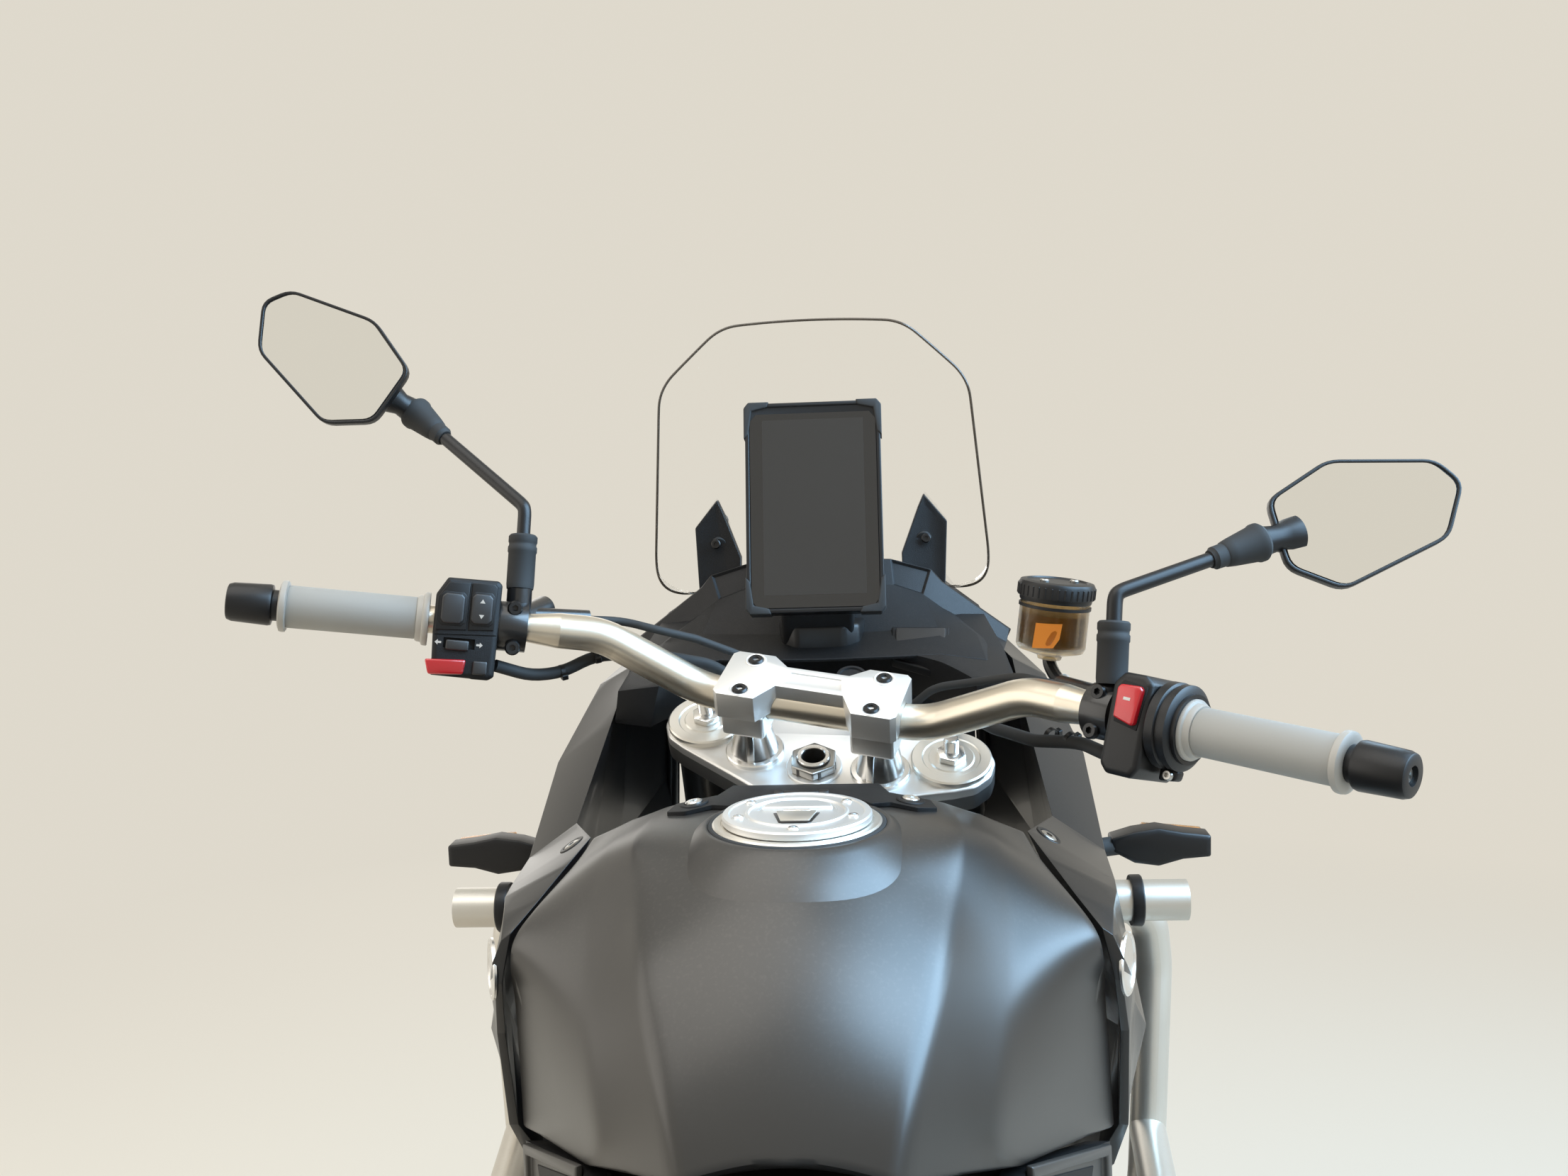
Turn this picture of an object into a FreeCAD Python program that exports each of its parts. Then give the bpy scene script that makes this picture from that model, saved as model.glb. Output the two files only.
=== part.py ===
import FreeCAD, Part
import math
import os

from FreeCAD import Placement, Rotation, Vector

# Adventure motorcycle, millimetres. +X is the rider's right, +Y forward, +Z up, the floor at Z 0.
# The bike stands upright on its centre stand with the front wheel down and the bar turned a little to the right.
# Everything that steers is drawn in the steering frame: local Z is the steering axis with 0 at the top of the
# upper fork clamp, local Y points forward square to that axis, and local X is the rider's right.

# Wheels, tyres and where the axles are
FRONT_AXLE_Y = 748.0
FRONT_TYRE_R = 347.0
FRONT_TYRE_HALF_W = 46.0
FRONT_RIM_R = 267.0
FRONT_RIM_HALF_W = 34.0
REAR_AXLE_Y = -752.0
REAR_LIFT = 18.0
REAR_TYRE_R = 334.0
REAR_TYRE_HALF_W = 74.0
REAR_RIM_R = 230.0
REAR_RIM_HALF_W = 58.0
RIM_DEPTH = 30.0
TYRE_WALL = 11.0
SPOKES = 36
SPOKE_R = 2.2
AXLE_R = 10.0
AXLE_BORE_R = 7.0
SHAFT_GAP = 0.1
RUNNING_GAP = 6.0
REST_GAP = 0.3
CHIP_VOLUME = 5000.0

# Steering geometry
RAKE = 26.5
TRAIL = 108.0
CLAMP_TOP_Z = 985.0
PARKED_STEER = 15.5
FORK_HALF_SPAN = 107.0
FORK_LEAD = 34.0
FORK_TUBE_R = 27.0
STANCHION_R = 21.5
CLAMP_THICK = 24.0
HEAD_TUBE_LEN = 170.0
HEAD_TUBE_R = 33.0
LOWER_CLAMP_THICK = 32.0
CLAMP_GAP = 2.0
STEM_R = 14.0
STEM_BORE_R = 9.5
OUTER_TUBE_LEN = 470.0
STEER_WELL_R = 154.0

# Bodywork and frame
ENGINE_HALF_W = 128.0
SWING_PIVOT_Y = -125.0
SWING_PIVOT_Z = 398.0
PIVOT_BOLT_R = 10.0
PLATE_IN_X = 138.0
PLATE_THICK = 12.0
FRAME_TUBE_R = 15.0
PANEL_THICK = 5.0
SCREEN_THICK = 4.0
SCREEN_BEND_R = 310.0
CAP_Y = 141.0
CAP_Z = 1003.0
CAP_R = 50.0
CAP_SEAT_R = 57.0
CAP_THICK = 6.0
CRASH_TUBE_R = 15.9
CENTRE_STAND_Y = -96.0
CENTRE_STAND_Z = 296.0
STAND_TUBE_R = 12.0
STAND_PIN_R = 7.0

FRONT_AXLE_Z = FRONT_TYRE_R
REAR_AXLE_Z = REAR_TYRE_R + REAR_LIFT
X_AXIS = Vector(1, 0, 0)
Y_AXIS = Vector(0, 1, 0)
Z_AXIS = Vector(0, 0, 1)
SIDES = (-1, 1)


def kept(build):
    """Remembers what a build function made, so that other pieces can be fitted to it."""
    made = {}

    def once():
        if "shape" not in made:
            made["shape"] = build()
        return made["shape"].copy()

    once.__doc__ = build.__doc__
    return once


def mirrored(shape):
    """The other side's copy of a shape, reflected in the middle plane."""
    return shape.mirror(Vector(0, 0, 0), X_AXIS)


def both(shape):
    """The shape and its mirror image as one compound."""
    return Part.makeCompound([shape, mirrored(shape)])


def fuse(*shapes):
    """One solid or compound from several touching shapes."""
    flat = [s for s in shapes if s is not None]
    return flat[0].multiFuse(flat[1:]).removeSplitter() if len(flat) > 1 else flat[0]


def joined(shape):
    """The shape without the loose chips that cutting leaves."""
    return Part.makeCompound([solid for solid in shape.Solids if solid.Volume > CHIP_VOLUME])


def rod(start, end, radius):
    """A round bar from one point to another."""
    start, end = Vector(start), Vector(end)
    axis = end - start
    return Part.makeCylinder(radius, axis.Length, start, axis)


def taper(start, end, radius_a, radius_b):
    """A cone frustum from one point to another."""
    start, end = Vector(start), Vector(end)
    axis = end - start
    return Part.makeCone(radius_a, radius_b, axis.Length, start, axis)


def block(x, y, z):
    """A box from its low and high values along each axis."""
    return Part.makeBox(x[1] - x[0], y[1] - y[0], z[1] - z[0], Vector(x[0], y[0], z[0]))


def path(points, bend, closed=False):
    """A wire of straight runs through the points, each corner rounded by a tangent arc of radius bend."""
    points = [Vector(p) for p in points]
    count = len(points)
    corners = range(count) if closed else range(1, count - 1)
    starts, ends, arcs = {}, {}, {}
    for i in corners:
        here, before, after = points[i], points[i - 1], points[(i + 1) % count]
        to_before = (before - here).normalize()
        to_after = (after - here).normalize()
        half = to_before.getAngle(to_after) / 2
        if bend <= 0 or half > math.radians(89.5):
            starts[i] = ends[i] = here
            continue
        room = 0.48 * min((before - here).Length, (after - here).Length)
        reach = min(bend / math.tan(half), room)
        radius = reach * math.tan(half)
        starts[i] = here + to_before * reach
        ends[i] = here + to_after * reach
        middle = here + (to_before + to_after).normalize() * (radius / math.sin(half) - radius)
        arcs[i] = Part.Arc(starts[i], middle, ends[i]).toShape()
    edges = []
    for i in range(count if closed else count - 1):
        j = (i + 1) % count
        a, b = ends.get(i, points[i]), starts.get(j, points[j])
        if (b - a).Length > 1e-6:
            edges.append(Part.LineSegment(a, b).toShape())
        if j in arcs:
            edges.append(arcs[j])
    return Part.Wire(Part.__sortEdges__(edges))


def tube(points, radius, bend):
    """A round tube along a bent path."""
    wire = path(points, bend)
    start = Vector(points[0])
    heading = Vector(points[1]) - start
    profile = Part.Wire(Part.makeCircle(radius, start, heading))
    return wire.makePipeShell([profile], True, False)


def slab(outline, axis, low, high, corner=0.0):
    """A flat plate: an outline in the plane square to axis, extruded along it from low to high."""
    place = {
        "x": lambda a, b: (low, a, b),
        "y": lambda a, b: (a, low, b),
        "z": lambda a, b: (a, b, low),
    }[axis]
    face = Part.Face(path([place(a, b) for a, b in outline], corner, closed=True))
    push = {"x": X_AXIS, "y": Y_AXIS, "z": Z_AXIS}[axis]
    return face.extrude(push * (high - low))


def loft(sections):
    """A solid with flat or ruled faces through closed sections that have the same number of points."""
    wires = [Part.makePolygon([Vector(*p) for p in s] + [Vector(*s[0])]) for s in sections]
    return Part.makeLoft(wires, True, True)


def spun(profile, arcs=()):
    """A solid of revolution about X. The profile lists (x, radius) points; arcs names the points arced through."""
    points = [Vector(x, 0, r) for x, r in profile]
    edges, i = [], 0
    while i < len(points):
        j = (i + 1) % len(points)
        if j in arcs:
            k = (j + 1) % len(points)
            edges.append(Part.Arc(points[i], points[j], points[k]).toShape())
            i += 2
        else:
            edges.append(Part.LineSegment(points[i], points[j]).toShape())
            i += 1
    face = Part.Face(Part.Wire(edges))
    return face.revolve(Vector(0, 0, 0), X_AXIS, 360)


def moved(shape, x=0.0, y=0.0, z=0.0):
    """A copy of the shape shifted by x, y, z."""
    copy = shape.copy()
    copy.translate(Vector(x, y, z))
    return copy


def axis_y(z):
    """Where the steering axis is, along Y, at height z."""
    return FRONT_AXLE_Y + TRAIL - z * math.tan(math.radians(RAKE))


HEAD_Y = axis_y(CLAMP_TOP_Z)


def steered(shape, turn=PARKED_STEER):
    """A shape drawn in the steering frame, turned to the right by turn degrees and put in its place."""
    copy = shape.copy()
    copy.rotate(Vector(0, 0, 0), Z_AXIS, -turn)
    copy.rotate(Vector(0, 0, 0), X_AXIS, RAKE)
    copy.translate(Vector(0, HEAD_Y, CLAMP_TOP_Z))
    return copy


def steer_local(y, z):
    """The steering frame's (forward, up) of a point in the middle plane, straight ahead."""
    dy, dz = y - HEAD_Y, z - CLAMP_TOP_Z
    c, s = math.cos(math.radians(RAKE)), math.sin(math.radians(RAKE))
    return dy * c + dz * s, -dy * s + dz * c


AXLE_LEAD, AXLE_DROP = steer_local(FRONT_AXLE_Y, FRONT_AXLE_Z)


def steering_well(low, high, radius):
    """The round space that the fork sweeps, to be kept clear of the fixed bodywork."""
    return steered(Part.makeCylinder(radius, high - low, Vector(0, 0, low)))


# Wheels. They are drawn about X at the origin.
def rim_profile(rim_r, half_w):
    """Half the rim's section, as (x, radius), from the left flange over the well to the right one."""
    lip, step = 4.0, 12.0
    well = rim_r - RIM_DEPTH + 7.0
    outer = [(-half_w, rim_r), (-half_w + lip, rim_r), (-half_w + lip + 3, rim_r - step),
             (-half_w * 0.45, well), (half_w * 0.45, well), (half_w - lip - 3, rim_r - step),
             (half_w - lip, rim_r), (half_w, rim_r)]
    inner = [(half_w, rim_r - step - 5), (half_w * 0.5, rim_r - RIM_DEPTH),
             (-half_w * 0.5, rim_r - RIM_DEPTH), (-half_w, rim_r - step - 5)]
    return outer + inner


def spokes(hub_r, flange_x, rim_r):
    """Wire spokes, crossed in pairs, from the hub flanges to the rim."""
    cross = math.radians(34)
    made = []
    for i in range(SPOKES):
        side = 1 if i % 2 else -1
        rim_angle = 2 * math.pi * i / SPOKES
        hub_angle = rim_angle + (cross if (i // 2) % 2 else -cross)
        reach = rim_r - RIM_DEPTH + 2.0
        made.append(rod((side * flange_x, hub_r * math.cos(hub_angle), hub_r * math.sin(hub_angle)),
                        (side * 6.0, reach * math.cos(rim_angle), reach * math.sin(rim_angle)), SPOKE_R))
    return made


def disc_rotor(x, outer_r, band, hub_r, thick, arms):
    """A brake disc: its swept band and the arms that carry it from the hub."""
    half = thick / 2
    band_ring = Part.makeCylinder(outer_r, thick, Vector(x - half, 0, 0), X_AXIS)
    band_ring = band_ring.cut(Part.makeCylinder(outer_r - band, thick, Vector(x - half, 0, 0), X_AXIS))
    carrier = Part.makeCylinder(hub_r + 14, thick, Vector(x - half, 0, 0), X_AXIS)
    made = [band_ring, carrier]
    for i in range(arms):
        arm = block((x - half, x + half), (hub_r, outer_r - band + 3), (-6, 6))
        arm.rotate(Vector(0, 0, 0), X_AXIS, 360.0 * i / arms)
        made.append(arm)
    return made


def spoked_wheel(rim_r, half_w, hub_half, hub_r, flange_x, rotors, extra=()):
    """Rim, hub, spokes and discs as one piece, bored for its axle."""
    rim = spun(rim_profile(rim_r, half_w))
    hub = [Part.makeCylinder(24.0, 2 * hub_half, Vector(-hub_half, 0, 0), X_AXIS)]
    for side in SIDES:
        hub.append(Part.makeCylinder(hub_r + 6, 6, Vector(side * flange_x - 3, 0, 0), X_AXIS))
    parts = [rim] + hub + spokes(hub_r, flange_x, rim_r)
    for rotor in rotors:
        parts += disc_rotor(*rotor)
    parts += list(extra)
    wheel = fuse(*parts)
    bore = Part.makeCylinder(AXLE_R + SHAFT_GAP, 4 * hub_half, Vector(-2 * hub_half, 0, 0), X_AXIS)
    return wheel.cut(bore)


def tyre(tyre_r, half_w, rim_r, rim_half_w):
    """A tyre seated between the rim's flanges, with a rounded crown."""
    seat_x, seat_r = rim_half_w - 7.6, rim_r - 11.4
    wall_r = rim_r + 0.45 * (tyre_r - rim_r)
    shoulder_x, shoulder_r = half_w * 0.86, tyre_r - 0.24 * (tyre_r - rim_r)
    profile = [(-seat_x, seat_r), (-rim_half_w + 4.6, rim_r + 0.6), (-half_w, wall_r), (-shoulder_x, shoulder_r),
               (0, tyre_r), (shoulder_x, shoulder_r), (half_w, wall_r), (rim_half_w - 4.6, rim_r + 0.6),
               (seat_x, seat_r)]
    solid = spun(profile, arcs=(2, 4, 6))
    wall = TYRE_WALL
    inside = [(-seat_x + wall, seat_r - 1), (-rim_half_w + wall + 2, rim_r + 4), (-half_w + wall, wall_r),
              (-shoulder_x + wall, shoulder_r - wall * 0.6), (0, tyre_r - wall - 3),
              (shoulder_x - wall, shoulder_r - wall * 0.6), (half_w - wall, wall_r), (rim_half_w - wall - 2, rim_r + 4),
              (seat_x - wall, seat_r - 1)]
    return solid.cut(spun(inside))


FRONT_DISC_X = 62.0
FRONT_HUB_HALF = 66.0
FRONT_DISC_R = 155.0
REAR_DISC_X = 88.0
REAR_DISC_R = 120.0
DISC_THICK = 5.0
SPROCKET_X = -90.0
SPROCKET_R = 107.0
FRONT_SPROCKET_R = 42.0
FRONT_SPROCKET_Y = -40.0
FRONT_SPROCKET_Z = 402.0


def front_wheel():
    """The 21-inch front wheel with its twin discs."""
    rotors = [(side * FRONT_DISC_X, FRONT_DISC_R, 28, 40, DISC_THICK, 8) for side in SIDES]
    wheel = spoked_wheel(FRONT_RIM_R, FRONT_RIM_HALF_W, FRONT_HUB_HALF, 38, 30, rotors)
    return steered(moved(wheel, 0, AXLE_LEAD, AXLE_DROP))


def front_tyre():
    """The front tyre on its rim."""
    shape = tyre(FRONT_TYRE_R, FRONT_TYRE_HALF_W, FRONT_RIM_R, FRONT_RIM_HALF_W)
    return steered(moved(shape, 0, AXLE_LEAD, AXLE_DROP))


def sprocket(x, radius, teeth, thick):
    """A chain wheel with square teeth and lightening slots."""
    disc = Part.makeCylinder(radius - 6, thick, Vector(x - thick / 2, 0, 0), X_AXIS)
    parts = [disc]
    for i in range(teeth):
        tooth = block((x - thick / 2, x + thick / 2), (radius - 10, radius - 0.8), (-3, 3))
        tooth.rotate(Vector(0, 0, 0), X_AXIS, 360.0 * i / teeth)
        parts.append(tooth)
    wheel = fuse(*parts)
    for i in range(6):
        hole = Part.makeCylinder(17, thick * 2, Vector(x - thick, 68, 0), X_AXIS)
        hole.rotate(Vector(0, 0, 0), X_AXIS, 60.0 * i)
        wheel = wheel.cut(hole)
    return wheel


def rear_wheel():
    """The 18-inch rear wheel with its disc and chain sprocket."""
    rotors = [(REAR_DISC_X, REAR_DISC_R, 30, 40, DISC_THICK, 6)]
    extra = [sprocket(SPROCKET_X, SPROCKET_R, 43, 6.0)]
    wheel = spoked_wheel(REAR_RIM_R, REAR_RIM_HALF_W, 96, 46, 46, rotors, extra)
    return moved(wheel, 0, REAR_AXLE_Y, REAR_AXLE_Z)


def rear_tyre():
    """The rear tyre on its rim."""
    shape = tyre(REAR_TYRE_R, REAR_TYRE_HALF_W, REAR_RIM_R, REAR_RIM_HALF_W)
    return moved(shape, 0, REAR_AXLE_Y, REAR_AXLE_Z)


# Fork and bar, in the steering frame
def clamp_outline(grow):
    """The outline of a fork clamp as (x, y): round ends at the legs, a boss at the stem behind."""
    end, fork = FORK_HALF_SPAN + 36 + grow, FORK_LEAD
    lobe = end - FORK_HALF_SPAN
    half = [(48, fork + 30 + grow)]
    half += [(FORK_HALF_SPAN + lobe * math.cos(math.radians(turn)), fork + lobe * math.sin(math.radians(turn)))
             for turn in (75, 45, 15, -15, -45, -75)]
    half += [(64, -24 - grow), (34, -38 - grow)]
    other = [(-x, y) for x, y in reversed(half)]
    return half + other


def bored(shape, x, y, radius, low, high):
    """The shape with a round hole along the steering axis direction."""
    return shape.cut(Part.makeCylinder(radius, high - low, Vector(x, y, low)))


def top_clamp():
    """The upper fork clamp."""
    plate = slab(clamp_outline(0), "z", -CLAMP_THICK, 0, 16)
    for side in SIDES:
        plate = bored(plate, side * FORK_HALF_SPAN, FORK_LEAD, FORK_TUBE_R, -60, 60)
    return steered(bored(plate, 0, 0, STEM_R, -60, 60))


LOWER_CLAMP_TOP = -CLAMP_THICK - 2 * CLAMP_GAP - HEAD_TUBE_LEN
LOWER_CLAMP_BOTTOM = LOWER_CLAMP_TOP - LOWER_CLAMP_THICK
STEM_NUT_H = 12.0
GUIDE_HALF_W = 44.0
GUIDE_FRONT = FORK_LEAD + 50.0
GUIDE_LOW, GUIDE_TOP = LOWER_CLAMP_BOTTOM + 4.0, LOWER_CLAMP_TOP - 6.0


@kept
def bottom_clamp():
    """The lower fork clamp with the hollow stem, the nut at its top and the cable guide on its front."""
    plate = slab(clamp_outline(0), "z", LOWER_CLAMP_BOTTOM, LOWER_CLAMP_TOP, 16)
    for side in SIDES:
        plate = bored(plate, side * FORK_HALF_SPAN, FORK_LEAD, FORK_TUBE_R, LOWER_CLAMP_BOTTOM, 0)
    stem = Part.makeCylinder(STEM_R, STEM_NUT_H - LOWER_CLAMP_BOTTOM, Vector(0, 0, LOWER_CLAMP_BOTTOM))
    hexagon = [(19 * math.cos(math.radians(60 * i)), 19 * math.sin(math.radians(60 * i))) for i in range(6)]
    nut = slab(hexagon, "z", 0, STEM_NUT_H - 3)
    guide = block((-GUIDE_HALF_W, GUIDE_HALF_W), (FORK_LEAD + 26, GUIDE_FRONT), (GUIDE_LOW, GUIDE_TOP))
    whole = fuse(plate, stem, nut, guide)
    return steered(bored(whole, 0, 0, STEM_BORE_R, LOWER_CLAMP_BOTTOM - 1, STEM_NUT_H + 1))


def fork_tubes():
    """The two outer tubes, held in both clamps."""
    legs = [Part.makeCylinder(FORK_TUBE_R, OUTER_TUBE_LEN, Vector(side * FORK_HALF_SPAN, FORK_LEAD, -OUTER_TUBE_LEN))
            for side in SIDES]
    return steered(Part.makeCompound(legs))


def fork_caps():
    """The round caps on the tubes, with their adjuster nuts."""
    made = []
    for side in SIDES:
        x, y = side * FORK_HALF_SPAN, FORK_LEAD
        disc = Part.makeCylinder(FORK_TUBE_R + 0.8, 3, Vector(x, y, 0))
        hexagon = [(x + 11 * math.cos(math.radians(60 * i)), y + 11 * math.sin(math.radians(60 * i)))
                   for i in range(6)]
        made.append(fuse(disc, slab(hexagon, "z", 3, 10), Part.makeCylinder(7, 22, Vector(x, y, 3))))
    return steered(Part.makeCompound(made))


CALIPER_TAB_Y = -46.0


@kept
def fork_legs():
    """The sliding legs with their axle lugs and caliper tabs."""
    parts = []
    bottom = AXLE_DROP - 28
    for side in SIDES:
        x = side * FORK_HALF_SPAN
        slider = Part.makeCylinder(STANCHION_R, OUTER_TUBE_LEN * -1 - (AXLE_DROP + 60), Vector(x, FORK_LEAD, AXLE_DROP + 60))
        lug_outline = [(FORK_LEAD - 24, AXLE_DROP + 78), (FORK_LEAD + 24, AXLE_DROP + 78), (AXLE_LEAD + 24, AXLE_DROP + 16),
                       (AXLE_LEAD + 22, bottom), (AXLE_LEAD - 24, bottom), (FORK_LEAD - 26, AXLE_DROP + 20)]
        lug = slab(lug_outline, "x", x - 20, x + 20, 10)
        tab = slab([(FORK_LEAD - 20, AXLE_DROP + 18), (FORK_LEAD - 20, AXLE_DROP + 120), (-50, AXLE_DROP + 150),
                    (-50, AXLE_DROP + 112)], "x", x - 8, x + 8)
        parts.append(fuse(slider, lug, tab))
    return steered(Part.makeCompound(parts).cut(front_axle_bar(AXLE_R)))


def front_axle_bar(radius):
    """A bar on the front axle's line, as long as the axle, in the steering frame."""
    reach = FORK_HALF_SPAN + 24
    return Part.makeCylinder(radius, 2 * reach, Vector(-reach, AXLE_LEAD, AXLE_DROP), X_AXIS)


def front_axle():
    """The hollow front axle with its spacers and end rims."""
    parts = [front_axle_bar(AXLE_R)]
    for side in SIDES:
        inner, outer = side * (FRONT_HUB_HALF + REST_GAP), side * (FORK_HALF_SPAN - 20)
        parts.append(rod((inner, AXLE_LEAD, AXLE_DROP), (outer, AXLE_LEAD, AXLE_DROP), 15))
        parts.append(rod((side * (FORK_HALF_SPAN + 20), AXLE_LEAD, AXLE_DROP),
                         (side * (FORK_HALF_SPAN + 24), AXLE_LEAD, AXLE_DROP), 15))
    return steered(fuse(*parts).cut(front_axle_bar(AXLE_BORE_R)))


GUARD_LAP = 3.0
GUARD_R = FORK_TUBE_R + 4.0


def fork_guards():
    """Plastic shields in front of the sliding legs."""
    made = []
    for side in SIDES:
        x = side * FORK_HALF_SPAN
        low = AXLE_DROP + 85
        height = -OUTER_TUBE_LEN + GUARD_LAP - low
        shell = Part.makeCylinder(GUARD_R, height, Vector(x, FORK_LEAD, low))
        shell = shell.cut(Part.makeCylinder(FORK_TUBE_R + REST_GAP, height, Vector(x, FORK_LEAD, low)))
        shell = shell.common(block((x - 40, x + 40), (FORK_LEAD - 6, FORK_LEAD + 50), (AXLE_DROP, 0)))
        foot = slab([(FORK_LEAD + 20, AXLE_DROP + 78.3), (FORK_LEAD + 30, AXLE_DROP + 78.3), (FORK_LEAD + 30, AXLE_DROP + 90),
                     (FORK_LEAD + 20, AXLE_DROP + 90)], "x", x - 12, x + 12)
        made.append(fuse(shell, foot))
    return steered(Part.makeCompound(made)).cut(fork_legs())


FENDER_GAP = 16.0
FENDER_THICK = 4.0


def front_mudguard():
    """The low mudguard round the tyre, with stays to the legs."""
    inner, outer = FRONT_TYRE_R + FENDER_GAP, FRONT_TYRE_R + FENDER_GAP + FENDER_THICK
    half_w, drop = FRONT_TYRE_HALF_W + 14, 34
    profile = [(-half_w, inner - drop), (-half_w + FENDER_THICK, inner - drop), (-half_w + 14, inner - 4), (0, inner + 4),
               (half_w - 14, inner - 4), (half_w - FENDER_THICK, inner - drop), (half_w, inner - drop),
               (half_w - 9, outer - 2), (0, outer + 6), (-half_w + 9, outer - 2)]
    ring = spun(profile)
    keep = slab([(0, 0), (-560, 60), (-560, 560), (60, 560), (330, 330), (70, 60)], "x", -90, 90)
    arch = ring.common(keep)
    stays = []
    for side in SIDES:
        x = side * (half_w - 2)
        stays.append(slab([(-150, inner - 100), (-110, inner - 86), (-30, inner - 30), (-92, inner - 46)], "x", min(x, side * 84), max(x, side * 84)))
    whole = fuse(arch, *stays)
    placed = moved(whole, 0, AXLE_LEAD, AXLE_DROP)
    for side in SIDES:
        placed = bored(placed, side * FORK_HALF_SPAN, FORK_LEAD, FORK_TUBE_R, -OUTER_TUBE_LEN - 1, 0)
    return steered(placed)


@kept
def brake_calipers():
    """The radial calipers that straddle the front discs."""
    made = []
    for side in SIDES:
        x = side * FRONT_DISC_X
        outer = AXLE_DROP + 100
        body = slab([(-92, outer - 46), (-92, outer + 30), (-66, outer + 58), (-50.2, outer + 50), (-50.2, outer - 10)],
                    "x", x - 26, x + 26, 8)
        slot = block((x - 6.5, x + 6.5), (-200, 0), (AXLE_DROP, outer + 42))
        web = Part.makeCylinder(FRONT_DISC_R + 4, 13, Vector(x - 6.5, AXLE_LEAD, AXLE_DROP), X_AXIS)
        link = block((min(x, x + side * 38), max(x, x + side * 38)), (-66, -50.2), (outer + 10, outer + 44))
        made.append(fuse(body, link).cut(web).cut(slot.common(web)))
    return steered(Part.makeCompound(made))


# The handlebar's half path in the steering frame: x, forward, up
BAR_R = 14.3
GRIP_END_R = 11.1
BAR_FORWARD = 8.0
BAR_UP = 56.0
BAR_PATH = [(0, BAR_FORWARD, BAR_UP), (92, BAR_FORWARD, BAR_UP), (173, -6, 110)]
BAR_HEADING = Vector(0.865, -0.427, 0.265).normalize()
BAR_END = 286.0
BAR_TAPER_START = 34.0
BAR_TAPER_END = 62.0


def along_bar(distance, radial_forward=0.0, radial_up=0.0):
    """A point on the right grip's line, counted from the bar's outer bend, shifted forward and up."""
    corner = Vector(*BAR_PATH[-1])
    point = corner + BAR_HEADING * distance
    return (point.x, point.y + radial_forward, point.z + radial_up)


@kept
def handlebar():
    """The tapered bar, thick between its bends and thin under the grips."""
    thick = tube(BAR_PATH + [along_bar(BAR_TAPER_START)], BAR_R, 70)
    cone = taper(along_bar(BAR_TAPER_START), along_bar(BAR_TAPER_END), BAR_R, GRIP_END_R)
    thin = rod(along_bar(BAR_TAPER_END), along_bar(BAR_END - 30), GRIP_END_R)
    half = fuse(thick, cone, thin)
    return steered(fuse(half, mirrored(half)))


CLAMP_BOLT_X = 54.0


def bar_clamp():
    """The one-piece cap over the bar, its two risers and the collars they stand on."""
    low, high = BAR_UP + 0.2, BAR_UP + 24
    outline = [(-74, BAR_FORWARD - 26), (-74, BAR_FORWARD + 26), (-36, BAR_FORWARD + 26), (-24, BAR_FORWARD + 18),
               (24, BAR_FORWARD + 18), (36, BAR_FORWARD + 26), (74, BAR_FORWARD + 26), (74, BAR_FORWARD - 26),
               (40, BAR_FORWARD - 26), (26, BAR_FORWARD - 8), (-26, BAR_FORWARD - 8), (-40, BAR_FORWARD - 26)]
    cap = slab(outline, "z", low, high, 5)
    risers = []
    for side in SIDES:
        x = side * CLAMP_BOLT_X
        saddle = block((x - 18, x + 18), (BAR_FORWARD - 24, BAR_FORWARD + 24), (BAR_UP - 22, BAR_UP - 0.2))
        neck = taper((x, BAR_FORWARD, 3), (x, BAR_FORWARD, BAR_UP - 21), 22, 16)
        collar = Part.makeCylinder(25, 3, Vector(x, BAR_FORWARD, 0))
        risers.append(fuse(saddle, neck, collar))
    parts = Part.makeCompound([cap] + risers)
    seat = Part.makeCylinder(BAR_R, 180, Vector(-90, BAR_FORWARD, BAR_UP), X_AXIS)
    return steered(parts.cut(seat)).cut(handlebar())


def on_both_bars(build):
    """A right-hand piece and its mirror image, put in the parked steering frame."""
    shape = build()
    return steered(both(shape))


GRIP_START = 142.0
GRIP_FLANGE_THICK = 6.0
GRIP_FLANGE = 242.0
GRIP_R = 16.5


def grips():
    """Rubber grips with their flanges."""
    def right():
        sleeve = rod(along_bar(GRIP_START), along_bar(GRIP_FLANGE + 6), GRIP_R)
        flange = rod(along_bar(GRIP_FLANGE), along_bar(GRIP_FLANGE + 6), 20)
        inner = rod(along_bar(GRIP_START - GRIP_FLANGE_THICK), along_bar(GRIP_START), 21)
        core = rod(along_bar(GRIP_START - 20), along_bar(BAR_END), GRIP_END_R)
        return fuse(sleeve, flange, inner).cut(core)
    return on_both_bars(right)


def bar_ends():
    """Weights at the ends of the bar."""
    def right():
        neck = rod(along_bar(BAR_END - 38), along_bar(BAR_END - 33), 12)
        body = taper(along_bar(BAR_END - 34), along_bar(BAR_END), 16, 13.5)
        core = rod(along_bar(0), along_bar(BAR_END - 30), GRIP_END_R)
        return fuse(neck, body).cut(core)
    return on_both_bars(right)


HOUSING_TURN = 38.0


def housing(near, far, forward, back, up, down, corner):
    """A switch housing round the bar between two distances along the grip line, turned to face the rider."""
    outline = [(-back, -down), (-back, up - 8), (-back + 8, up), (forward, up), (forward, -down + 10), (forward - 12, -down)]
    shape = slab(outline, "x", 0, far - near, corner)
    heading = Rotation(X_AXIS, BAR_HEADING).multiply(Rotation(X_AXIS, -HOUSING_TURN))
    shape.Placement = Placement(Vector(*along_bar(near)), heading)
    return shape


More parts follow.
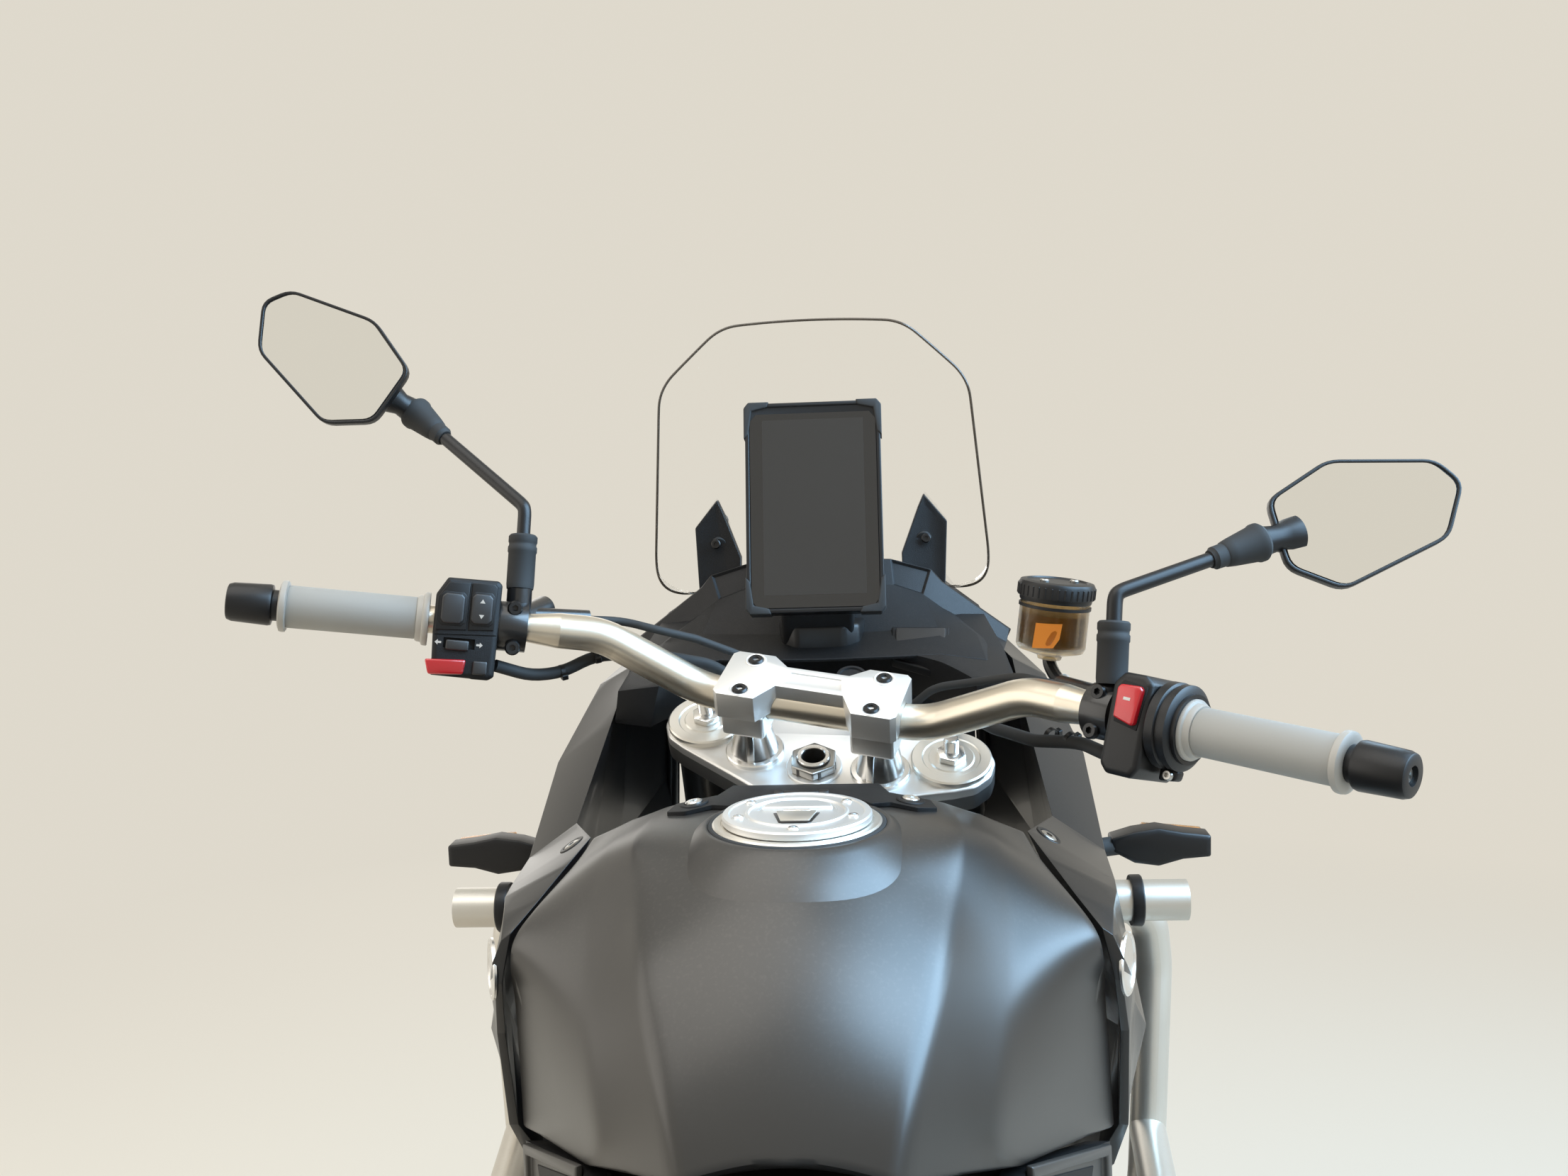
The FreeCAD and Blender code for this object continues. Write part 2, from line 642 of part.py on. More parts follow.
def bar_core(far=BAR_END):
    """The bar's own space at its thin end, with its taper."""
    cone = taper(along_bar(BAR_TAPER_START), along_bar(BAR_TAPER_END), BAR_R, GRIP_END_R)
    return fuse(cone, rod(along_bar(BAR_TAPER_END), along_bar(far), GRIP_END_R))


@kept
def switch_left():
    """The left switch housing with its buttons in relief, and the clutch lever's perch beside it."""
    shape = housing(PERCH_OUT + FIT_GAP, 132, 22, 24, 34, 44, 5).cut(bar_core())
    return steered(mirrored(shape))


@kept
def switch_right():
    """The right switch housing and the throttle drum."""
    box = housing(PERCH_OUT + 5, 119, 24, 26, 30, 40, 5)
    flange = GRIP_START - GRIP_FLANGE_THICK
    drum = rod(along_bar(119), along_bar(flange + 3), 30)
    room = rod(along_bar(flange - FIT_GAP), along_bar(flange + 4), 21 + FIT_GAP)
    return steered(fuse(box, drum).cut(bar_core()).cut(room)).cut(mirror_right())


PERCH_IN, PERCH_OUT = 60.0, 82.0
PERCH_MID = (PERCH_IN + PERCH_OUT) / 2
CABLE_START = 24.0


def perch(mount):
    """A right-hand lever perch with its mirror boss, which ends at the mirror's mount."""
    clamp = rod(along_bar(PERCH_IN), along_bar(PERCH_OUT), 20)
    boss = rod(along_bar(PERCH_MID, mount[0] * 0.5, 4), along_bar(PERCH_MID, *mount), 10)
    arm = rod(along_bar(PERCH_MID, 14, -2), along_bar(66, 44, -10), 10)
    cylinder = rod(along_bar(PERCH_MID, 20, -4), along_bar(CABLE_START, 30, -8), 8)
    return fuse(clamp, boss, arm, cylinder).cut(bar_core())


@kept
def perches():
    """The lever perches with the mirror bosses on them."""
    left, right = (perch(MIRRORS[name]["mount"]) for name in ("left", "right"))
    return steered(fuse(mirrored(left), right)).cut(handlebar())


def levers():
    """The clutch and brake levers, hinged at the perches."""
    def right():
        blade = tube([along_bar(66, 46, -11), along_bar(94, 54, -30), along_bar(150, 50, -36), along_bar(232, 47, -35)],
                     6, 30)
        ball = Part.makeSphere(8, Vector(*along_bar(236, 47, -35)))
        return fuse(blade, ball)
    return on_both_bars(right).cut(perches())


# Cables and hoses in the steering frame: radius and route, from the control to the guide or from it to a caliper
CABLE_ROUTES = {
    "clutch_cable": (3.4, [(-194, 14, 108), (-172, 32, 98), (-144, 32, 94), (-115, 48, 78), (-78, 66, 52), (-52, 88, 6),
                           (-30, 92, -70), (-18, 84, -160), (-16, 76, GUIDE_TOP - 4)]),
    "left_loom": (5.0, [(-242, -60, 106), (-222, -42, 86), (-204, -24, 80), (-184, -1, 84), (-150, 26, 72),
                        (-112, 62, 42), (-70, 94, -10), (-52, 96, -90), (-38, 84, -160), (-34, 76, GUIDE_TOP - 4)]),
    "brake_hose": (3.4, [(194, 14, 108), (157, 50, 84), (122, 62, 64), (84, 72, 44), (58, 90, 4), (36, 96, -70),
                         (14, 84, -160), (4, 76, GUIDE_TOP - 4)]),
    "right_loom": (5.0, [(244, -60, 108), (214, -14, 80), (178, 4, 60), (140, 34, 42), (104, 74, 24), (72, 94, -14),
                         (54, 98, -90), (38, 84, -160), (34, 76, GUIDE_TOP - 4)]),
    "caliper_hose": (3.2, [(14, 76, GUIDE_LOW + 4), (40, 60, -262), (70, 14, -296), (98, 1, -350), (107, 0, -430),
                           (107, 0, -530), (92, -40, -566), (70, -62, AXLE_DROP + 152)]),
}


def cables():
    """The clutch cable, the brake hoses and the two switch looms, whole from end to end."""
    made = [tube(points, radius, 60) for radius, points in CABLE_ROUTES.values()]
    made.append(mirrored(made[-1]))
    bundle = steered(Part.makeCompound(made))
    for holder in (perches, switch_left, switch_right, bottom_clamp, brake_calipers):
        bundle = bundle.cut(holder())
    return bundle


RESERVOIR_R = 27.0
RESERVOIR_PERCH = 66.0


def reservoir():
    """The brake fluid reservoir, standing on its bracket from the right perch."""
    x, y, low, high = 178.0, 78.0, 98.0, 154.0
    jar = Part.makeCylinder(RESERVOIR_R, high - low - 14, Vector(x, y, low))
    lid = Part.makeCylinder(RESERVOIR_R + 3, 17, Vector(x, y, high - 16))
    foot = Part.makeCylinder(10, 8, Vector(x, y, low - 8))
    upright = fuse(jar, lid, foot)
    upright.rotate(Vector(x, y, (low + high) / 2), X_AXIS, -RAKE)
    x, y, low = x, y - 14.0, low + 3.0
    perch = Vector(*along_bar(RESERVOIR_PERCH, 14, -2))
    bracket = tube([(x, y, low - 10), (x + 20, y - 40, low - 6), perch + Vector(0, 10, -1)], 6, 20)
    return steered(fuse(upright, bracket)).cut(perches())


# Mirrors in the steering frame: how far forward and up of the bar they mount, the stalk's bend and ball joint, the glass's centre, its normal and its outward edge
MIRROR_STALK_R = 5.5
MIRROR_SLEEVE_LEN = 42.0
MIRROR_HEAD_DEPTH = 22.0
MIRROR_OUTLINE = [(-70, 16), (-23, 43), (54, 37), (71, 18), (55, -22), (-24, -55), (-62, -36)]
MIRRORS = {
    "left": {"side": -1, "mount": (22, 24), "bend": (-243, 29, 201), "ball": (-373, 93, 242), "centre": (-433, 74.4, 300),
             "normal": (0.263, -0.717, 0.646), "outward": (-0.930, -0.009, 0.368)},
    "right": {"side": 1, "mount": (6, 23), "bend": (229, 8, 200), "ball": (321, 86, 207), "centre": (393, 122, 219.3),
              "normal": (0.187, -0.667, 0.721), "outward": (0.953, 0.302, 0.032)},
}


def mirror(name):
    """One mirror: sleeve, bent stalk, rubber cone, ball joint and housing."""
    m = MIRRORS[name]
    mount = Vector(*along_bar(PERCH_MID, *m["mount"]))
    mount.x *= m["side"]
    bend, ball, centre = Vector(m["bend"]), Vector(m["ball"]), Vector(m["centre"])
    rise = (bend - mount).normalize()
    sleeve = rod(mount, mount + rise * MIRROR_SLEEVE_LEN, 11)
    stalk = tube([mount + rise * (MIRROR_SLEEVE_LEN - 6), bend, ball], MIRROR_STALK_R, 18)
    run = (ball - bend).normalize()
    cone = taper(ball - run * 40, ball, 7, 14)
    normal, outward = Vector(m["normal"]).normalize(), Vector(m["outward"]).normalize()
    up = normal.cross(outward) * m["side"]
    corners = [centre + outward * u + up * v for u, v in MIRROR_OUTLINE]
    head = Part.Face(path(corners, 9, closed=True)).extrude(normal * -MIRROR_HEAD_DEPTH)
    root = centre - normal * (MIRROR_HEAD_DEPTH / 2) - outward * 44 - up * 8
    link = rod(ball - run * 2, root, 10)
    return steered(fuse(sleeve, stalk, cone, link, head)).cut(perches())


def mirror_left():
    """The left mirror as it is set in the photograph."""
    return mirror("left")


def mirror_right():
    """The right mirror as it is set in the photograph."""
    return mirror("right")


# Frame and drive
def head_tube():
    """The frame's head tube round the stem, drawn in the steering frame and set straight."""
    top = -CLAMP_THICK - CLAMP_GAP
    outer = Part.makeCylinder(HEAD_TUBE_R, HEAD_TUBE_LEN, Vector(0, 0, top - HEAD_TUBE_LEN))
    return steered(outer, 0)


def stem_bore():
    """The hole in the head tube for the stem."""
    return steered(Part.makeCylinder(STEM_R + SHAFT_GAP, 400, Vector(0, 0, -300)), 0)


# Frame tubes on the right side: radius and the points they run through
FRAME_TUBES = [
    (17.0, [(14, 405, 905), (104, 280, 846), (146, 60, 668), (150, -110, 500)]),
    (14.0, [(12, 430, 835), (100, 290, 740), (142, 130, 690), (145, 70, 690)]),
    (14.0, [(12, 422, 850), (80, 330, 780), (112, 300, 560), (112, 286, 470)]),
    (13.0, [(148, 20, 636), (122, -140, 742), (108, -700, 842)]),
    (12.0, [(148, -120, 500), (128, -200, 560), (108, -690, 820)]),
]
SHOCK_TOP_Y = -137.0
SHOCK_TOP_Z = 740.0


@kept
def frame():
    """The tubular frame with its head tube, pivot plates and rear subframe."""
    half = [tube(points, radius, 60) for radius, points in FRAME_TUBES]
    plate = slab([(-178, 470), (-150, 520), (-78, 520), (-62, 430), (-20, 330), (-20, 282), (-130, 268), (-178, 330)],
                 "x", PLATE_IN_X, PLATE_IN_X + PLATE_THICK, 12)
    half.append(plate)
    right = fuse(*half)
    bolt = rod((-PLATE_IN_X, SWING_PIVOT_Y, SWING_PIVOT_Z), (PLATE_IN_X, SWING_PIVOT_Y, SWING_PIVOT_Z), PIVOT_BOLT_R)
    bridges = [rod((-118, -330, 776), (118, -330, 776), 11), rod((-108, -690, 838), (108, -690, 838), 11),
               rod((-146, -112, 505), (146, -112, 505), 13),
               rod((-122, SHOCK_TOP_Y, SHOCK_TOP_Z), (122, SHOCK_TOP_Y, SHOCK_TOP_Z), 12)]
    whole = fuse(head_tube(), right, mirrored(right), bolt, *bridges)
    return whole.cut(stem_bore()).cut(steering_well_for_clamps())


def steering_well_for_clamps():
    """The room over and under the head tube in which the clamps turn."""
    top = steered(Part.makeCylinder(STEER_WELL_R, 60, Vector(0, 0, -CLAMP_THICK - CLAMP_GAP)), 0)
    below = -CLAMP_THICK - CLAMP_GAP - HEAD_TUBE_LEN
    low = steered(Part.makeCylinder(60, 50, Vector(0, 0, below - 50)), 0)
    return fuse(top, low)


def chain_outline(grow):
    """The chain's closed path round both sprockets as a flat solid, grown by grow from the sprockets' pitch radius."""
    rear, front = SPROCKET_R + grow, FRONT_SPROCKET_R + grow
    dy, dz = FRONT_SPROCKET_Y - REAR_AXLE_Y, FRONT_SPROCKET_Z - REAR_AXLE_Z
    reach, lean = math.hypot(dy, dz), math.atan2(dz, dy)
    spread = math.acos((rear - front) / reach)
    points = []
    for turn in (lean + spread, lean - spread):
        for radius, y, z in ((rear, REAR_AXLE_Y, REAR_AXLE_Z), (front, FRONT_SPROCKET_Y, FRONT_SPROCKET_Z)):
            points.append(Vector(SPROCKET_X, y + radius * math.cos(turn), z + radius * math.sin(turn)))
    rear_top, front_top, rear_low, front_low = points
    back, fore = Vector(0, -math.cos(lean), -math.sin(lean)), Vector(0, math.cos(lean), math.sin(lean))
    rear_mid = Vector(SPROCKET_X, REAR_AXLE_Y, REAR_AXLE_Z) + back * rear
    front_mid = Vector(SPROCKET_X, FRONT_SPROCKET_Y, FRONT_SPROCKET_Z) + fore * front
    edges = [Part.LineSegment(rear_top, front_top).toShape(), Part.Arc(front_top, front_mid, front_low).toShape(),
             Part.LineSegment(front_low, rear_low).toShape(), Part.Arc(rear_low, rear_mid, rear_top).toShape()]
    return Part.Face(Part.Wire(edges))


CHAIN_GAP = 0.3
CHAIN_DEPTH = 12.0
CHAIN_HALF_W = 8.0


def chain():
    """The drive chain as one band round both sprockets."""
    width = X_AXIS * (2 * CHAIN_HALF_W)
    outer = chain_outline(CHAIN_GAP + CHAIN_DEPTH).extrude(width)
    inner = chain_outline(CHAIN_GAP).extrude(width)
    return moved(outer.cut(inner), -CHAIN_HALF_W)


@kept
def engine():
    """The parallel-twin engine: crankcase, leaning cylinders, head, side covers and drive sprocket."""
    w = ENGINE_HALF_W
    case = slab([(-58, 300), (-58, 470), (-30, 520), (190, 520), (262, 480), (262, 330), (220, 268), (0, 268)], "x", -w, w, 18)
    cylinders = slab([(20, 500), (52, 668), (226, 640), (200, 500)], "x", -104, 104, 6)
    head = slab([(48, 664), (62, 752), (110, 790), (200, 776), (244, 716), (232, 636)], "x", -112, 112, 10)
    clutch = fuse(rod((w - 4, 60, 395), (w + 40, 60, 395), 80), rod((w - 4, 60, 395), (w + 20, 60, 395), 96))
    dynamo = fuse(rod((-w + 4, 160, 400), (-w - 36, 160, 400), 66), rod((-w + 4, 160, 400), (-w - 14, 160, 400), 80))
    filter_can = rod((0, 258, 385), (0, 312, 372), 30)
    throttle = [rod((x, 70, 716), (x, -24, 736), 24) for x in (-52, 52)]
    body = fuse(case, cylinders, head, clutch, dynamo, filter_can, *throttle)
    pocket = block((-w - 1, -72), (-90, 16), (340, 466))
    pivot_room = rod((-w - 1, SWING_PIVOT_Y, SWING_PIVOT_Z), (w + 1, SWING_PIVOT_Y, SWING_PIVOT_Z), SWING_TUBE_R + 4)
    body = body.cut(pocket).cut(pivot_room)
    drive = moved(Part.makeCylinder(FRONT_SPROCKET_R - 0.2, 6, Vector(SPROCKET_X - 3, 0, 0), X_AXIS), 0,
                  FRONT_SPROCKET_Y, FRONT_SPROCKET_Z)
    shaft = rod((-60, FRONT_SPROCKET_Y, FRONT_SPROCKET_Z), (SPROCKET_X - 10, FRONT_SPROCKET_Y, FRONT_SPROCKET_Z), 12)
    mounts = [rod((side * 90, y, z), (side * 138.2, y, z), 12) for side in SIDES for y, z in ((-30, 310), (-48, 480))]
    front_mounts = [rod((side * 100, 240, 468), (side * 112, 286, 482), 10) for side in SIDES]
    return fuse(body, drive, shaft, *mounts, *front_mounts).cut(frame())


def airbox():
    """The airbox behind the throttle bodies, under the tank."""
    box = slab([(-24.2, 700), (-96, 700), (-104, 796), (130, 796), (60, 792.4), (-10, 772)], "x", -92, 92)
    return box.cut(frame()).cut(engine()).cut(tank_cover())


@kept
def radiator():
    """The radiator in front of the down tubes, with its two fixing ears."""
    core = block((-140, 140), (RADIATOR_Y, RADIATOR_Y + 32), (540, 740))
    ears = [block((side * 112 - 8, side * 112 + 8), (300, RADIATOR_Y), (590, 606)) for side in SIDES]
    return fuse(core, *ears).cut(frame())


RADIATOR_Y = 340.0
PIPE_R = 20.0
SILENCER_R = 58.0


@kept
def exhaust():
    """Two header pipes joined under the engine, and the pipe that climbs to the silencer."""
    left = tube([(-62, 240, 690), (-62, 304, 676), (-62, 306, 330), (-58, 262, 250), (-20, 160, 246), (74, 96, 246)],
                PIPE_R, 50)
    right = tube([(62, 240, 690), (62, 304, 676), (62, 306, 330), (60, 262, 250), (74, 120, 246), (180, -12, 254),
                  (190, -250, 420), (190, -330, 470)], PIPE_R, 50)
    return fuse(left, right).cut(engine())


def silencer():
    """The silencer can on the right side with its end cap, outlet and hanger."""
    start, end = Vector(190, -322, 465), Vector(196, -690, 600)
    run = (end - start).normalize()
    neck = taper(start, start + run * 60, 26, SILENCER_R)
    can = rod(start + run * 60, end, SILENCER_R)
    cap = taper(end, end + run * 26, SILENCER_R, 40)
    outlet = rod(end + run * 20, end + run * 44, 20)
    hanger = rod(start + run * 200 + Vector(-30, 0, 30), Vector(118, -440, 660), 9)
    return fuse(neck, can, cap, outlet, hanger).cut(exhaust()).cut(frame())


def skid_plate():
    """The bent metal plate under the engine, with ribs down its middle."""
    t = 4.0
    profile = [(-10, 214), (262, 214), (330, 300), (330, 372), (330 - t, 372), (330 - t, 302), (260, 214 + t), (-10, 214 + t)]
    plate = slab(profile, "x", -132, 132)
    wings = [slab([(-10, 214), (262, 214), (326, 300), (250, 262), (-10, 250)], "x", side * 132 - 2, side * 132 + 2)
             for side in SIDES]
    lugs = [block((side * 126 - 6, side * 126 + 6), (200, 216), (216, 276)) for side in SIDES]
    return fuse(plate, *wings, *lugs).cut(engine()).cut(exhaust())


SWING_TUBE_R = 25.0
SWING_ARM_X = 119.0
SWING_ARM_HALF = 13.0


@kept
def swingarm():
    """The swingarm: pivot tube, cross beam, two box arms, axle plates and the axle."""
    parts = [rod((-SWING_ARM_X, SWING_PIVOT_Y, SWING_PIVOT_Z), (SWING_ARM_X, SWING_PIVOT_Y, SWING_PIVOT_Z), SWING_TUBE_R),
             block((-SWING_ARM_X, SWING_ARM_X), (-296, -236), (374, 404))]
    for side in SIDES:
        x = side * SWING_ARM_X
        low, high = x - SWING_ARM_HALF, x + SWING_ARM_HALF
        arm = slab([(-100, 420), (-100, 376), (-300, 352), (-700, 330), (-796, 328), (-800, 372), (-700, 384), (-320, 412)],
                   "x", low, high, 8)
        inner = side * (REAR_HUB_HALF + 0.3)
        outer = side * (SWING_ARM_X + SWING_ARM_HALF + 12)
        axle_end = rod((inner, REAR_AXLE_Y, REAR_AXLE_Z), (outer, REAR_AXLE_Y, REAR_AXLE_Z), 17)
        parts += [arm, axle_end]
    axle = rod((-150, REAR_AXLE_Y, REAR_AXLE_Z), (150, REAR_AXLE_Y, REAR_AXLE_Z), AXLE_R)
    eye = block((-15, 15), (-280, -252), (404, 418))
    whole = fuse(*parts, axle, eye)
    bolt = rod((-200, SWING_PIVOT_Y, SWING_PIVOT_Z), (200, SWING_PIVOT_Y, SWING_PIVOT_Z), PIVOT_BOLT_R + SHAFT_GAP)
    whole = whole.cut(bolt)
    for side in SIDES:
        spool = rod((side * (SWING_ARM_X - 6), SPOOL_Y, SPOOL_Z), (side * 160, SPOOL_Y, SPOOL_Z), SPOOL_HOLE_R)
        whole = whole.cut(spool)
    return whole


REAR_HUB_HALF = 96.0
SPOOL_Y = -690.0
SPOOL_Z = 356.0
SPOOL_HOLE_R = 4.2


def rear_caliper():
    """The rear brake caliper over its disc, carried by the right arm."""
    y, z = REAR_AXLE_Y + 78, REAR_AXLE_Z + 92
    body = slab([(y - 34, z - 20), (y - 34, z + 26), (y + 30, z + 26), (y + 44, z - 10), (y + 30, z - 30)], "x",
                REAR_DISC_X - 24, REAR_DISC_X + 20, 8)
    disc = Part.makeCylinder(REAR_DISC_R + 4, 13, Vector(REAR_DISC_X - 6.5, REAR_AXLE_Y, REAR_AXLE_Z), X_AXIS)
    bracket = block((REAR_DISC_X + 12, REAR_DISC_X + 20), (y - 20, y + 20), (378, z))
    return fuse(body.cut(disc), bracket.cut(disc)).cut(swingarm())


@kept
def rear_shock():
    """The rear shock with its spring, from the frame's cross tube to the swingarm."""
    top, low = Vector(0, SHOCK_TOP_Y - 3, SHOCK_TOP_Z - 14), Vector(0, -266, 420)
    run = (top - low).normalize()
    spring = rod(low + run * 60, top - run * 70, 31)
    body = rod(low, top, 17)
    seat = rod(top - run * 72, top - run * 40, 27)
    tank = rod(top + Vector(-52, -10, -66), top + Vector(-52, -30, -176), 20)
    link = rod(top - run * 56, top + Vector(-52, -14, -90), 9)
    return fuse(spring, body, seat, tank, link).cut(frame()).cut(swingarm())


FOOTREST_Y = -48.0
FOOTREST_Z = 352.0


@kept
def footrests():
    """Rider and pillion footrests on their brackets, with the brake pedal and the gear lever."""
    face = PLATE_IN_X + PLATE_THICK
    parts = []
    for side in SIDES:
        arm = block(tuple(sorted((side * face, side * (face + 26)))), (FOOTREST_Y - 12, FOOTREST_Y + 12),
                    (FOOTREST_Z - 22, FOOTREST_Z + 10))
        peg = block(tuple(sorted((side * (face + 20), side * (face + 112)))), (FOOTREST_Y - 24, FOOTREST_Y + 24),
                    (FOOTREST_Z - 6, FOOTREST_Z + 12))
        parts.append(fuse(arm, peg))
    pedal_arm = tube([(face + 6, -112, 340), (face + 24, -30, 318), (face + 34, 90, 322), (face + 36, 150, 330)], 6, 40)
    pedal = fuse(rod((face, -112, 340), (face + 14, -112, 340), 11), pedal_arm,
                 block((face + 22, face + 52), (140, 168), (324, 336)))
    lever = fuse(rod((-face, -16, 330), (-face - 12, -16, 330), 9),
                 tube([(-face - 8, -16, 330), (-face - 26, 60, 322), (-face - 34, 120, 326)], 6, 30),
                 rod((-face - 30, 120, 326), (-face - 62, 120, 326), 8))
    passenger = []
    for side in SIDES:
        arm = slab([(-330, 700), (-300, 690), (-300, 548), (-336, 548)], "x", side * 132 - 7, side * 132 + 7)
        peg = rod((side * 132, -318, 562), (side * 226, -318, 562), 15)
        passenger.append(fuse(arm, peg))
    return Part.makeCompound(parts + [pedal, lever] + passenger).cut(frame())


def centre_stand():
    """The centre stand, down, with its pivot tube, legs, feet, cross brace and foot lever."""
    parts = [rod((-126, CENTRE_STAND_Y, CENTRE_STAND_Z), (126, CENTRE_STAND_Y, CENTRE_STAND_Z), STAND_TUBE_R + 4)]
    for side in SIDES:
        top = (side * 112, CENTRE_STAND_Y, CENTRE_STAND_Z)
        foot = (side * 150, CENTRE_STAND_FOOT_Y, 10)
        parts.append(rod(top, foot, STAND_TUBE_R))
        parts.append(block((side * 150 - 20, side * 150 + 20), (CENTRE_STAND_FOOT_Y - 32, CENTRE_STAND_FOOT_Y + 28), (0, 12)))
    middle = Vector(0, CENTRE_STAND_Y + (CENTRE_STAND_FOOT_Y - CENTRE_STAND_Y) * 0.42, CENTRE_STAND_Z * 0.58)
    parts.append(rod(middle - X_AXIS * 128, middle + X_AXIS * 128, STAND_TUBE_R))
    parts.append(tube([(-146, CENTRE_STAND_FOOT_Y, 40), (-151, CENTRE_STAND_FOOT_Y - 60, 58),
                       (-159, CENTRE_STAND_FOOT_Y - 84, 66)], 8, 20))
    bolt = rod((-150, CENTRE_STAND_Y, CENTRE_STAND_Z), (150, CENTRE_STAND_Y, CENTRE_STAND_Z), STAND_PIN_R + SHAFT_GAP)
    return fuse(*parts).cut(bolt)


CENTRE_STAND_FOOT_Y = -70.0


SIDE_PIVOT = (-174.0, -60.0, 272.0)
SIDE_PIVOT_TILT = 14.5
SIDE_LEG_LEN = 262.0
SIDE_LEG_R = 11.0


def on_side_pivot(shape):
    """A shape drawn about the side stand's pin, put in its place with the pin's tilt."""
    shape.rotate(Vector(0, 0, 0), Y_AXIS, SIDE_PIVOT_TILT)
    shape.translate(Vector(*SIDE_PIVOT))
    return shape


def stand_pins():
    """The centre stand's pin, and the side stand's bracket with its pin."""
    pin = rod((-PLATE_IN_X, CENTRE_STAND_Y, CENTRE_STAND_Z), (PLATE_IN_X, CENTRE_STAND_Y, CENTRE_STAND_Z), STAND_PIN_R)
    face, low = -PLATE_IN_X - PLATE_THICK, SIDE_PIVOT[2]
    bracket = slab([(-92, low + 62), (-30, low + 62), (-40, low - 14), (-80, low - 14)], "x", face - 11, face, 8)
    side_pin = on_side_pivot(rod((-9, 0, 0), (22, 0, 0), STAND_PIN_R))
    return Part.makeCompound([pin, fuse(bracket, side_pin)]).cut(footrests()).cut(frame())


def side_stand():
    """The side stand, folded back along the left side."""
    eye = rod((-9, 0, 0), (9, 0, 0), 16)
    leg = tube([(-1, -8, 0), (-6, -SIDE_LEG_LEN / 2, 0), (-18, -SIDE_LEG_LEN, 0)], SIDE_LEG_R, 80)
    foot = slab([(-52, -SIDE_LEG_LEN - 8), (-4, -SIDE_LEG_LEN - 8), (-4, -SIDE_LEG_LEN + 1), (-52, -SIDE_LEG_LEN + 1)],
                "z", -20, 20)
    shape = fuse(eye, leg, foot).cut(rod((-40, 0, 0), (40, 0, 0), STAND_PIN_R + SHAFT_GAP))
    return on_side_pivot(shape)


# Bodywork. Each row of a table is one section across the bike: y, then (x, z) points of the right half.
TANK_ROWS = [
    [(0, 246, 1004), (96, 222, 994), (126, 226, 983), (157, 233, 966), (148, 230, 900), (0, 240, 880)],
    [(0, 190, 1004), (103, 176, 996), (131, 188, 980), (166, 206, 955), (158, 205, 880), (0, 200, 850)],
    [(0, 118, 1004), (105.6, 131, 993), (137, 149, 974), (182, 174, 940), (170, 176, 860), (0, 160, 820)],
    [(0, 80, 1000), (98, 92, 972), (138, 95, 930), (198, 143, 922), (184, 150, 850), (0, 120, 806)],
    [(0, 40, 974), (91, 42, 950), (130, 58, 900), (202, 160, 882), (187, 165, 830), (0, 90, 804)],
    [(0, 4, 942), (80, 4, 921), (124, 36, 866), (207, 178, 840), (191, 180, 810), (0, 60, 803)],
    [(0, -24, 905), (69, -26, 888), (122, 34, 836), (211, 194, 798), (195, 190, 785), (0, 20, 803)],
    [(0, -42, 866), (62, -40, 852), (138, 72, 802), (214, 207, 757), (197, 200, 757), (0, -20, 806)],
]
SEAT_ROWS = [
    (-45, [(0, 856), (44, 853), (74, 842), (88, 822), (84, 810), (0, 810)]),
    (-90, [(0, 852), (54, 850), (92, 838), (108, 818), (100, 804), (0, 804)]),
    (-200, [(0, 850), (78, 850), (124, 836), (140, 810), (126, 798), (0, 798)]),
    (-330, [(0, 852), (112, 854), (158, 838), (164, 812), (142, 799), (0, 799)]),
    (-440, [(0, 860), (120, 862), (160, 844), (164, 820), (140, 808), (0, 808)]),
    (-476, [(0, 902), (110, 902), (152, 880), (158, 838), (138, 816), (0, 816)]),
    (-600, [(0, 912), (104, 912), (142, 892), (146, 856), (128, 838), (0, 838)]),
    (-724, [(0, 918), (84, 916), (112, 898), (116, 874), (104, 858), (0, 858)]),
]


def faceted(rows):
    """A closed solid with flat facets over a net of points; each row is a half ring from the top middle to the bottom."""
    rings = []
    for row in rows:
        right = [Vector(*p) for p in row]
        left = [Vector(-p[0], p[1], p[2]) for p in reversed(row) if p[0] > 0]
        rings.append(right + left)
    count, facets = len(rings[0]), []
    for near, far in zip(rings, rings[1:]):
        for i in range(count):
            j = (i + 1) % count
            across = i < count / 2
            corners = (near[i], near[j], far[i], far[j]) if across else (near[j], near[i], far[j], far[i])
            facets += [(corners[0], corners[1], corners[3]), (corners[0], corners[3], corners[2])]
    low = len(rows[0]) - 1
    for ring in (rings[0], rings[-1]):
        turn = ring[low:] + ring[:low]
        facets += [(turn[0], turn[i], turn[i + 1]) for i in range(1, count - 1)]
    faces = [Part.Face(Part.makePolygon([*corners, corners[0]])) for corners in facets]
    solid = Part.makeSolid(Part.makeShell(faces))
    return solid if solid.Volume > 0 else solid.reversed()


def ruled_body(rows):
    """A faceted solid through the rows of a table, closed over both sides."""
    sections = []
    for y, points in rows:
        right = [(x, y, z) for x, z in points]
        left = [(-x, y, z) for x, z in reversed(points) if x > 0]
        sections.append(right + left)
    return loft(sections)


@kept
@kept
def tank_cover():
    """The faceted tank with the round seat for its filler."""
    body = faceted(TANK_ROWS)
    seat = Part.makeCylinder(CAP_SEAT_R, 60, Vector(0, CAP_Y, CAP_Z - FILLER_SINK))
    return body.cut(seat).cut(tank_steering_room()).cut(frame()).cut(engine())


FILLER_SINK = 10.0
BAR_SWEEP_R = 132.0


def tank_steering_room():
    """The room that the clamps, the legs and the bar's middle turn in."""
    return steered(Part.makeCylinder(STEER_WELL_R, 400, Vector(0, 0, -360)), 0).common(
        steered(block((-STEER_WELL_R, STEER_WELL_R), (-86, 400), (-360, 400)), 0))


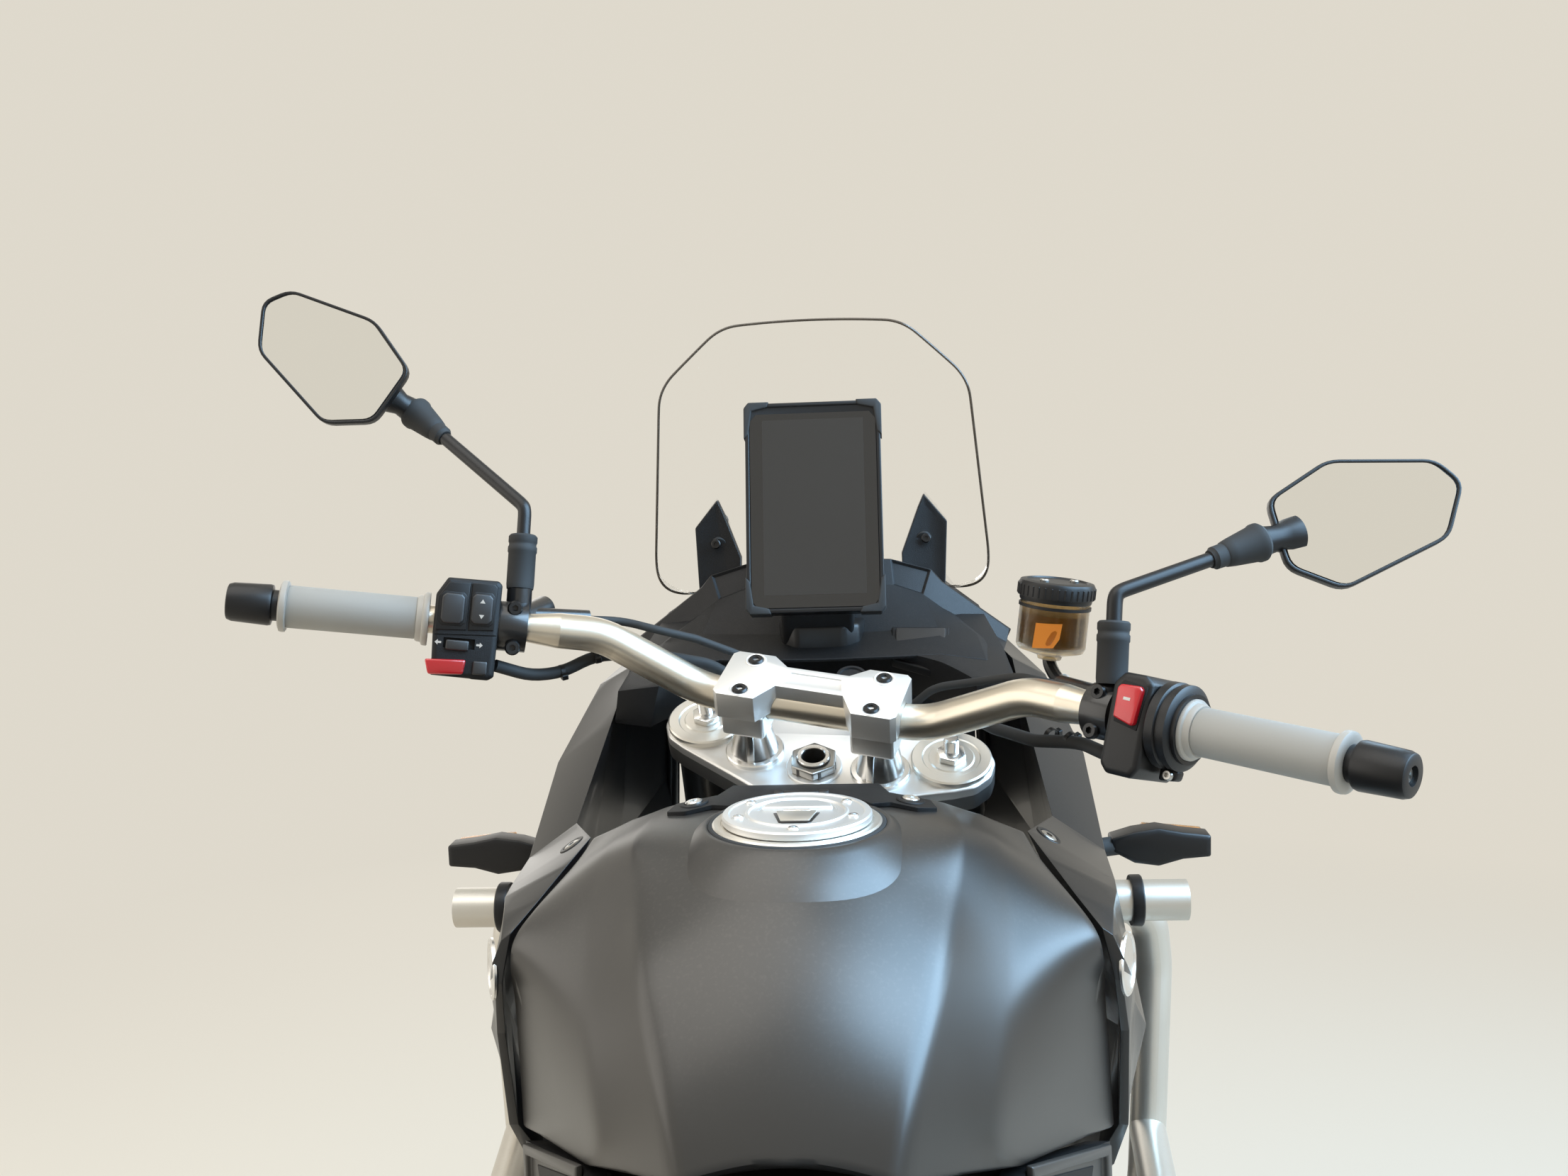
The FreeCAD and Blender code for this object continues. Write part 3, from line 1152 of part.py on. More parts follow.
def lid_knuckle(low, high, radius):
    """A stretch of the lid's hinge barrel."""
    return rod((low, LID_HINGE_Y, LID_HINGE_Z), (high, LID_HINGE_Y, LID_HINGE_Z), radius)


def filler_ring():
    """The metal ring round the filler, in its seat on the tank, with the outer hinge knuckles."""
    top = FILLER_SINK + 2
    ring = Part.makeCylinder(CAP_SEAT_R - 0.1, top, Vector(0, CAP_Y, CAP_Z - FILLER_SINK))
    ring = ring.cut(Part.makeCylinder(CAP_NECK_R, 40, Vector(0, CAP_Y, CAP_Z - 20)))
    ears = []
    for side in SIDES:
        near, far = sorted((side * 12.4, side * 19.0))
        foot = block((near, far), (LID_HINGE_Y - 2.5, LID_HINGE_Y + 2.5), (CAP_Z, LID_HINGE_Z))
        ears.append(fuse(lid_knuckle(near, far, 3.0), foot))
    room = Part.makeCylinder(CAP_R + LID_GAP, 40, Vector(0, CAP_Y, CAP_Z + 2))
    return fuse(ring, *[ear.cut(room) for ear in ears])


CAP_NECK_R = 30.0
LID_GAP = 0.4
LID_HINGE_Y = CAP_Y + CAP_R + 3.4
LID_HINGE_Z = CAP_Z + 2 + LID_GAP + 3.0


def filler_lid():
    """The hinged filler lid with its plug and its hinge knuckle."""
    base = CAP_Z + 2 + LID_GAP
    lid = Part.makeCylinder(CAP_R, CAP_THICK, Vector(0, CAP_Y, base))
    plug = Part.makeCylinder(CAP_NECK_R - 2.5, 10, Vector(0, CAP_Y, base - 10))
    tongue = block((-12, 12), (LID_HINGE_Y - 8, LID_HINGE_Y), (base + 1, base + 5))
    return fuse(lid, plug, tongue, lid_knuckle(-12, 12, 2.8))


@kept
def seat():
    """The stepped seat as one closed cushion."""
    return ruled_body(SEAT_ROWS).cut(frame())


# Side fairings, right half: y, then the section's corners from the upper inner edge round the outside
FAIRING_ROWS = [
    (150, [(200, 926), (207, 921), (214, 905), (213, 890), (208, 890), (206, 900)]),
    (178, [(186, 940), (212, 929), (225, 880), (222, 842), (216, 842), (214, 866)]),
    (208, [(172, 955), (219, 932), (231, 850), (226, 758), (219, 758), (220, 846)]),
    (237, [(160, 967), (222, 931), (244, 820), (220, 712), (206, 712), (224, 820)]),
    (307, [(186, 958), (226, 930), (247, 806), (206, 650), (190, 650), (218, 800)]),
    (420, [(178, 1012), (226, 980), (240, 860), (204, 690), (186, 690), (208, 850)]),
    (520, [(176, 1046), (206, 1030), (222, 900), (190, 760), (174, 760), (194, 880)]),
    (620, [(152, 1062), (172, 1056), (184, 930), (158, 840), (142, 840), (158, 920)]),
]


@kept
def fairings():
    """The two side fairings beside the tank and the forks."""
    sections = [[(x, y, z) for x, z in points] for y, points in FAIRING_ROWS]
    return both(loft(sections)).cut(dash()).cut(tank_cover())


# The screen's lower edge in the middle plane, and the dash and the nose that are built round it
SCREEN_FOOT_Y = 677.3
SCREEN_FOOT_Z = 1109.4
DASH_ROWS = [
    (430, [(0, 1042), (110, 1046), (172, 1040), (176, 1012), (120, 1004), (0, 1004)]),
    (520, [(0, 1066), (110, 1068), (168, 1056), (174, 1032), (120, 1020), (0, 1020)]),
    (SCREEN_FOOT_Y - 71.3, [(0, SCREEN_FOOT_Z - 17), (100, SCREEN_FOOT_Z - 15), (152, SCREEN_FOOT_Z - 25),
                            (160, SCREEN_FOOT_Z - 45), (110, 1036), (0, 1036)]),
    (SCREEN_FOOT_Y + 12.7, [(0, SCREEN_FOOT_Z + 3), (88, SCREEN_FOOT_Z + 3), (120, SCREEN_FOOT_Z - 7),
                            (126, SCREEN_FOOT_Z - 35), (96, 1050), (0, 1050)]),
]
NOSE_ROWS = [
    (SCREEN_FOOT_Y - 37.3, [(0, 1040), (108, 1040), (146, 1030), (150, 900), (120, 862), (0, 862)]),
    (SCREEN_FOOT_Y + 22.7, [(0, 1050), (96, 1050), (126, 1034), (132, 900), (104, 866), (0, 866)]),
    (SCREEN_FOOT_Y + 92.7, [(0, 1046), (74, 1044), (98, 1024), (104, 916), (84, 884), (0, 880)]),
    (SCREEN_FOOT_Y + 134.7, [(0, 1012), (50, 1010), (66, 998), (70, 936), (56, 918), (0, 914)]),
]
LAMP_BACK_Y = SCREEN_FOOT_Y + 52.7
LAMP_LOW, LAMP_HIGH = 912.0, 1006.0
LAMP_HALF_W = 84.0
FIT_GAP = 0.2


@kept
def dash():
    """The dashboard panel round the steering, under the display."""
    body = ruled_body(DASH_ROWS)
    return body.cut(steered(Part.makeCylinder(STEER_WELL_R + 6, 420, Vector(0, 0, -300)), 0)).cut(windscreen())


@kept
def nose_cowl():
    """The beak-shaped cowl with the pocket for the headlamp."""
    body = ruled_body(NOSE_ROWS)
    pocket = block((-LAMP_HALF_W, LAMP_HALF_W), (LAMP_BACK_Y, LAMP_BACK_Y + 170), (LAMP_LOW, LAMP_HIGH))
    return body.cut(pocket).cut(steered(Part.makeCylinder(STEER_WELL_R + 6, 420, Vector(0, 0, -300)), 0)).cut(dash())


@kept
def headlamp():
    """The headlamp unit in the nose's pocket."""
    back, low, high, half_w = LAMP_BACK_Y + FIT_GAP, LAMP_LOW + FIT_GAP, LAMP_HIGH - FIT_GAP, LAMP_HALF_W - FIT_GAP
    outline = [(back, low), (back, high), (back + 60, high), (back + 76, low + 48), (back + 70, low)]
    return slab(outline, "x", -half_w, half_w, 4)


@kept
def nose_frame():
    """The welded carrier from the head tube to the nose, the dash and the fairings."""
    parts = []
    for side in SIDES:
        parts.append(tube([(side * 60, SCREEN_FOOT_Y + 122.7, 905), (side * 100, SCREEN_FOOT_Y + 64.7, 870), (side * 168, 600, 848), (side * 186, 420, 800),
                           (side * 168, 200, 700), (side * 146, 130, 690)], 8, 50))
        parts.append(rod((side * 160, 616, 848), (side * 150, 610, 1050), 7))
    carrier = Part.makeCompound(parts).cut(frame()).cut(nose_cowl()).cut(fairings()).cut(dash()).cut(headlamp())
    return joined(carrier)


SCREEN_LEAN = 24.0
SCREEN_OUTLINE = [(-169, 0), (-143, 227), (-84, 276), (84, 276), (143, 227), (169, 0)]
SCREEN_SIN, SCREEN_COS = math.sin(math.radians(SCREEN_LEAN)), math.cos(math.radians(SCREEN_LEAN))
SCREEN_AHEAD = SCREEN_FOOT_Y * SCREEN_COS + SCREEN_FOOT_Z * SCREEN_SIN
SCREEN_RISE = SCREEN_FOOT_Z * SCREEN_COS - SCREEN_FOOT_Y * SCREEN_SIN
SCREEN_TILT = Rotation(X_AXIS, SCREEN_LEAN)


@kept
def windscreen():
    """The curved clear screen."""
    outline = [Vector(x, 0, SCREEN_RISE + s) for x, s in SCREEN_OUTLINE]
    face = Part.Face(path(outline, 46, closed=True))
    prism = moved(face, 0, SCREEN_AHEAD - 160).extrude(Y_AXIS * 200)
    middle = SCREEN_AHEAD - SCREEN_BEND_R
    shell = Part.makeCylinder(SCREEN_BEND_R, 400, Vector(0, middle, SCREEN_RISE - 58))
    shell = shell.cut(Part.makeCylinder(SCREEN_BEND_R - SCREEN_THICK, 400, Vector(0, middle, SCREEN_RISE - 58)))
    screen = prism.common(shell)
    screen.Placement = Placement(Vector(0, 0, 0), SCREEN_TILT).multiply(screen.Placement)
    return screen


DISPLAY_LOW = (475.0, 1098.0)
DISPLAY_HIGH = (528.0, 1286.0)
DISPLAY_HALF_W = 62.5
DISPLAY_THICK = 20.0


def display():
    """The upright instrument display with its stem down to the dash."""
    (y0, z0), (y1, z1) = DISPLAY_LOW, DISPLAY_HIGH
    reach = math.hypot(y1 - y0, z1 - z0)
    tilt = math.degrees(math.atan2(y0 - y1, z1 - z0))
    face = slab([(-DISPLAY_HALF_W, 0), (DISPLAY_HALF_W, 0), (DISPLAY_HALF_W, reach), (-DISPLAY_HALF_W, reach)], "y", 0,
                DISPLAY_THICK, 12)
    face.rotate(Vector(0, 0, 0), X_AXIS, tilt)
    face.translate(Vector(0, y0, z0))
    stem = slab([(492, 1120), (520, 1190), (556, 1190), (562, 1060), (512, 1060)], "x", -34, 34, 6)
    return fuse(face, stem).cut(dash())


def screen_brackets():
    """The two arms from the dash to the screen, joined by a cross bar behind the display."""
    parts = []
    for side in SIDES:
        y, z = SCREEN_FOOT_Y, SCREEN_FOOT_Z
        arm = slab([(y - 117, z - 49), (y - 73, z - 49), (y - 37, z + 41), (y - 41, z + 91), (y - 65, z + 91),
                    (y - 81, z + 31)], "x", side * 96 - 7, side * 96 + 7, 8)
        pad = rod((side * 96, y - 57, z + 71), (side * 104, y + 23, z + 103), 7)
        parts.append(fuse(arm, pad))
    cross = rod((-96, SCREEN_FOOT_Y - 71, SCREEN_FOOT_Z + 37), (96, SCREEN_FOOT_Y - 71, SCREEN_FOOT_Z + 37), 7)
    return fuse(*parts, cross).cut(dash()).cut(windscreen()).cut(screen_front())


@kept
def screen_front():
    """Everything ahead of the screen's rear face, used to end the screen's arms at it."""
    middle = SCREEN_AHEAD - SCREEN_BEND_R
    far = block((-400, 400), (0, 1500), (500, 1400))
    far = far.cut(Part.makeCylinder(SCREEN_BEND_R - SCREEN_THICK, 1000, Vector(0, middle, 450)))
    far = far.common(block((-400, 400), (middle, 1500), (500, 1400)))
    far.Placement = Placement(Vector(0, 0, 0), SCREEN_TILT).multiply(far.Placement)
    return far


CRASH_OUT_X = 291.0
CRASH_Y = 321.0
CRASH_Z = 885.0
CRASH_UPPER = [(168, 436, 838), (284, 452, 838), (291, 460, 780), (279, 437, 591), (236, 350, 420), (150, 240, 330),
               (122, 236, 316)]
CRASH_LOWER = [(281, 440, 634), (268, 260, 616), (150, 30, 600)]


def crash_bars():
    """The silver crash bars on both sides, clamped to the engine and the frame, with a stub end through each fairing."""
    inside = 176.0
    parts = [tube(CRASH_UPPER, CRASH_TUBE_R, 60), tube(CRASH_LOWER, CRASH_TUBE_R, 60),
             rod((inside, CRASH_Y, CRASH_Z), (CRASH_OUT_X, CRASH_Y, CRASH_Z), CRASH_TUBE_R),
             rod((inside, CRASH_Y, CRASH_Z), (inside, CRASH_UPPER[0][1], CRASH_UPPER[0][2]), CRASH_TUBE_R)]
    keep = both(fuse(*parts)).cut(frame()).cut(engine()).cut(radiator())
    return keep.cut(fairings()).cut(nose_frame())


def indicators():
    """The front and rear indicators on their stalks."""
    made = []
    for side in SIDES:
        stalk = rod((side * 214, 440, 890), (side * 290, 458, 884), 9)
        lamp = slab([(448, 866), (448, 902), (500, 902), (512, 892), (512, 874), (500, 866)], "x",
                    min(side * 284, side * 354), max(side * 284, side * 354), 4)
        made.append(fuse(stalk, lamp).cut(fairings()))
        rear_stalk = rod((side * 84, -930, 800), (side * 150, -936, 798), 8)
        rear_lamp = slab([(-958, 780), (-958, 812), (-910, 816), (-900, 798), (-910, 780)], "x",
                         min(side * 146, side * 200), max(side * 146, side * 200), 4)
        made.append(fuse(rear_stalk, rear_lamp).cut(tail_panels()).cut(plate_carrier()))
    return Part.makeCompound(made)


TAIL_ROWS = [
    (196, [(194, 752), (211, 752), (207, 694), (195, 694)]),
    (79, [(126, 797), (141, 796), (158, 700), (146, 700)]),
    (20, [(112, 801), (127, 799), (151, 704), (139, 704)]),
    (-110, [(112, 802), (129, 801), (149, 696), (136, 696)]),
    (-210, [(128, 800), (150, 800), (146, 700), (134, 700)]),
    (-400, [(164, 822), (176, 818), (160, 730), (140, 730)]),
    (-600, [(150, 850), (166, 846), (150, 770), (126, 770)]),
    (-760, [(124, 876), (140, 872), (130, 806), (112, 800)]),
    (-900, [(86, 892), (100, 888), (92, 836), (76, 830)]),
]


@kept
def tail_panels():
    """The side panels under the seat and the tail piece between them."""
    right = loft([[(x, y, z) for x, z in points] for y, points in TAIL_ROWS])
    tail = slab([(-740, 852), (-740, 863.7), (-900, 886), (-936, 876), (-940, 838), (-900, 826), (-800, 836)], "x", -80, 80, 5)
    return fuse(tail, right, mirrored(right)).cut(frame()).cut(seat()).cut(tank_cover())


def tail_lamp():
    """The rear lamp on the tail's end."""
    return slab([(-930, 842), (-930, 874), (-954, 868), (-956, 846)], "x", -60, 60, 4).cut(tail_panels())


@kept
def plate_carrier():
    """The carrier for the number plate with a blank plate."""
    arm = slab([(-880, 836), (-930, 838), (-1000, 640), (-992, 610), (-984, 640)], "x", -40, 40)
    cross = slab([(-940, 784), (-912, 784), (-906, 816), (-936, 816)], "x", -90, 90)
    plate = slab([(-1004, 610), (-1000, 610), (-960, 770), (-964, 770)], "x", -90, 90)
    return fuse(arm, cross, plate).cut(tail_panels())


def rear_rack():
    """The luggage rack over the tail, with its plate and grab rails."""
    plate = slab([(-96, -700), (-96, -900), (-70, -936), (70, -936), (96, -900), (96, -700)], "z", 934, 942, 14)
    for x in (-38, 38):
        plate = plate.cut(slab([(x - 26, -730), (x + 26, -730), (x + 26, -800), (x - 26, -800)], "z", 930, 950, 10))
    for x in SIDES:
        for y in (RACK_HOLE_Y, RACK_HOLE_Y - RACK_HOLE_DY):
            plate = plate.cut(Part.makeCylinder(RACK_HOLE_R, 30, Vector(x * RACK_HOLE_DX / 2, y, 920)))
    legs = [rod((side * 60, y, z), (side * 60, y, 936), 9) for side in SIDES for y, z in ((-760, 860), (-880, 880))]
    rails = [tube([(side * 90, -880, 938), (side * 150, -820, 930), (side * 168, -640, 900), (side * 150, -560, 870),
                   (side * 112, -540, 812)], 10, 50) for side in SIDES]
    return joined(fuse(plate, *legs, *rails).cut(tail_panels()).cut(seat()).cut(frame()))


RACK_HOLE_Y = -830.0
RACK_HOLE_DX = 120.0
RACK_HOLE_DY = 70.0
RACK_HOLE_R = 4.2


def rear_mudguard():
    """The inner mudguard under the seat."""
    clear = 42.0
    inner, outer = REAR_TYRE_R + clear, REAR_TYRE_R + clear + 4
    ring = Part.makeCylinder(outer, 190, Vector(-95, REAR_AXLE_Y, REAR_AXLE_Z), X_AXIS)
    ring = ring.cut(Part.makeCylinder(inner, 190, Vector(-95, REAR_AXLE_Y, REAR_AXLE_Z), X_AXIS))
    keep = block((-100, 100), (-860, -400), (560, 900))
    arch = ring.common(keep)
    tabs = [block((side * 96 - 6, side * 96 + 6), (-706, -674), (outer + REAR_AXLE_Z - 12, 842)) for side in SIDES]
    return fuse(arch, *tabs).cut(frame()).cut(tail_panels()).cut(rear_shock())


NODES = {
    "front_wheel": front_wheel, "front_tyre": front_tyre, "rear_wheel": rear_wheel, "rear_tyre": rear_tyre,
    "top_clamp": top_clamp, "bottom_clamp": bottom_clamp, "fork_tubes": fork_tubes, "fork_caps": fork_caps,
    "fork_legs": fork_legs, "front_axle": front_axle, "fork_guards": fork_guards, "front_mudguard": front_mudguard,
    "brake_calipers": brake_calipers, "handlebar": handlebar, "bar_clamp": bar_clamp, "grips": grips,
    "bar_ends": bar_ends, "switch_left": switch_left, "switch_right": switch_right, "perches": perches, "cables": cables,
    "levers": levers, "reservoir": reservoir, "mirror_left": mirror_left, "mirror_right": mirror_right,
    "frame": frame, "engine": engine, "airbox": airbox, "chain": chain, "radiator": radiator, "exhaust": exhaust,
    "silencer": silencer, "skid_plate": skid_plate, "swingarm": swingarm, "rear_caliper": rear_caliper,
    "rear_shock": rear_shock, "footrests": footrests, "centre_stand": centre_stand, "stand_pins": stand_pins,
    "side_stand": side_stand, "tank_cover": tank_cover, "filler_ring": filler_ring, "filler_lid": filler_lid,
    "seat": seat, "fairings": fairings, "dash": dash, "nose_cowl": nose_cowl, "headlamp": headlamp,
    "nose_frame": nose_frame, "windscreen": windscreen, "display": display, "screen_brackets": screen_brackets,
    "crash_bars": crash_bars, "indicators": indicators, "tail_panels": tail_panels, "tail_lamp": tail_lamp,
    "plate_carrier": plate_carrier, "rear_rack": rear_rack, "rear_mudguard": rear_mudguard,
}


def main():
    """Builds every sub-part and writes one STEP file each."""
    os.makedirs("parts", exist_ok=True)
    for name, build in NODES.items():
        shape = build()
        print(name, "valid" if shape.isValid() else "INVALID", len(shape.Solids), round(shape.Volume / 1e3, 1))
        shape.exportStep(f"parts/{name}.step")


main()
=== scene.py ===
"""An adventure motorcycle on its centre stand, seen from above and behind its seat."""

from __future__ import annotations

import logging
import math
from collections.abc import Callable, Iterator, Sequence
from contextlib import contextmanager
from dataclasses import dataclass
from enum import Enum

import bpy
from mathutils import Matrix, Vector

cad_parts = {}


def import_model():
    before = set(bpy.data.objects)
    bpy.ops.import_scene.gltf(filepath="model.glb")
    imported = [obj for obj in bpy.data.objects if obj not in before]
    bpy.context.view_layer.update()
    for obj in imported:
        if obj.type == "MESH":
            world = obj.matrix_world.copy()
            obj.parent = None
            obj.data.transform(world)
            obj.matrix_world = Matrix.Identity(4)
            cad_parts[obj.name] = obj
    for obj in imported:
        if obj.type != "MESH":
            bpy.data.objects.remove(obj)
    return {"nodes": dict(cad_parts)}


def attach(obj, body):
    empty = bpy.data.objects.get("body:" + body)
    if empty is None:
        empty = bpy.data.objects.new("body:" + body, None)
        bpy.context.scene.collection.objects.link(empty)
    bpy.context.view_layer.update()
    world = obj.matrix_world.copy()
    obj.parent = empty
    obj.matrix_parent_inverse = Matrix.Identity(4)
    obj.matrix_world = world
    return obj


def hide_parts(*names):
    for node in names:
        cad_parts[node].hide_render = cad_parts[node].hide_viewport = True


LOG = logging.getLogger("motorcycle")
SIDES = (-1.0, 1.0)
MM = 0.001
Colour = tuple[float, float, float]
Point = tuple[float, float, float]
Flat = tuple[float, float]
Test = Callable[[Vector, Vector], bool]


class Texture(Enum):
    """The fine relief that a finish carries."""

    PEEL = "orange peel"
    MOULDED = "moulded grain"
    CAST = "cast skin"
    BRUSHED = "brushed lines"
    TURNED = "turned rings"
    KNURLED = "diamond knurling"
    RIBBED = "fine ribs"
    TREAD = "tyre blocks"
    LEATHER = "seat grain"


def link_group_io(group: bpy.types.NodeTree, given: dict[str, str], put_out: dict[str, str]) -> None:
    """Give a node group its sockets.

    Args:
        group: The group.
        given: The inputs' names and socket types.
        put_out: The outputs' names and socket types.
    """
    for name, kind in given.items():
        group.interface.new_socket(name, in_out="INPUT", socket_type=kind)
    for name, kind in put_out.items():
        group.interface.new_socket(name, in_out="OUTPUT", socket_type=kind)


class Graph:
    """A short way to write node trees."""

    def __init__(self, tree: bpy.types.NodeTree) -> None:
        """Keep the tree that the nodes go into."""
        self.tree = tree

    def put(self, kind: str, values: dict[str | int, object] | None = None,
            **settings: object) -> bpy.types.Node:
        """Add a node, set its properties, and set or link its inputs.

        Args:
            kind: The node's type, without the leading ShaderNode.
            values: Input values or output sockets by input name or number.
            **settings: The node's own properties.

        Returns:
            The node.
        """
        node = self.tree.nodes.new("ShaderNode" + kind)
        for key, value in settings.items():
            setattr(node, key, value)
        for key, value in (values or {}).items():
            if isinstance(value, bpy.types.NodeSocket):
                self.tree.links.new(value, node.inputs[key])
            else:
                node.inputs[key].default_value = value
        return node

    def math(self, operation: str, *values: object) -> bpy.types.NodeSocket:
        """Add a Math node and give its output."""
        return self.put("Math", dict(enumerate(values)), operation=operation).outputs[0]

    def span(self, value: object, low: float, high: float, to_low: float = 0.0,
             to_high: float = 1.0) -> bpy.types.NodeSocket:
        """Add a Map Range node and give its output."""
        given = {"Value": value, "From Min": low, "From Max": high, "To Min": to_low, "To Max": to_high}
        return self.put("MapRange", given).outputs["Result"]

    def mix(self, factor: object, one: object, other: object) -> bpy.types.NodeSocket:
        """Mix two colours and give the output."""
        return self.put("Mix", {"Factor": factor, 6: one, 7: other}, data_type="RGBA").outputs[2]


def relief_height(graph: Graph, texture: Texture, scale: object) -> bpy.types.NodeSocket:
    """Add the nodes that make a texture's fine height.

    Args:
        graph: Where the nodes go.
        texture: The kind of relief.
        scale: Its scale, a number or a socket.

    Returns:
        The height.
    """
    place = graph.put("TexCoord")
    if texture in (Texture.KNURLED, Texture.RIBBED):
        split = graph.put("SeparateXYZ", {0: place.outputs["UV"]})
        across, along = split.outputs["X"], split.outputs["Y"]
        one = graph.math("MULTIPLY", graph.math("ADD", across, along), scale)
        other = graph.math("MULTIPLY", graph.math("SUBTRACT", across, along), scale)
        if texture is Texture.RIBBED:
            return graph.math("PINGPONG", graph.math("MULTIPLY", across, scale), 0.5)
        return graph.math("MINIMUM", graph.math("PINGPONG", one, 0.5), graph.math("PINGPONG", other, 0.5))
    if texture is Texture.BRUSHED:
        drawn = graph.put("Mapping", {"Vector": place.outputs["Object"], "Scale": (0.03, 1.0, 1.0)})
        return graph.put("TexNoise", {"Vector": drawn.outputs[0], "Scale": scale, "Detail": 3.0}).outputs[0]
    if texture is Texture.TURNED:
        split = graph.put("SeparateXYZ", {0: place.outputs["UV"]})
        return graph.put("TexNoise", {"W": split.outputs["Y"], "Scale": scale, "Detail": 3.0},
                         noise_dimensions="1D").outputs[0]
    if texture in (Texture.MOULDED, Texture.LEATHER):
        cells = graph.put("TexVoronoi", {"Vector": place.outputs["Object"], "Scale": scale}, feature="F1")
        return cells.outputs["Distance"]
    detail = 5.0 if texture is Texture.CAST else 2.0
    return graph.put("TexNoise",
                     {"Vector": place.outputs["Object"], "Scale": scale, "Detail": detail}).outputs[0]


def surface_group(texture: Texture) -> bpy.types.NodeTree:
    """Build the node group that gives a finish its colour variation, dust and relief, and painted shade in the
    valleys of knurling.

    Args:
        texture: The kind of fine relief.

    Returns:
        The node group, made once for each kind.
    """
    name = "surface_" + texture.name.lower()
    found = bpy.data.node_groups.get(name)
    if found:
        return found
    group = bpy.data.node_groups.new(name, "ShaderNodeTree")
    number = "NodeSocketFloat"
    link_group_io(group, {"Colour": "NodeSocketColor", **{title: number for title in (
        "Roughness", "Scale", "Relief", "Vary", "Dust")}},
        {"Colour": "NodeSocketColor", "Roughness": number, "Normal": "NodeSocketVector"})
    graph = Graph(group)
    entry, leave = group.nodes.new("NodeGroupInput").outputs, group.nodes.new("NodeGroupOutput").inputs
    place = graph.put("TexCoord").outputs["Object"]
    height = relief_height(graph, texture, entry["Scale"])
    broad = graph.put("TexNoise", {"Vector": place, "Scale": 9.0, "Detail": 5.0}).outputs[0]
    even = graph.math("SUBTRACT", broad, 0.5)
    spread = graph.math("MULTIPLY_ADD", even, entry["Vary"], 1.0)
    tone = graph.put("HueSaturation", {"Color": entry["Colour"], "Value": spread}).outputs[0]
    facing = graph.put("SeparateXYZ", {0: graph.put("NewGeometry").outputs["Normal"]}).outputs["Z"]
    lying = graph.span(facing, 0.35, 1.0)
    specks = graph.put("TexNoise", {"Vector": place, "Scale": 420.0, "Detail": 3.0}).outputs[0]
    settled = graph.math("MULTIPLY", lying, graph.span(specks, 0.52, 0.72))
    amount = graph.math("MULTIPLY", settled, entry["Dust"])
    # On knurling the valleys take a darker copy of the colour: painted shade in the knurl's valleys.
    if texture is Texture.KNURLED:
        valley_shade = graph.put("HueSaturation", {"Color": tone, "Value": 0.62}).outputs[0]
        tone = graph.mix(graph.span(height, 0.02, 0.2), valley_shade, tone)
    dusted = graph.mix(amount, tone, (0.40, 0.37, 0.32, 1.0))
    group.links.new(dusted, leave["Colour"])
    rough = graph.math("MULTIPLY_ADD", amount, 0.4, graph.math("MULTIPLY", entry["Roughness"], spread))
    group.links.new(rough, leave["Roughness"])
    bump = graph.put("Bump", {"Strength": entry["Relief"], "Distance": 0.0005, "Height": height})
    group.links.new(bump.outputs["Normal"], leave["Normal"])
    return group


@dataclass(frozen=True)
class Finish:
    """One surface finish: its colour, its gloss and the relief and dust it carries."""

    name: str
    slot: str
    colour: Colour
    roughness: float
    metallic: float = 0.0
    coat: float = 0.0
    texture: Texture = Texture.PEEL
    scale: float = 900.0
    relief: float = 0.03
    vary: float = 0.25
    dust: float = 0.1
    shine: float = 0.5

    def material(self) -> bpy.types.Material:
        """Build the material once and hand it out again after that.

        Returns:
            The material of this finish.
        """
        found = bpy.data.materials.get(self.name)
        if found:
            return found
        made = bpy.data.materials.new(self.name)
        made.use_nodes = True
        graph = Graph(made.node_tree)
        shader = made.node_tree.nodes["Principled BSDF"]
        shader.inputs["Metallic"].default_value = self.metallic
        shader.inputs["Coat Weight"].default_value = self.coat
        shader.inputs["Coat Roughness"].default_value = 0.06
        shader.inputs["Specular IOR Level"].default_value = self.shine
        skin = made.node_tree.nodes.new("ShaderNodeGroup")
        skin.node_tree = surface_group(self.texture)
        skin.inputs["Colour"].default_value = (*self.colour, 1.0)
        for title, value in (("Roughness", self.roughness), ("Scale", self.scale), ("Relief", self.relief),
                             ("Vary", self.vary), ("Dust", self.dust)):
            skin.inputs[title].default_value = value
        for title, socket in (("Colour", "Base Color"), ("Roughness", "Roughness"), ("Normal", "Normal")):
            made.node_tree.links.new(skin.outputs[title], shader.inputs[socket])
        self.dress(graph, shader)
        return made

    def dress(self, graph: Graph, shader: bpy.types.Node) -> None:
        """Add what only a special finish has; a plain one adds nothing."""


@dataclass(frozen=True)
class Clear(Finish):
    """A clear or tinted plastic or glass that light passes through."""

    passing: float = 1.0
    alpha: float = 1.0
    bending: float = 1.3

    def dress(self, graph: Graph, shader: bpy.types.Node) -> None:
        """Let light through.

        Args:
            graph: The material's nodes.
            shader: The shader.
        """
        shader.inputs["Transmission Weight"].default_value = self.passing
        shader.inputs["Alpha"].default_value = self.alpha
        shader.inputs["IOR"].default_value = self.bending


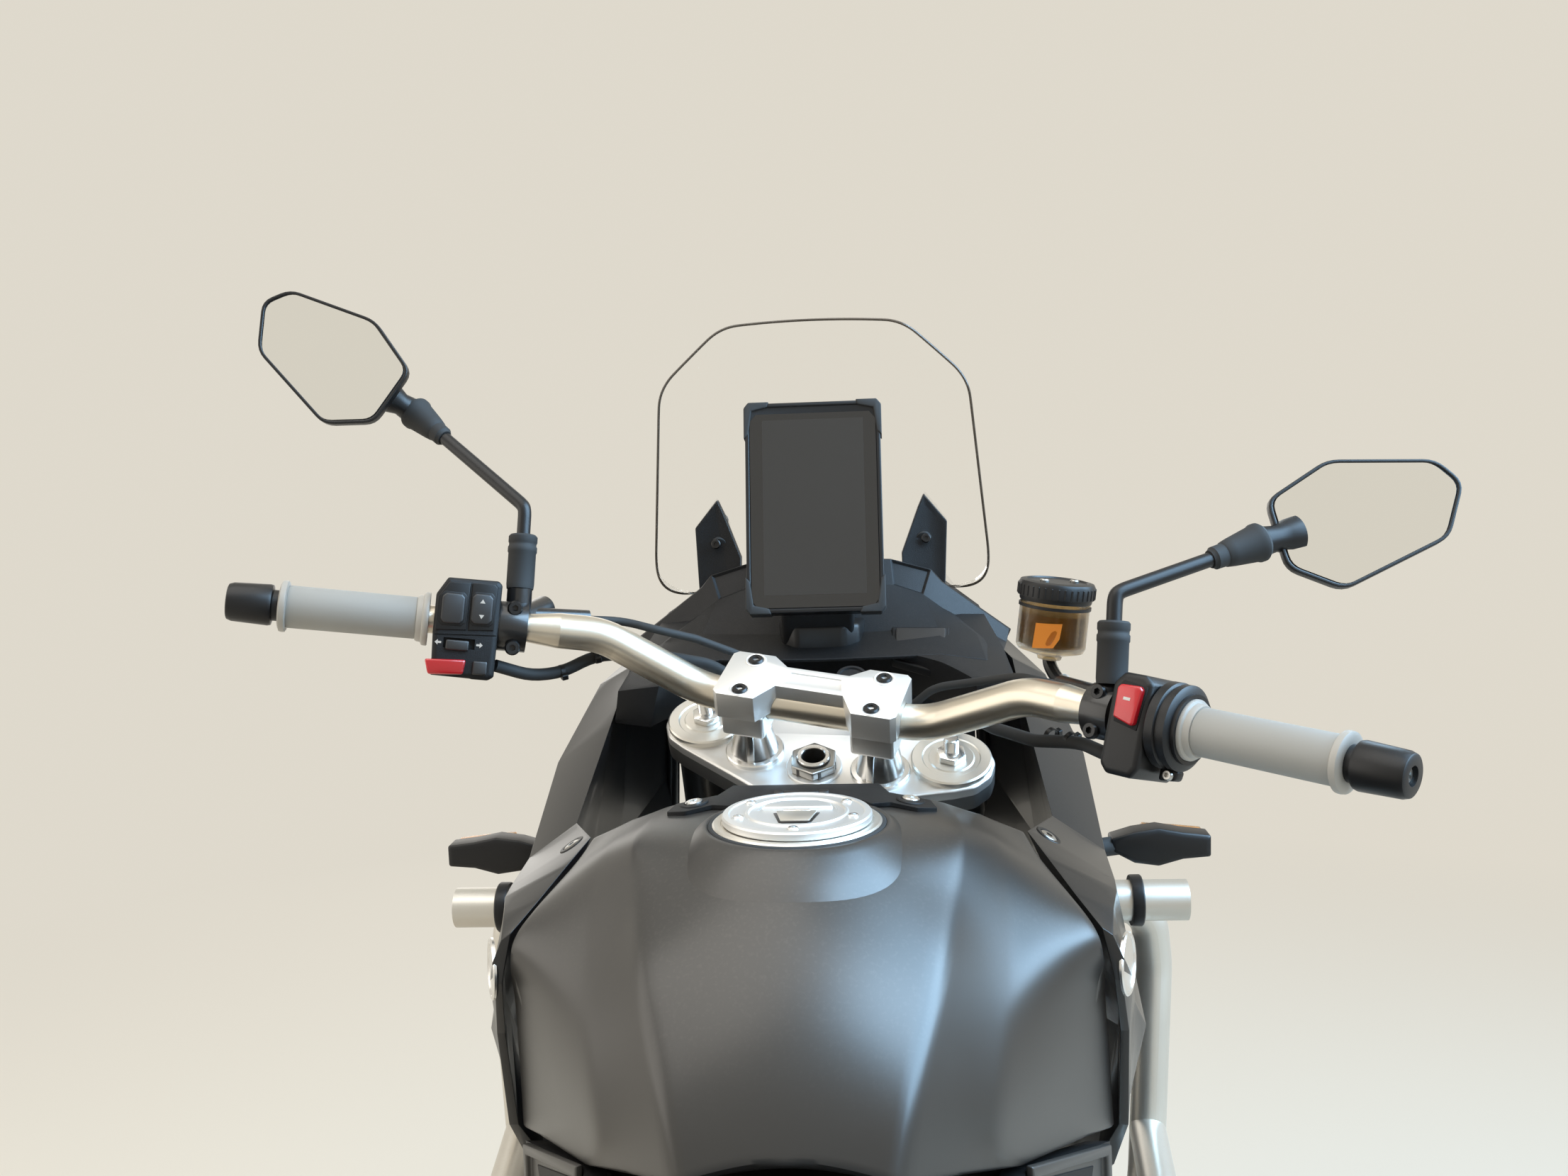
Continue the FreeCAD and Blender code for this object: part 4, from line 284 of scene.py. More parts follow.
@dataclass(frozen=True)
class ScreenFinish(Clear):
    """The windscreen: clear across its faces and darker along its cut edge."""

    lean: float = 24.0
    bend: float = 0.31

    def dress(self, graph: Graph, shader: bpy.types.Node) -> None:
        """Darken the surfaces that don't face along the screen's thickness.

        Args:
            graph: The material's nodes.
            shader: The shader.
        """
        super().dress(graph, shader)
        lean = math.radians(self.lean)
        place = graph.put("SeparateXYZ", {0: graph.put("TexCoord").outputs["Object"]})
        across = graph.math("DIVIDE", place.outputs["X"], self.bend)
        through = graph.put("CombineXYZ", {0: across, 1: 0.92 * math.cos(lean), 2: 0.92 * math.sin(lean)})
        facing = graph.put("VectorMath", {0: graph.put("NewGeometry").outputs["Normal"], 1: through.outputs[0]},
                           operation="DOT_PRODUCT").outputs["Value"]
        edge = graph.span(graph.math("ABSOLUTE", facing), 0.75, 0.45)
        links = graph.tree.links
        links.new(graph.mix(edge, (*self.colour, 1.0), (0.10, 0.085, 0.07, 1.0)), shader.inputs["Base Color"])
        links.new(graph.span(edge, 0.0, 1.0, self.alpha, 0.75), shader.inputs["Alpha"])


@dataclass(frozen=True)
class Layered(Finish):
    """A finish with another colour on the far side of a plane through the piece."""

    other: Colour = (0.1, 0.1, 0.1)
    other_rough: float = 0.5
    point: Point = (0.0, 0.0, 0.0)
    normal: Point = (0.0, 0.0, 1.0)

    def dress(self, graph: Graph, shader: bpy.types.Node) -> None:
        """Change the colour and the gloss below the plane.

        Args:
            graph: The material's nodes.
            shader: The shader.
        """
        place = graph.put("TexCoord").outputs["Object"]
        moved = graph.put("VectorMath", {0: place, 1: self.point}, operation="SUBTRACT").outputs[0]
        high = graph.put("VectorMath", {0: moved, 1: self.normal}, operation="DOT_PRODUCT").outputs["Value"]
        below = graph.span(high, 0.0002, -0.0002)
        skin = next(n for n in graph.tree.nodes if n.bl_idname == "ShaderNodeGroup")
        links = graph.tree.links
        links.new(graph.mix(below, skin.outputs["Colour"], (*self.other, 1.0)), shader.inputs["Base Color"])
        links.new(graph.span(below, 0.0, 1.0, self.roughness, self.other_rough), shader.inputs["Roughness"])


@dataclass(frozen=True)
class Wheel(Finish):
    """A finish that changes with the distance from an axle: the hub and rim differ from what lies between."""

    centre: Point = (0.0, 0.0, 0.0)
    axle: Point = (1.0, 0.0, 0.0)
    rings: tuple[tuple[float, Colour], ...] = ()

    def dress(self, graph: Graph, shader: bpy.types.Node) -> None:
        """Colour each ring.

        Args:
            graph: The material's nodes.
            shader: The shader.
        """
        skin = next(n for n in graph.tree.nodes if n.bl_idname == "ShaderNodeGroup")
        place = graph.put("TexCoord").outputs["Object"]
        shifted = graph.put("VectorMath", {0: place, 1: self.centre}, operation="SUBTRACT").outputs[0]
        across = graph.put("VectorMath", {0: shifted, 1: self.axle}, operation="CROSS_PRODUCT").outputs[0]
        away = graph.put("VectorMath", {0: across}, operation="LENGTH").outputs["Value"]
        colour = skin.outputs["Colour"]
        for start, tone in self.rings:
            colour = graph.mix(graph.span(away, start - 0.0005, start + 0.0005), colour, (*tone, 1.0))
        graph.tree.links.new(colour, shader.inputs["Base Color"])


@dataclass(frozen=True)
class Tread(Finish):
    """A tyre whose tread blocks are in its relief, with painted shade in its grooves."""

    centre: Point = (0.0, 0.0, 0.0)
    axes: tuple[Point, Point, Point] = ((1.0, 0.0, 0.0), (0.0, 1.0, 0.0), (0.0, 0.0, 1.0))
    crown: float = 0.3
    blocks: int = 44
    half_width: float = 0.05

    def dress(self, graph: Graph, shader: bpy.types.Node) -> None:
        """Cut the grooves between the blocks and paint shade into them.

        Args:
            graph: The material's nodes.
            shader: The shader.
        """
        skin = next(n for n in graph.tree.nodes if n.bl_idname == "ShaderNodeGroup")
        place = graph.put("TexCoord").outputs["Object"]
        shifted = graph.put("VectorMath", {0: place, 1: self.centre}, operation="SUBTRACT").outputs[0]
        along, ahead, above = (graph.put("VectorMath", {0: shifted, 1: axis},
                                         operation="DOT_PRODUCT").outputs["Value"]
                               for axis in self.axes)
        turn = graph.math("ARCTAN2", above, ahead)
        away = graph.math("SQRT",
                          graph.math("MULTIPLY_ADD", ahead, ahead, graph.math("MULTIPLY", above, above)))
        side = graph.math("ABSOLUTE", along)
        steps = graph.math("MULTIPLY", turn, self.blocks / (2 * math.pi))
        swept = graph.math("ADD", steps, graph.math("MULTIPLY", side, 14.0))
        cross = graph.math("ABSOLUTE", graph.math("SUBTRACT", graph.math("FRACT", swept), 0.5))
        cross_groove = graph.math("GREATER_THAN", cross, 0.38)
        rows = graph.math("FRACT", graph.math("DIVIDE", side, self.half_width * 0.42))
        long_groove = graph.math("LESS_THAN", rows, 0.18)
        groove = graph.math("MAXIMUM", cross_groove, long_groove)
        tread = graph.span(away, self.crown - 0.034, self.crown - 0.030)
        cut = graph.math("MULTIPLY", groove, tread)
        bump = graph.put("Bump",
                         {"Strength": 1.0, "Distance": 0.004, "Height": graph.math("SUBTRACT", 1.0, cut),
                                  "Normal": skin.outputs["Normal"]})
        links = graph.tree.links
        links.new(bump.outputs["Normal"], shader.inputs["Normal"])
        # The grooves take a darker colour than the rubber: painted shade in the grooves.
        links.new(graph.mix(cut, skin.outputs["Colour"], (0.004, 0.004, 0.004, 1.0)),
                  shader.inputs["Base Color"])


SATIN_PAINT = Finish("satin_paint", "tank_paint", (0.072, 0.070, 0.068), 0.34, metallic=0.45, relief=0.05,
                     scale=2600.0, dust=0.05)
GLOSS_PAINT = Finish("gloss_paint", "gloss_plastic", (0.026, 0.026, 0.027), 0.3, coat=0.12, relief=0.02,
                     dust=0.02, shine=0.35)
MATT_PLASTIC = Finish("matt_plastic", "matte_plastic", (0.008, 0.008, 0.009), 0.52, texture=Texture.MOULDED,
                      scale=1500.0, relief=0.22, dust=0.02, shine=0.28)
SMOOTH_PLASTIC = Finish("smooth_plastic", "matte_plastic", (0.009, 0.009, 0.010), 0.4, relief=0.05, dust=0.02,
                        shine=0.35)
BUTTON_PLASTIC = Finish("button_plastic", "matte_plastic", (0.030, 0.030, 0.032), 0.42, relief=0.05, dust=0.0)
MARK_WHITE = Finish("mark_white", "matte_plastic", (0.75, 0.75, 0.73), 0.5, dust=0.0)
RED_PLASTIC = Finish("red_plastic", "gloss_plastic", (0.62, 0.012, 0.022), 0.22, coat=0.5, relief=0.02,
                     dust=0.0)
BLACK_PAINT = Finish("black_paint", "black_metal", (0.012, 0.012, 0.013), 0.32, coat=0.3, relief=0.05)
RUBBER = Finish("rubber", "rubber", (0.014, 0.014, 0.015), 0.6, texture=Texture.CAST, scale=700.0, relief=0.25)
GRIP_RUBBER = Finish("grip_rubber", "grip_rubber", (0.43, 0.415, 0.385), 0.62, texture=Texture.KNURLED,
                     scale=0.36, relief=1.0, dust=0.0)
GRIP_SMOOTH = Finish("grip_smooth", "grip_rubber", (0.50, 0.485, 0.45), 0.5, relief=0.04, dust=0.0)
CHAMPAGNE = Finish("champagne_bar", "alloy", (0.66, 0.60, 0.50), 0.30, metallic=0.92, relief=0.06, scale=1800.0,
                   dust=0.0)
MACHINED = Finish("machined_alloy", "alloy", (0.78, 0.77, 0.75), 0.44, metallic=0.88, texture=Texture.CAST,
                  scale=1400.0, relief=0.05, vary=0.08, dust=0.0)
TURNED_ALLOY = Finish("turned_alloy", "alloy", (0.76, 0.73, 0.67), 0.36, metallic=0.9, texture=Texture.TURNED,
                      scale=1.4, relief=0.25, vary=0.08, dust=0.0)
CHROME = Finish("chrome", "steel", (0.78, 0.77, 0.75), 0.24, metallic=0.95, relief=0.0, vary=0.05, dust=0.0)
BOLT_STEEL = Finish("bolt_steel", "steel", (0.42, 0.41, 0.39), 0.28, metallic=1.0, relief=0.03, dust=0.0)
DARK_STEEL = Finish("dark_steel", "steel", (0.035, 0.035, 0.036), 0.35, metallic=0.8, relief=0.05, dust=0.0)
STEEL = Finish("bright_steel", "steel", (0.55, 0.54, 0.52), 0.26, metallic=1.0, texture=Texture.BRUSHED,
               relief=0.08)
ENGINE_GREY = Finish("engine_grey", "engine_metal", (0.050, 0.050, 0.052), 0.42, metallic=0.6,
                     texture=Texture.CAST, scale=500.0, relief=0.35)
ENGINE_COVER = Finish("engine_cover", "engine_metal", (0.085, 0.082, 0.078), 0.38, metallic=0.7,
                      texture=Texture.CAST, scale=800.0, relief=0.2)
SILVER_TUBE = Finish("silver_tube", "steel", (0.66, 0.63, 0.57), 0.38, metallic=0.75, relief=0.06)
SEAT_COVER = Finish("seat_cover", "seat_cover", (0.016, 0.016, 0.017), 0.58, texture=Texture.LEATHER,
                    scale=900.0, relief=0.45)
SEAT_PIPING = Finish("seat_piping", "seat_cover", (0.03, 0.03, 0.031), 0.45, relief=0.05)
DISPLAY_GLASS = Finish("display_glass", "matte_plastic", (0.016, 0.017, 0.019), 0.16, coat=0.6, relief=0.0,
                       dust=0.0)
DISPLAY_FIELD = Finish("display_field", "matte_plastic", (0.030, 0.032, 0.035), 0.2, coat=0.5, relief=0.0,
                       dust=0.0)
MIRROR_GLASS = Finish("mirror_glass", "steel", (0.90, 0.90, 0.88), 0.03, metallic=1.0, relief=0.0, vary=0.0,
                      dust=0.0)
WINDSCREEN = ScreenFinish("windscreen_clear", "clear", (0.97, 0.97, 0.95), 0.02, relief=0.0, vary=0.0, dust=0.0,
                          alpha=0.13, bending=1.2, shine=0.1)
AMBER_JAR = Clear("amber_jar", "amber_plastic", (0.34, 0.22, 0.07), 0.12, relief=0.0, dust=0.0, alpha=0.62,
                  bending=1.3)
# A bright orange for a patch on the jar: painted light shining through the fluid.
PAINTED_FLUID_LIGHT = Finish("painted_fluid_light", "amber_plastic", (0.75, 0.24, 0.02), 0.3, relief=0.0, dust=0.0)
LENS_AMBER = Clear("lens_amber", "lamp_lens", (0.85, 0.30, 0.04), 0.1, relief=0.0, alpha=0.8)
LENS_RED = Clear("lens_red", "lamp_lens", (0.65, 0.02, 0.02), 0.1, relief=0.0, alpha=0.85)
LENS_CLEAR = Clear("lens_clear", "lamp_lens", (0.93, 0.94, 0.95), 0.04, relief=0.0, alpha=0.35)
RADIATOR_CORE = Finish("radiator_core", "engine_metal", (0.03, 0.03, 0.032), 0.5, metallic=0.5,
                       texture=Texture.BRUSHED, scale=900.0, relief=0.9)

WORLD = Matrix.Identity(4)
HEAD_Y = 748.0 + 108.0 - 985.0 * math.tan(math.radians(26.5))
HEAD = Matrix.Translation((0.0, HEAD_Y, 985.0)) @ Matrix.Rotation(math.radians(26.5), 4, "X")
PARKED = HEAD @ Matrix.Rotation(math.radians(-15.5), 4, "Z")
FRONT_CENTRE: Point = (0.015547, 0.746106, 0.346056)
REAR_CENTRE: Point = (0.0, -0.752, 0.352)
FRONT_AXES = tuple(tuple(axis) for axis in PARKED.to_3x3().transposed())

NODE_FINISHES: dict[str, Finish] = {
    "front_wheel": Wheel("front_wheel_finish", "alloy", (0.62, 0.60, 0.57), 0.3, metallic=0.9,
                         centre=FRONT_CENTRE,
                         axle=FRONT_AXES[0], rings=((0.036, (0.012, 0.012, 0.013)), (0.066, (0.60, 0.59, 0.57)),
                                                    (0.158, (0.55, 0.54, 0.52)),
                                (0.236, (0.012, 0.012, 0.013)))),
    "rear_wheel": Wheel("rear_wheel_finish", "alloy", (0.62, 0.60, 0.57), 0.3, metallic=0.9, centre=REAR_CENTRE,
                        rings=((0.036, (0.012, 0.012, 0.013)), (0.070, (0.60, 0.59, 0.57)),
                               (0.125, (0.55, 0.54, 0.52)),
                               (0.199, (0.012, 0.012, 0.013)))),
    "front_tyre": Tread("front_tyre_finish", "tyre", (0.013, 0.013, 0.013), 0.8, texture=Texture.CAST,
                        scale=600.0,
                        relief=0.3, dust=0.3, centre=FRONT_CENTRE, axes=FRONT_AXES, crown=0.347,
                        half_width=0.046),
    "rear_tyre": Tread("rear_tyre_finish", "tyre", (0.013, 0.013, 0.013), 0.8, texture=Texture.CAST,
                       scale=600.0,
                       relief=0.3, dust=0.3, centre=REAR_CENTRE, crown=0.334, blocks=40, half_width=0.074),
    "bottom_clamp": ENGINE_COVER, "fork_tubes": BLACK_PAINT, "fork_legs": BLACK_PAINT, "front_axle": STEEL,
    "fork_guards": MATT_PLASTIC, "front_mudguard": MATT_PLASTIC, "brake_calipers": ENGINE_COVER,
    "handlebar": CHAMPAGNE, "levers": BLACK_PAINT, "cables": RUBBER, "frame": BLACK_PAINT,
    "engine": ENGINE_GREY,
    "airbox": MATT_PLASTIC, "chain": STEEL, "radiator": RADIATOR_CORE, "exhaust": STEEL, "silencer": STEEL,
    "skid_plate": MACHINED, "swingarm": BLACK_PAINT, "rear_caliper": BLACK_PAINT, "rear_shock": BLACK_PAINT,
    "footrests": BLACK_PAINT, "centre_stand": BLACK_PAINT, "stand_pins": DARK_STEEL, "side_stand": BLACK_PAINT,
    "tank_cover": SATIN_PAINT, "filler_ring": MACHINED, "filler_lid": MACHINED, "seat": SEAT_COVER,
    "fairings": GLOSS_PAINT, "dash": MATT_PLASTIC, "nose_cowl": GLOSS_PAINT, "headlamp": DISPLAY_GLASS,
    "nose_frame": BLACK_PAINT, "windscreen": WINDSCREEN, "display": MATT_PLASTIC,
    "screen_brackets": MATT_PLASTIC,
    "crash_bars": SILVER_TUBE, "indicators": MATT_PLASTIC, "tail_panels": MATT_PLASTIC, "tail_lamp": LENS_RED,
    "plate_carrier": MATT_PLASTIC, "rear_rack": BLACK_PAINT, "rear_mudguard": MATT_PLASTIC,
    "top_clamp": MACHINED, "fork_caps": MACHINED, "bar_clamp": MACHINED, "grips": GRIP_SMOOTH,
    "bar_ends": SMOOTH_PLASTIC, "switch_left": MATT_PLASTIC, "switch_right": MATT_PLASTIC,
    "perches": BLACK_PAINT,
    "reservoir": SMOOTH_PLASTIC, "mirror_left": SMOOTH_PLASTIC, "mirror_right": SMOOTH_PLASTIC,
}


def deselect() -> None:
    """Leave edit mode and let go of everything that is selected."""
    if bpy.context.mode != "OBJECT":
        bpy.ops.object.mode_set(mode="OBJECT")
    bpy.ops.object.select_all(action="DESELECT")


class Piece:
    """A piece on the bench, in millimetres, until it is fitted to the motorcycle."""

    def __init__(self, name: str) -> None:
        """Take over the object that was just added, with its place moved into its mesh."""
        self.obj: bpy.types.Object = bpy.context.object
        self.obj.name = name
        bpy.ops.object.transform_apply(location=True, rotation=True, scale=True)

    @classmethod
    def cylinder(cls, name: str, radius: float, low: float, high: float, centre: Flat = (0.0, 0.0),
                 sides: int = 32) -> Piece:
        """Add an upright cylinder.

        Args:
            name: The piece's name.
            radius: Its radius.
            low: The height of its foot.
            high: The height of its top.
            centre: Where it stands.
            sides: How many sides it has.

        Returns:
            The piece.
        """
        deselect()
        bpy.ops.mesh.primitive_cylinder_add(vertices=sides, radius=radius, depth=high - low,
                                            location=(*centre, (low + high) / 2))
        return cls(name)

    @classmethod
    def box(cls, name: str, low: Point, high: Point) -> Piece:
        """Add a box between two corners."""
        deselect()
        middle = [(a + b) / 2 for a, b in zip(low, high)]
        bpy.ops.mesh.primitive_cube_add(size=1.0, location=middle, scale=[b - a for a, b in zip(low, high)])
        return cls(name)

    @classmethod
    def plate(cls, name: str, outline: Sequence[Flat], low: float, high: float) -> Piece:
        """Extrude a flat outline.

        Args:
            name: The piece's name.
            outline: The corners, in order.
            low: The height of the lower face.
            high: The height of the upper face.

        Returns:
            The piece.
        """
        deselect()
        bpy.ops.mesh.primitive_circle_add(vertices=len(outline), radius=1.0, fill_type="NGON")
        made = cls(name)
        for vertex, (x, y) in zip(made.obj.data.vertices, outline):
            vertex.co = (x, y, low)
        with made.editing():
            bpy.ops.mesh.extrude_region_move(TRANSFORM_OT_translate={"value": (0.0, 0.0, high - low)})
            bpy.ops.mesh.select_all(action="SELECT")
            bpy.ops.mesh.normals_make_consistent(inside=False)
        return made

    @classmethod
    def sheet(cls, name: str, rows: Sequence[Sequence[Point]], thick: float) -> Piece:
        """Make a bent sheet from rows of points.

        Args:
            name: The piece's name.
            rows: The net's rows, all with as many points.
            thick: The sheet's thickness, under the net where it is negative.

        Returns:
            The piece.
        """
        deselect()
        bpy.ops.mesh.primitive_grid_add(x_subdivisions=len(rows[0]) - 1, y_subdivisions=len(rows) - 1)
        made = cls(name)
        for vertex, spot in zip(made.obj.data.vertices, (spot for row in rows for spot in row), strict=True):
            vertex.co = spot
        skin = made.obj.modifiers.new("thickness", "SOLIDIFY")
        skin.thickness = abs(thick)
        skin.offset = math.copysign(1.0, thick)
        made.apply(skin)
        return made

    @classmethod
    def turned(cls, name: str, profile: Sequence[Flat], sides: int = 48, ring: bool = False) -> Piece:
        """Spin a profile of (radius, height) points about the upright axis.

        Args:
            name: The piece's name.
            profile: The profile from foot to top, or all round when it is a ring's.
            sides: How many steps the spin has.
            ring: Whether the profile closes on itself away from the axis.

        Returns:
            The piece, with its length round and its height as UV.
        """
        deselect()
        bpy.ops.mesh.primitive_circle_add(vertices=len(profile), radius=1.0, fill_type="NOTHING")
        made = cls(name)
        mesh = made.obj.data
        for vertex, (radius, height) in zip(mesh.vertices, profile):
            vertex.co = (radius, 0.0, height)
        if not ring:
            last = {0, len(profile) - 1}
            for edge in mesh.edges:
                edge.select = set(edge.vertices) == last
            for vertex in mesh.vertices:
                vertex.select = False
            bpy.ops.object.mode_set(mode="EDIT")
            bpy.ops.mesh.select_mode(type="EDGE")
            bpy.ops.mesh.delete(type="EDGE")
            bpy.ops.mesh.select_mode(type="VERT")
            bpy.ops.object.mode_set(mode="OBJECT")
        with made.editing():
            bpy.ops.mesh.spin(steps=sides, angle=2 * math.pi, center=(0, 0, 0), axis=(0, 0, 1))
            bpy.ops.mesh.select_all(action="SELECT")
            bpy.ops.mesh.remove_doubles(threshold=0.002)
            bpy.ops.mesh.delete_loose()
            bpy.ops.mesh.select_all(action="SELECT")
            bpy.ops.mesh.normals_make_consistent(inside=False)
        widest = max(radius for radius, _ in profile)
        layer = mesh.uv_layers.new(name="wrap")
        for face in mesh.polygons:
            turns = [math.atan2(mesh.vertices[v].co.y, mesh.vertices[v].co.x) for v in face.vertices]
            if max(turns) - min(turns) > math.pi:
                turns = [turn + 2 * math.pi if turn < 0 else turn for turn in turns]
            for loop, vertex, turn in zip(face.loop_indices, face.vertices, turns):
                layer.data[loop].uv = (turn * widest,
                                       mesh.vertices[vertex].co.z + mesh.vertices[vertex].co.xy.length)
        return made

    @classmethod
    def pipe(cls, name: str, points: Sequence[Point], radius: float, sides: int = 3) -> Piece:
        """Lead a round pipe smoothly along some points.

        Args:
            name: The piece's name.
            points: The control points of its line.
            radius: Its radius.
            sides: The fineness of its roundness.

        Returns:
            The piece.
        """
        deselect()
        bpy.ops.curve.primitive_nurbs_path_add()
        curve = bpy.context.object.data
        curve.splines.clear()
        run = curve.splines.new("NURBS")
        run.points.add(len(points) - 1)
        for knot, place in zip(run.points, points):
            knot.co = (*place, 1.0)
        run.order_u = 3
        run.use_endpoint_u = True
        run.resolution_u = 8
        curve.bevel_depth = radius
        curve.bevel_resolution = sides
        curve.use_fill_caps = True
        bpy.ops.object.convert(target="MESH")
        return cls(name)

    @classmethod
    def softened(cls, name: str, node: bpy.types.Object, width: float, angle: float = 20.0,
                 segments: int = 3) -> Piece:
        """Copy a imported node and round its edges.

        Args:
            name: The piece's name.
            node: The node's object.
            width: The width of the rounding.
            angle: The least angle between faces whose edge is rounded.
            segments: The number of steps across the rounding.

        Returns:
            The piece, on the bench in millimetres.
        """
        deselect()
        copy = node.copy()
        copy.data = node.data.copy()
        for key in [k for k in copy.keys() if k.startswith("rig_")]:
            del copy[key]
        bpy.context.collection.objects.link(copy)
        copy.data.transform(Matrix.Scale(1 / MM, 4))
        copy.data.materials.clear()
        bpy.context.view_layer.objects.active = copy
        copy.select_set(True)
        made = cls(name)
        with made.editing():
            bpy.ops.mesh.remove_doubles(threshold=0.01)
            bpy.ops.mesh.dissolve_limited(angle_limit=math.radians(0.8))
        return made.bevel(width, segments, angle)

    @contextmanager
    def editing(self) -> Iterator[None]:
        """Work on everything in edit mode, and come back to object mode."""
        deselect()
        bpy.context.view_layer.objects.active = self.obj
        self.obj.select_set(True)
        bpy.ops.object.mode_set(mode="EDIT")
        bpy.ops.mesh.select_all(action="SELECT")
        yield
        bpy.ops.object.mode_set(mode="OBJECT")

    @contextmanager
    def faces(self, test: Test) -> Iterator[None]:
        """Work in edit mode on the faces whose middle and normal pass a test."""
        deselect()
        mesh = self.obj.data
        for item in (*mesh.vertices, *mesh.edges):
            item.select = False
        for face in mesh.polygons:
            face.select = test(face.center, face.normal)
        bpy.context.view_layer.objects.active = self.obj
        self.obj.select_set(True)
        bpy.ops.object.mode_set(mode="EDIT")
        bpy.ops.mesh.select_mode(type="FACE")
        yield
        bpy.ops.mesh.select_mode(type="VERT")
        bpy.ops.object.mode_set(mode="OBJECT")

    def inset(self, test: Test, width: float, depth: float) -> Piece:
        """Inset some faces and sink or raise them."""
        with self.faces(test):
            bpy.ops.mesh.inset(thickness=width, depth=depth)
        return self

    def apply(self, modifier: bpy.types.Modifier) -> Piece:
        """Apply a modifier of this piece."""
        deselect()
        bpy.context.view_layer.objects.active = self.obj
        self.obj.select_set(True)
        bpy.ops.object.modifier_apply(modifier=modifier.name)
        return self

    def bevel(self, width: float, segments: int = 2, angle: float = 30.0) -> Piece:
        """Round the edges that are sharper than an angle."""
        rounding = self.obj.modifiers.new("rounding", "BEVEL")
        rounding.width = width
        rounding.segments = segments
        rounding.limit_method = "ANGLE"
        rounding.angle_limit = math.radians(angle)
        return self.apply(rounding)

    def subdivide(self, levels: int) -> Piece:
        """Make the surface smooth by subdivision."""
        smooth = self.obj.modifiers.new("smooth", "SUBSURF")
        smooth.levels = smooth.render_levels = levels
        return self.apply(smooth)

    def cut(self, *tools: Piece) -> Piece:
        """Cut other pieces out of this one and clear them away."""
        for tool in tools:
            cutter = self.obj.modifiers.new("cut", "BOOLEAN")
            cutter.operation = "DIFFERENCE"
            cutter.object = tool.obj
            self.apply(cutter)
            bpy.data.objects.remove(tool.obj)
        return self

    def join(self, *others: Piece) -> Piece:
        """Make one piece of this and some others."""
        deselect()
        for other in others:
            other.obj.select_set(True)
        self.obj.select_set(True)
        bpy.context.view_layer.objects.active = self.obj
        bpy.ops.object.join()
        return self

    def copy(self, name: str) -> Piece:
        """Copy the piece with a mesh of its own."""
        twin = self.obj.copy()
        twin.data = self.obj.data.copy()
        bpy.context.collection.objects.link(twin)
        deselect()
        bpy.context.view_layer.objects.active = twin
        twin.select_set(True)
        return Piece(name)

    def place(self, matrix: Matrix) -> Piece:
        """Move the piece's mesh on the bench, right side out."""
        self.obj.data.transform(matrix)
        if matrix.determinant() < 0:
            self.obj.data.flip_normals()
        return self

    def fit(self, matrix: Matrix, body: str, finish: Finish, replaces: Sequence[str] = (),
            angle: float = 35.0) -> Piece:
        """Fit the finished piece to the motorcycle.

        Args:
            matrix: Its place, from the bench to the frame, in millimetres.
            body: The body it moves with.
            finish: Its finish.
            replaces: The nodes that it stands for.
            angle: The angle under which neighbouring faces look smooth.

        Returns:
            The piece.
        """
        self.place(Matrix.Scale(MM, 4) @ matrix)
        deselect()
        bpy.context.view_layer.objects.active = self.obj
        self.obj.select_set(True)
        bpy.ops.object.shade_smooth_by_angle(angle=math.radians(angle))
        self.obj.data.materials.clear()
        self.obj.data.materials.append(finish.material())
        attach(self.obj, body)
        if replaces:
            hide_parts(*replaces)
        LOG.info("%s: %d faces, %s", self.obj.name, len(self.obj.data.polygons), finish.name)
        return self


def frame_of(origin: Point, side: Point, upward: Point, outward: Point) -> Matrix:
    """A place whose axes are the three given directions.

    Args:
        origin: Where the place is.
        side: Its first axis.
        upward: Its second axis.
        outward: Its third axis.

    Returns:
        The matrix from that place to its surroundings.
    """
    matrix = Matrix((Vector(side), Vector(upward), Vector(outward))).transposed().to_4x4()
    matrix.translation = Vector(origin)
    return matrix


def standing(origin: Point, axis: Point) -> Matrix:
    """A place whose third axis points along a direction."""
    matrix = Vector(axis).normalized().to_track_quat("Z", "Y").to_matrix().to_4x4()
    matrix.translation = Vector(origin)
    return matrix


@dataclass(frozen=True)
class BarLine:
    """One grip's line on the bar, counted from the bar's outer bend."""

    side: float

    def point(self, distance: float) -> Point:
        """A point on the line."""
        return (self.side * (173.0 + 0.8647 * distance), -6.0 - 0.4268 * distance, 110.0 + 0.2649 * distance)

    def facing(self, distance: float = 0.0) -> Matrix:
        """A place with its axes outwards along the grip, up, and towards the rider."""
        return PARKED @ frame_of(self.point(distance), (self.side * 0.8647, -0.4268, 0.2649),
                                 (self.side * 0.056, 0.6059, 0.7936), (self.side * -0.4992, -0.6714, 0.5478))

    def along(self, distance: float = 0.0) -> Matrix:
        """A place with its third axis outwards along the grip, for turned pieces."""
        return PARKED @ frame_of(self.point(distance), (self.side * 0.056, 0.6059, 0.7936),
                                 (self.side * -0.4992, -0.6714, 0.5478), (self.side * 0.8647, -0.4268, 0.2649))


def bolt(name: str, radius: float, height: float, socket: float = 0.5) -> Piece:
    """Model a cap screw that stands on the bench, with its hexagon socket.

    Args:
        name: The piece's name.
        radius: The head's radius.
        height: The head's height.
        socket: The socket's width against the head's.

    Returns:
        The screw's head.
    """
    head = Piece.turned(name,
                        [(0, 0), (radius, 0), (radius, height * 0.7), (radius * 0.82, height), (0, height)], 24)
    hole = Piece.cylinder(name + "_hole", radius * socket, height * 0.35, height + 1.0, sides=6)
    return head.cut(hole)


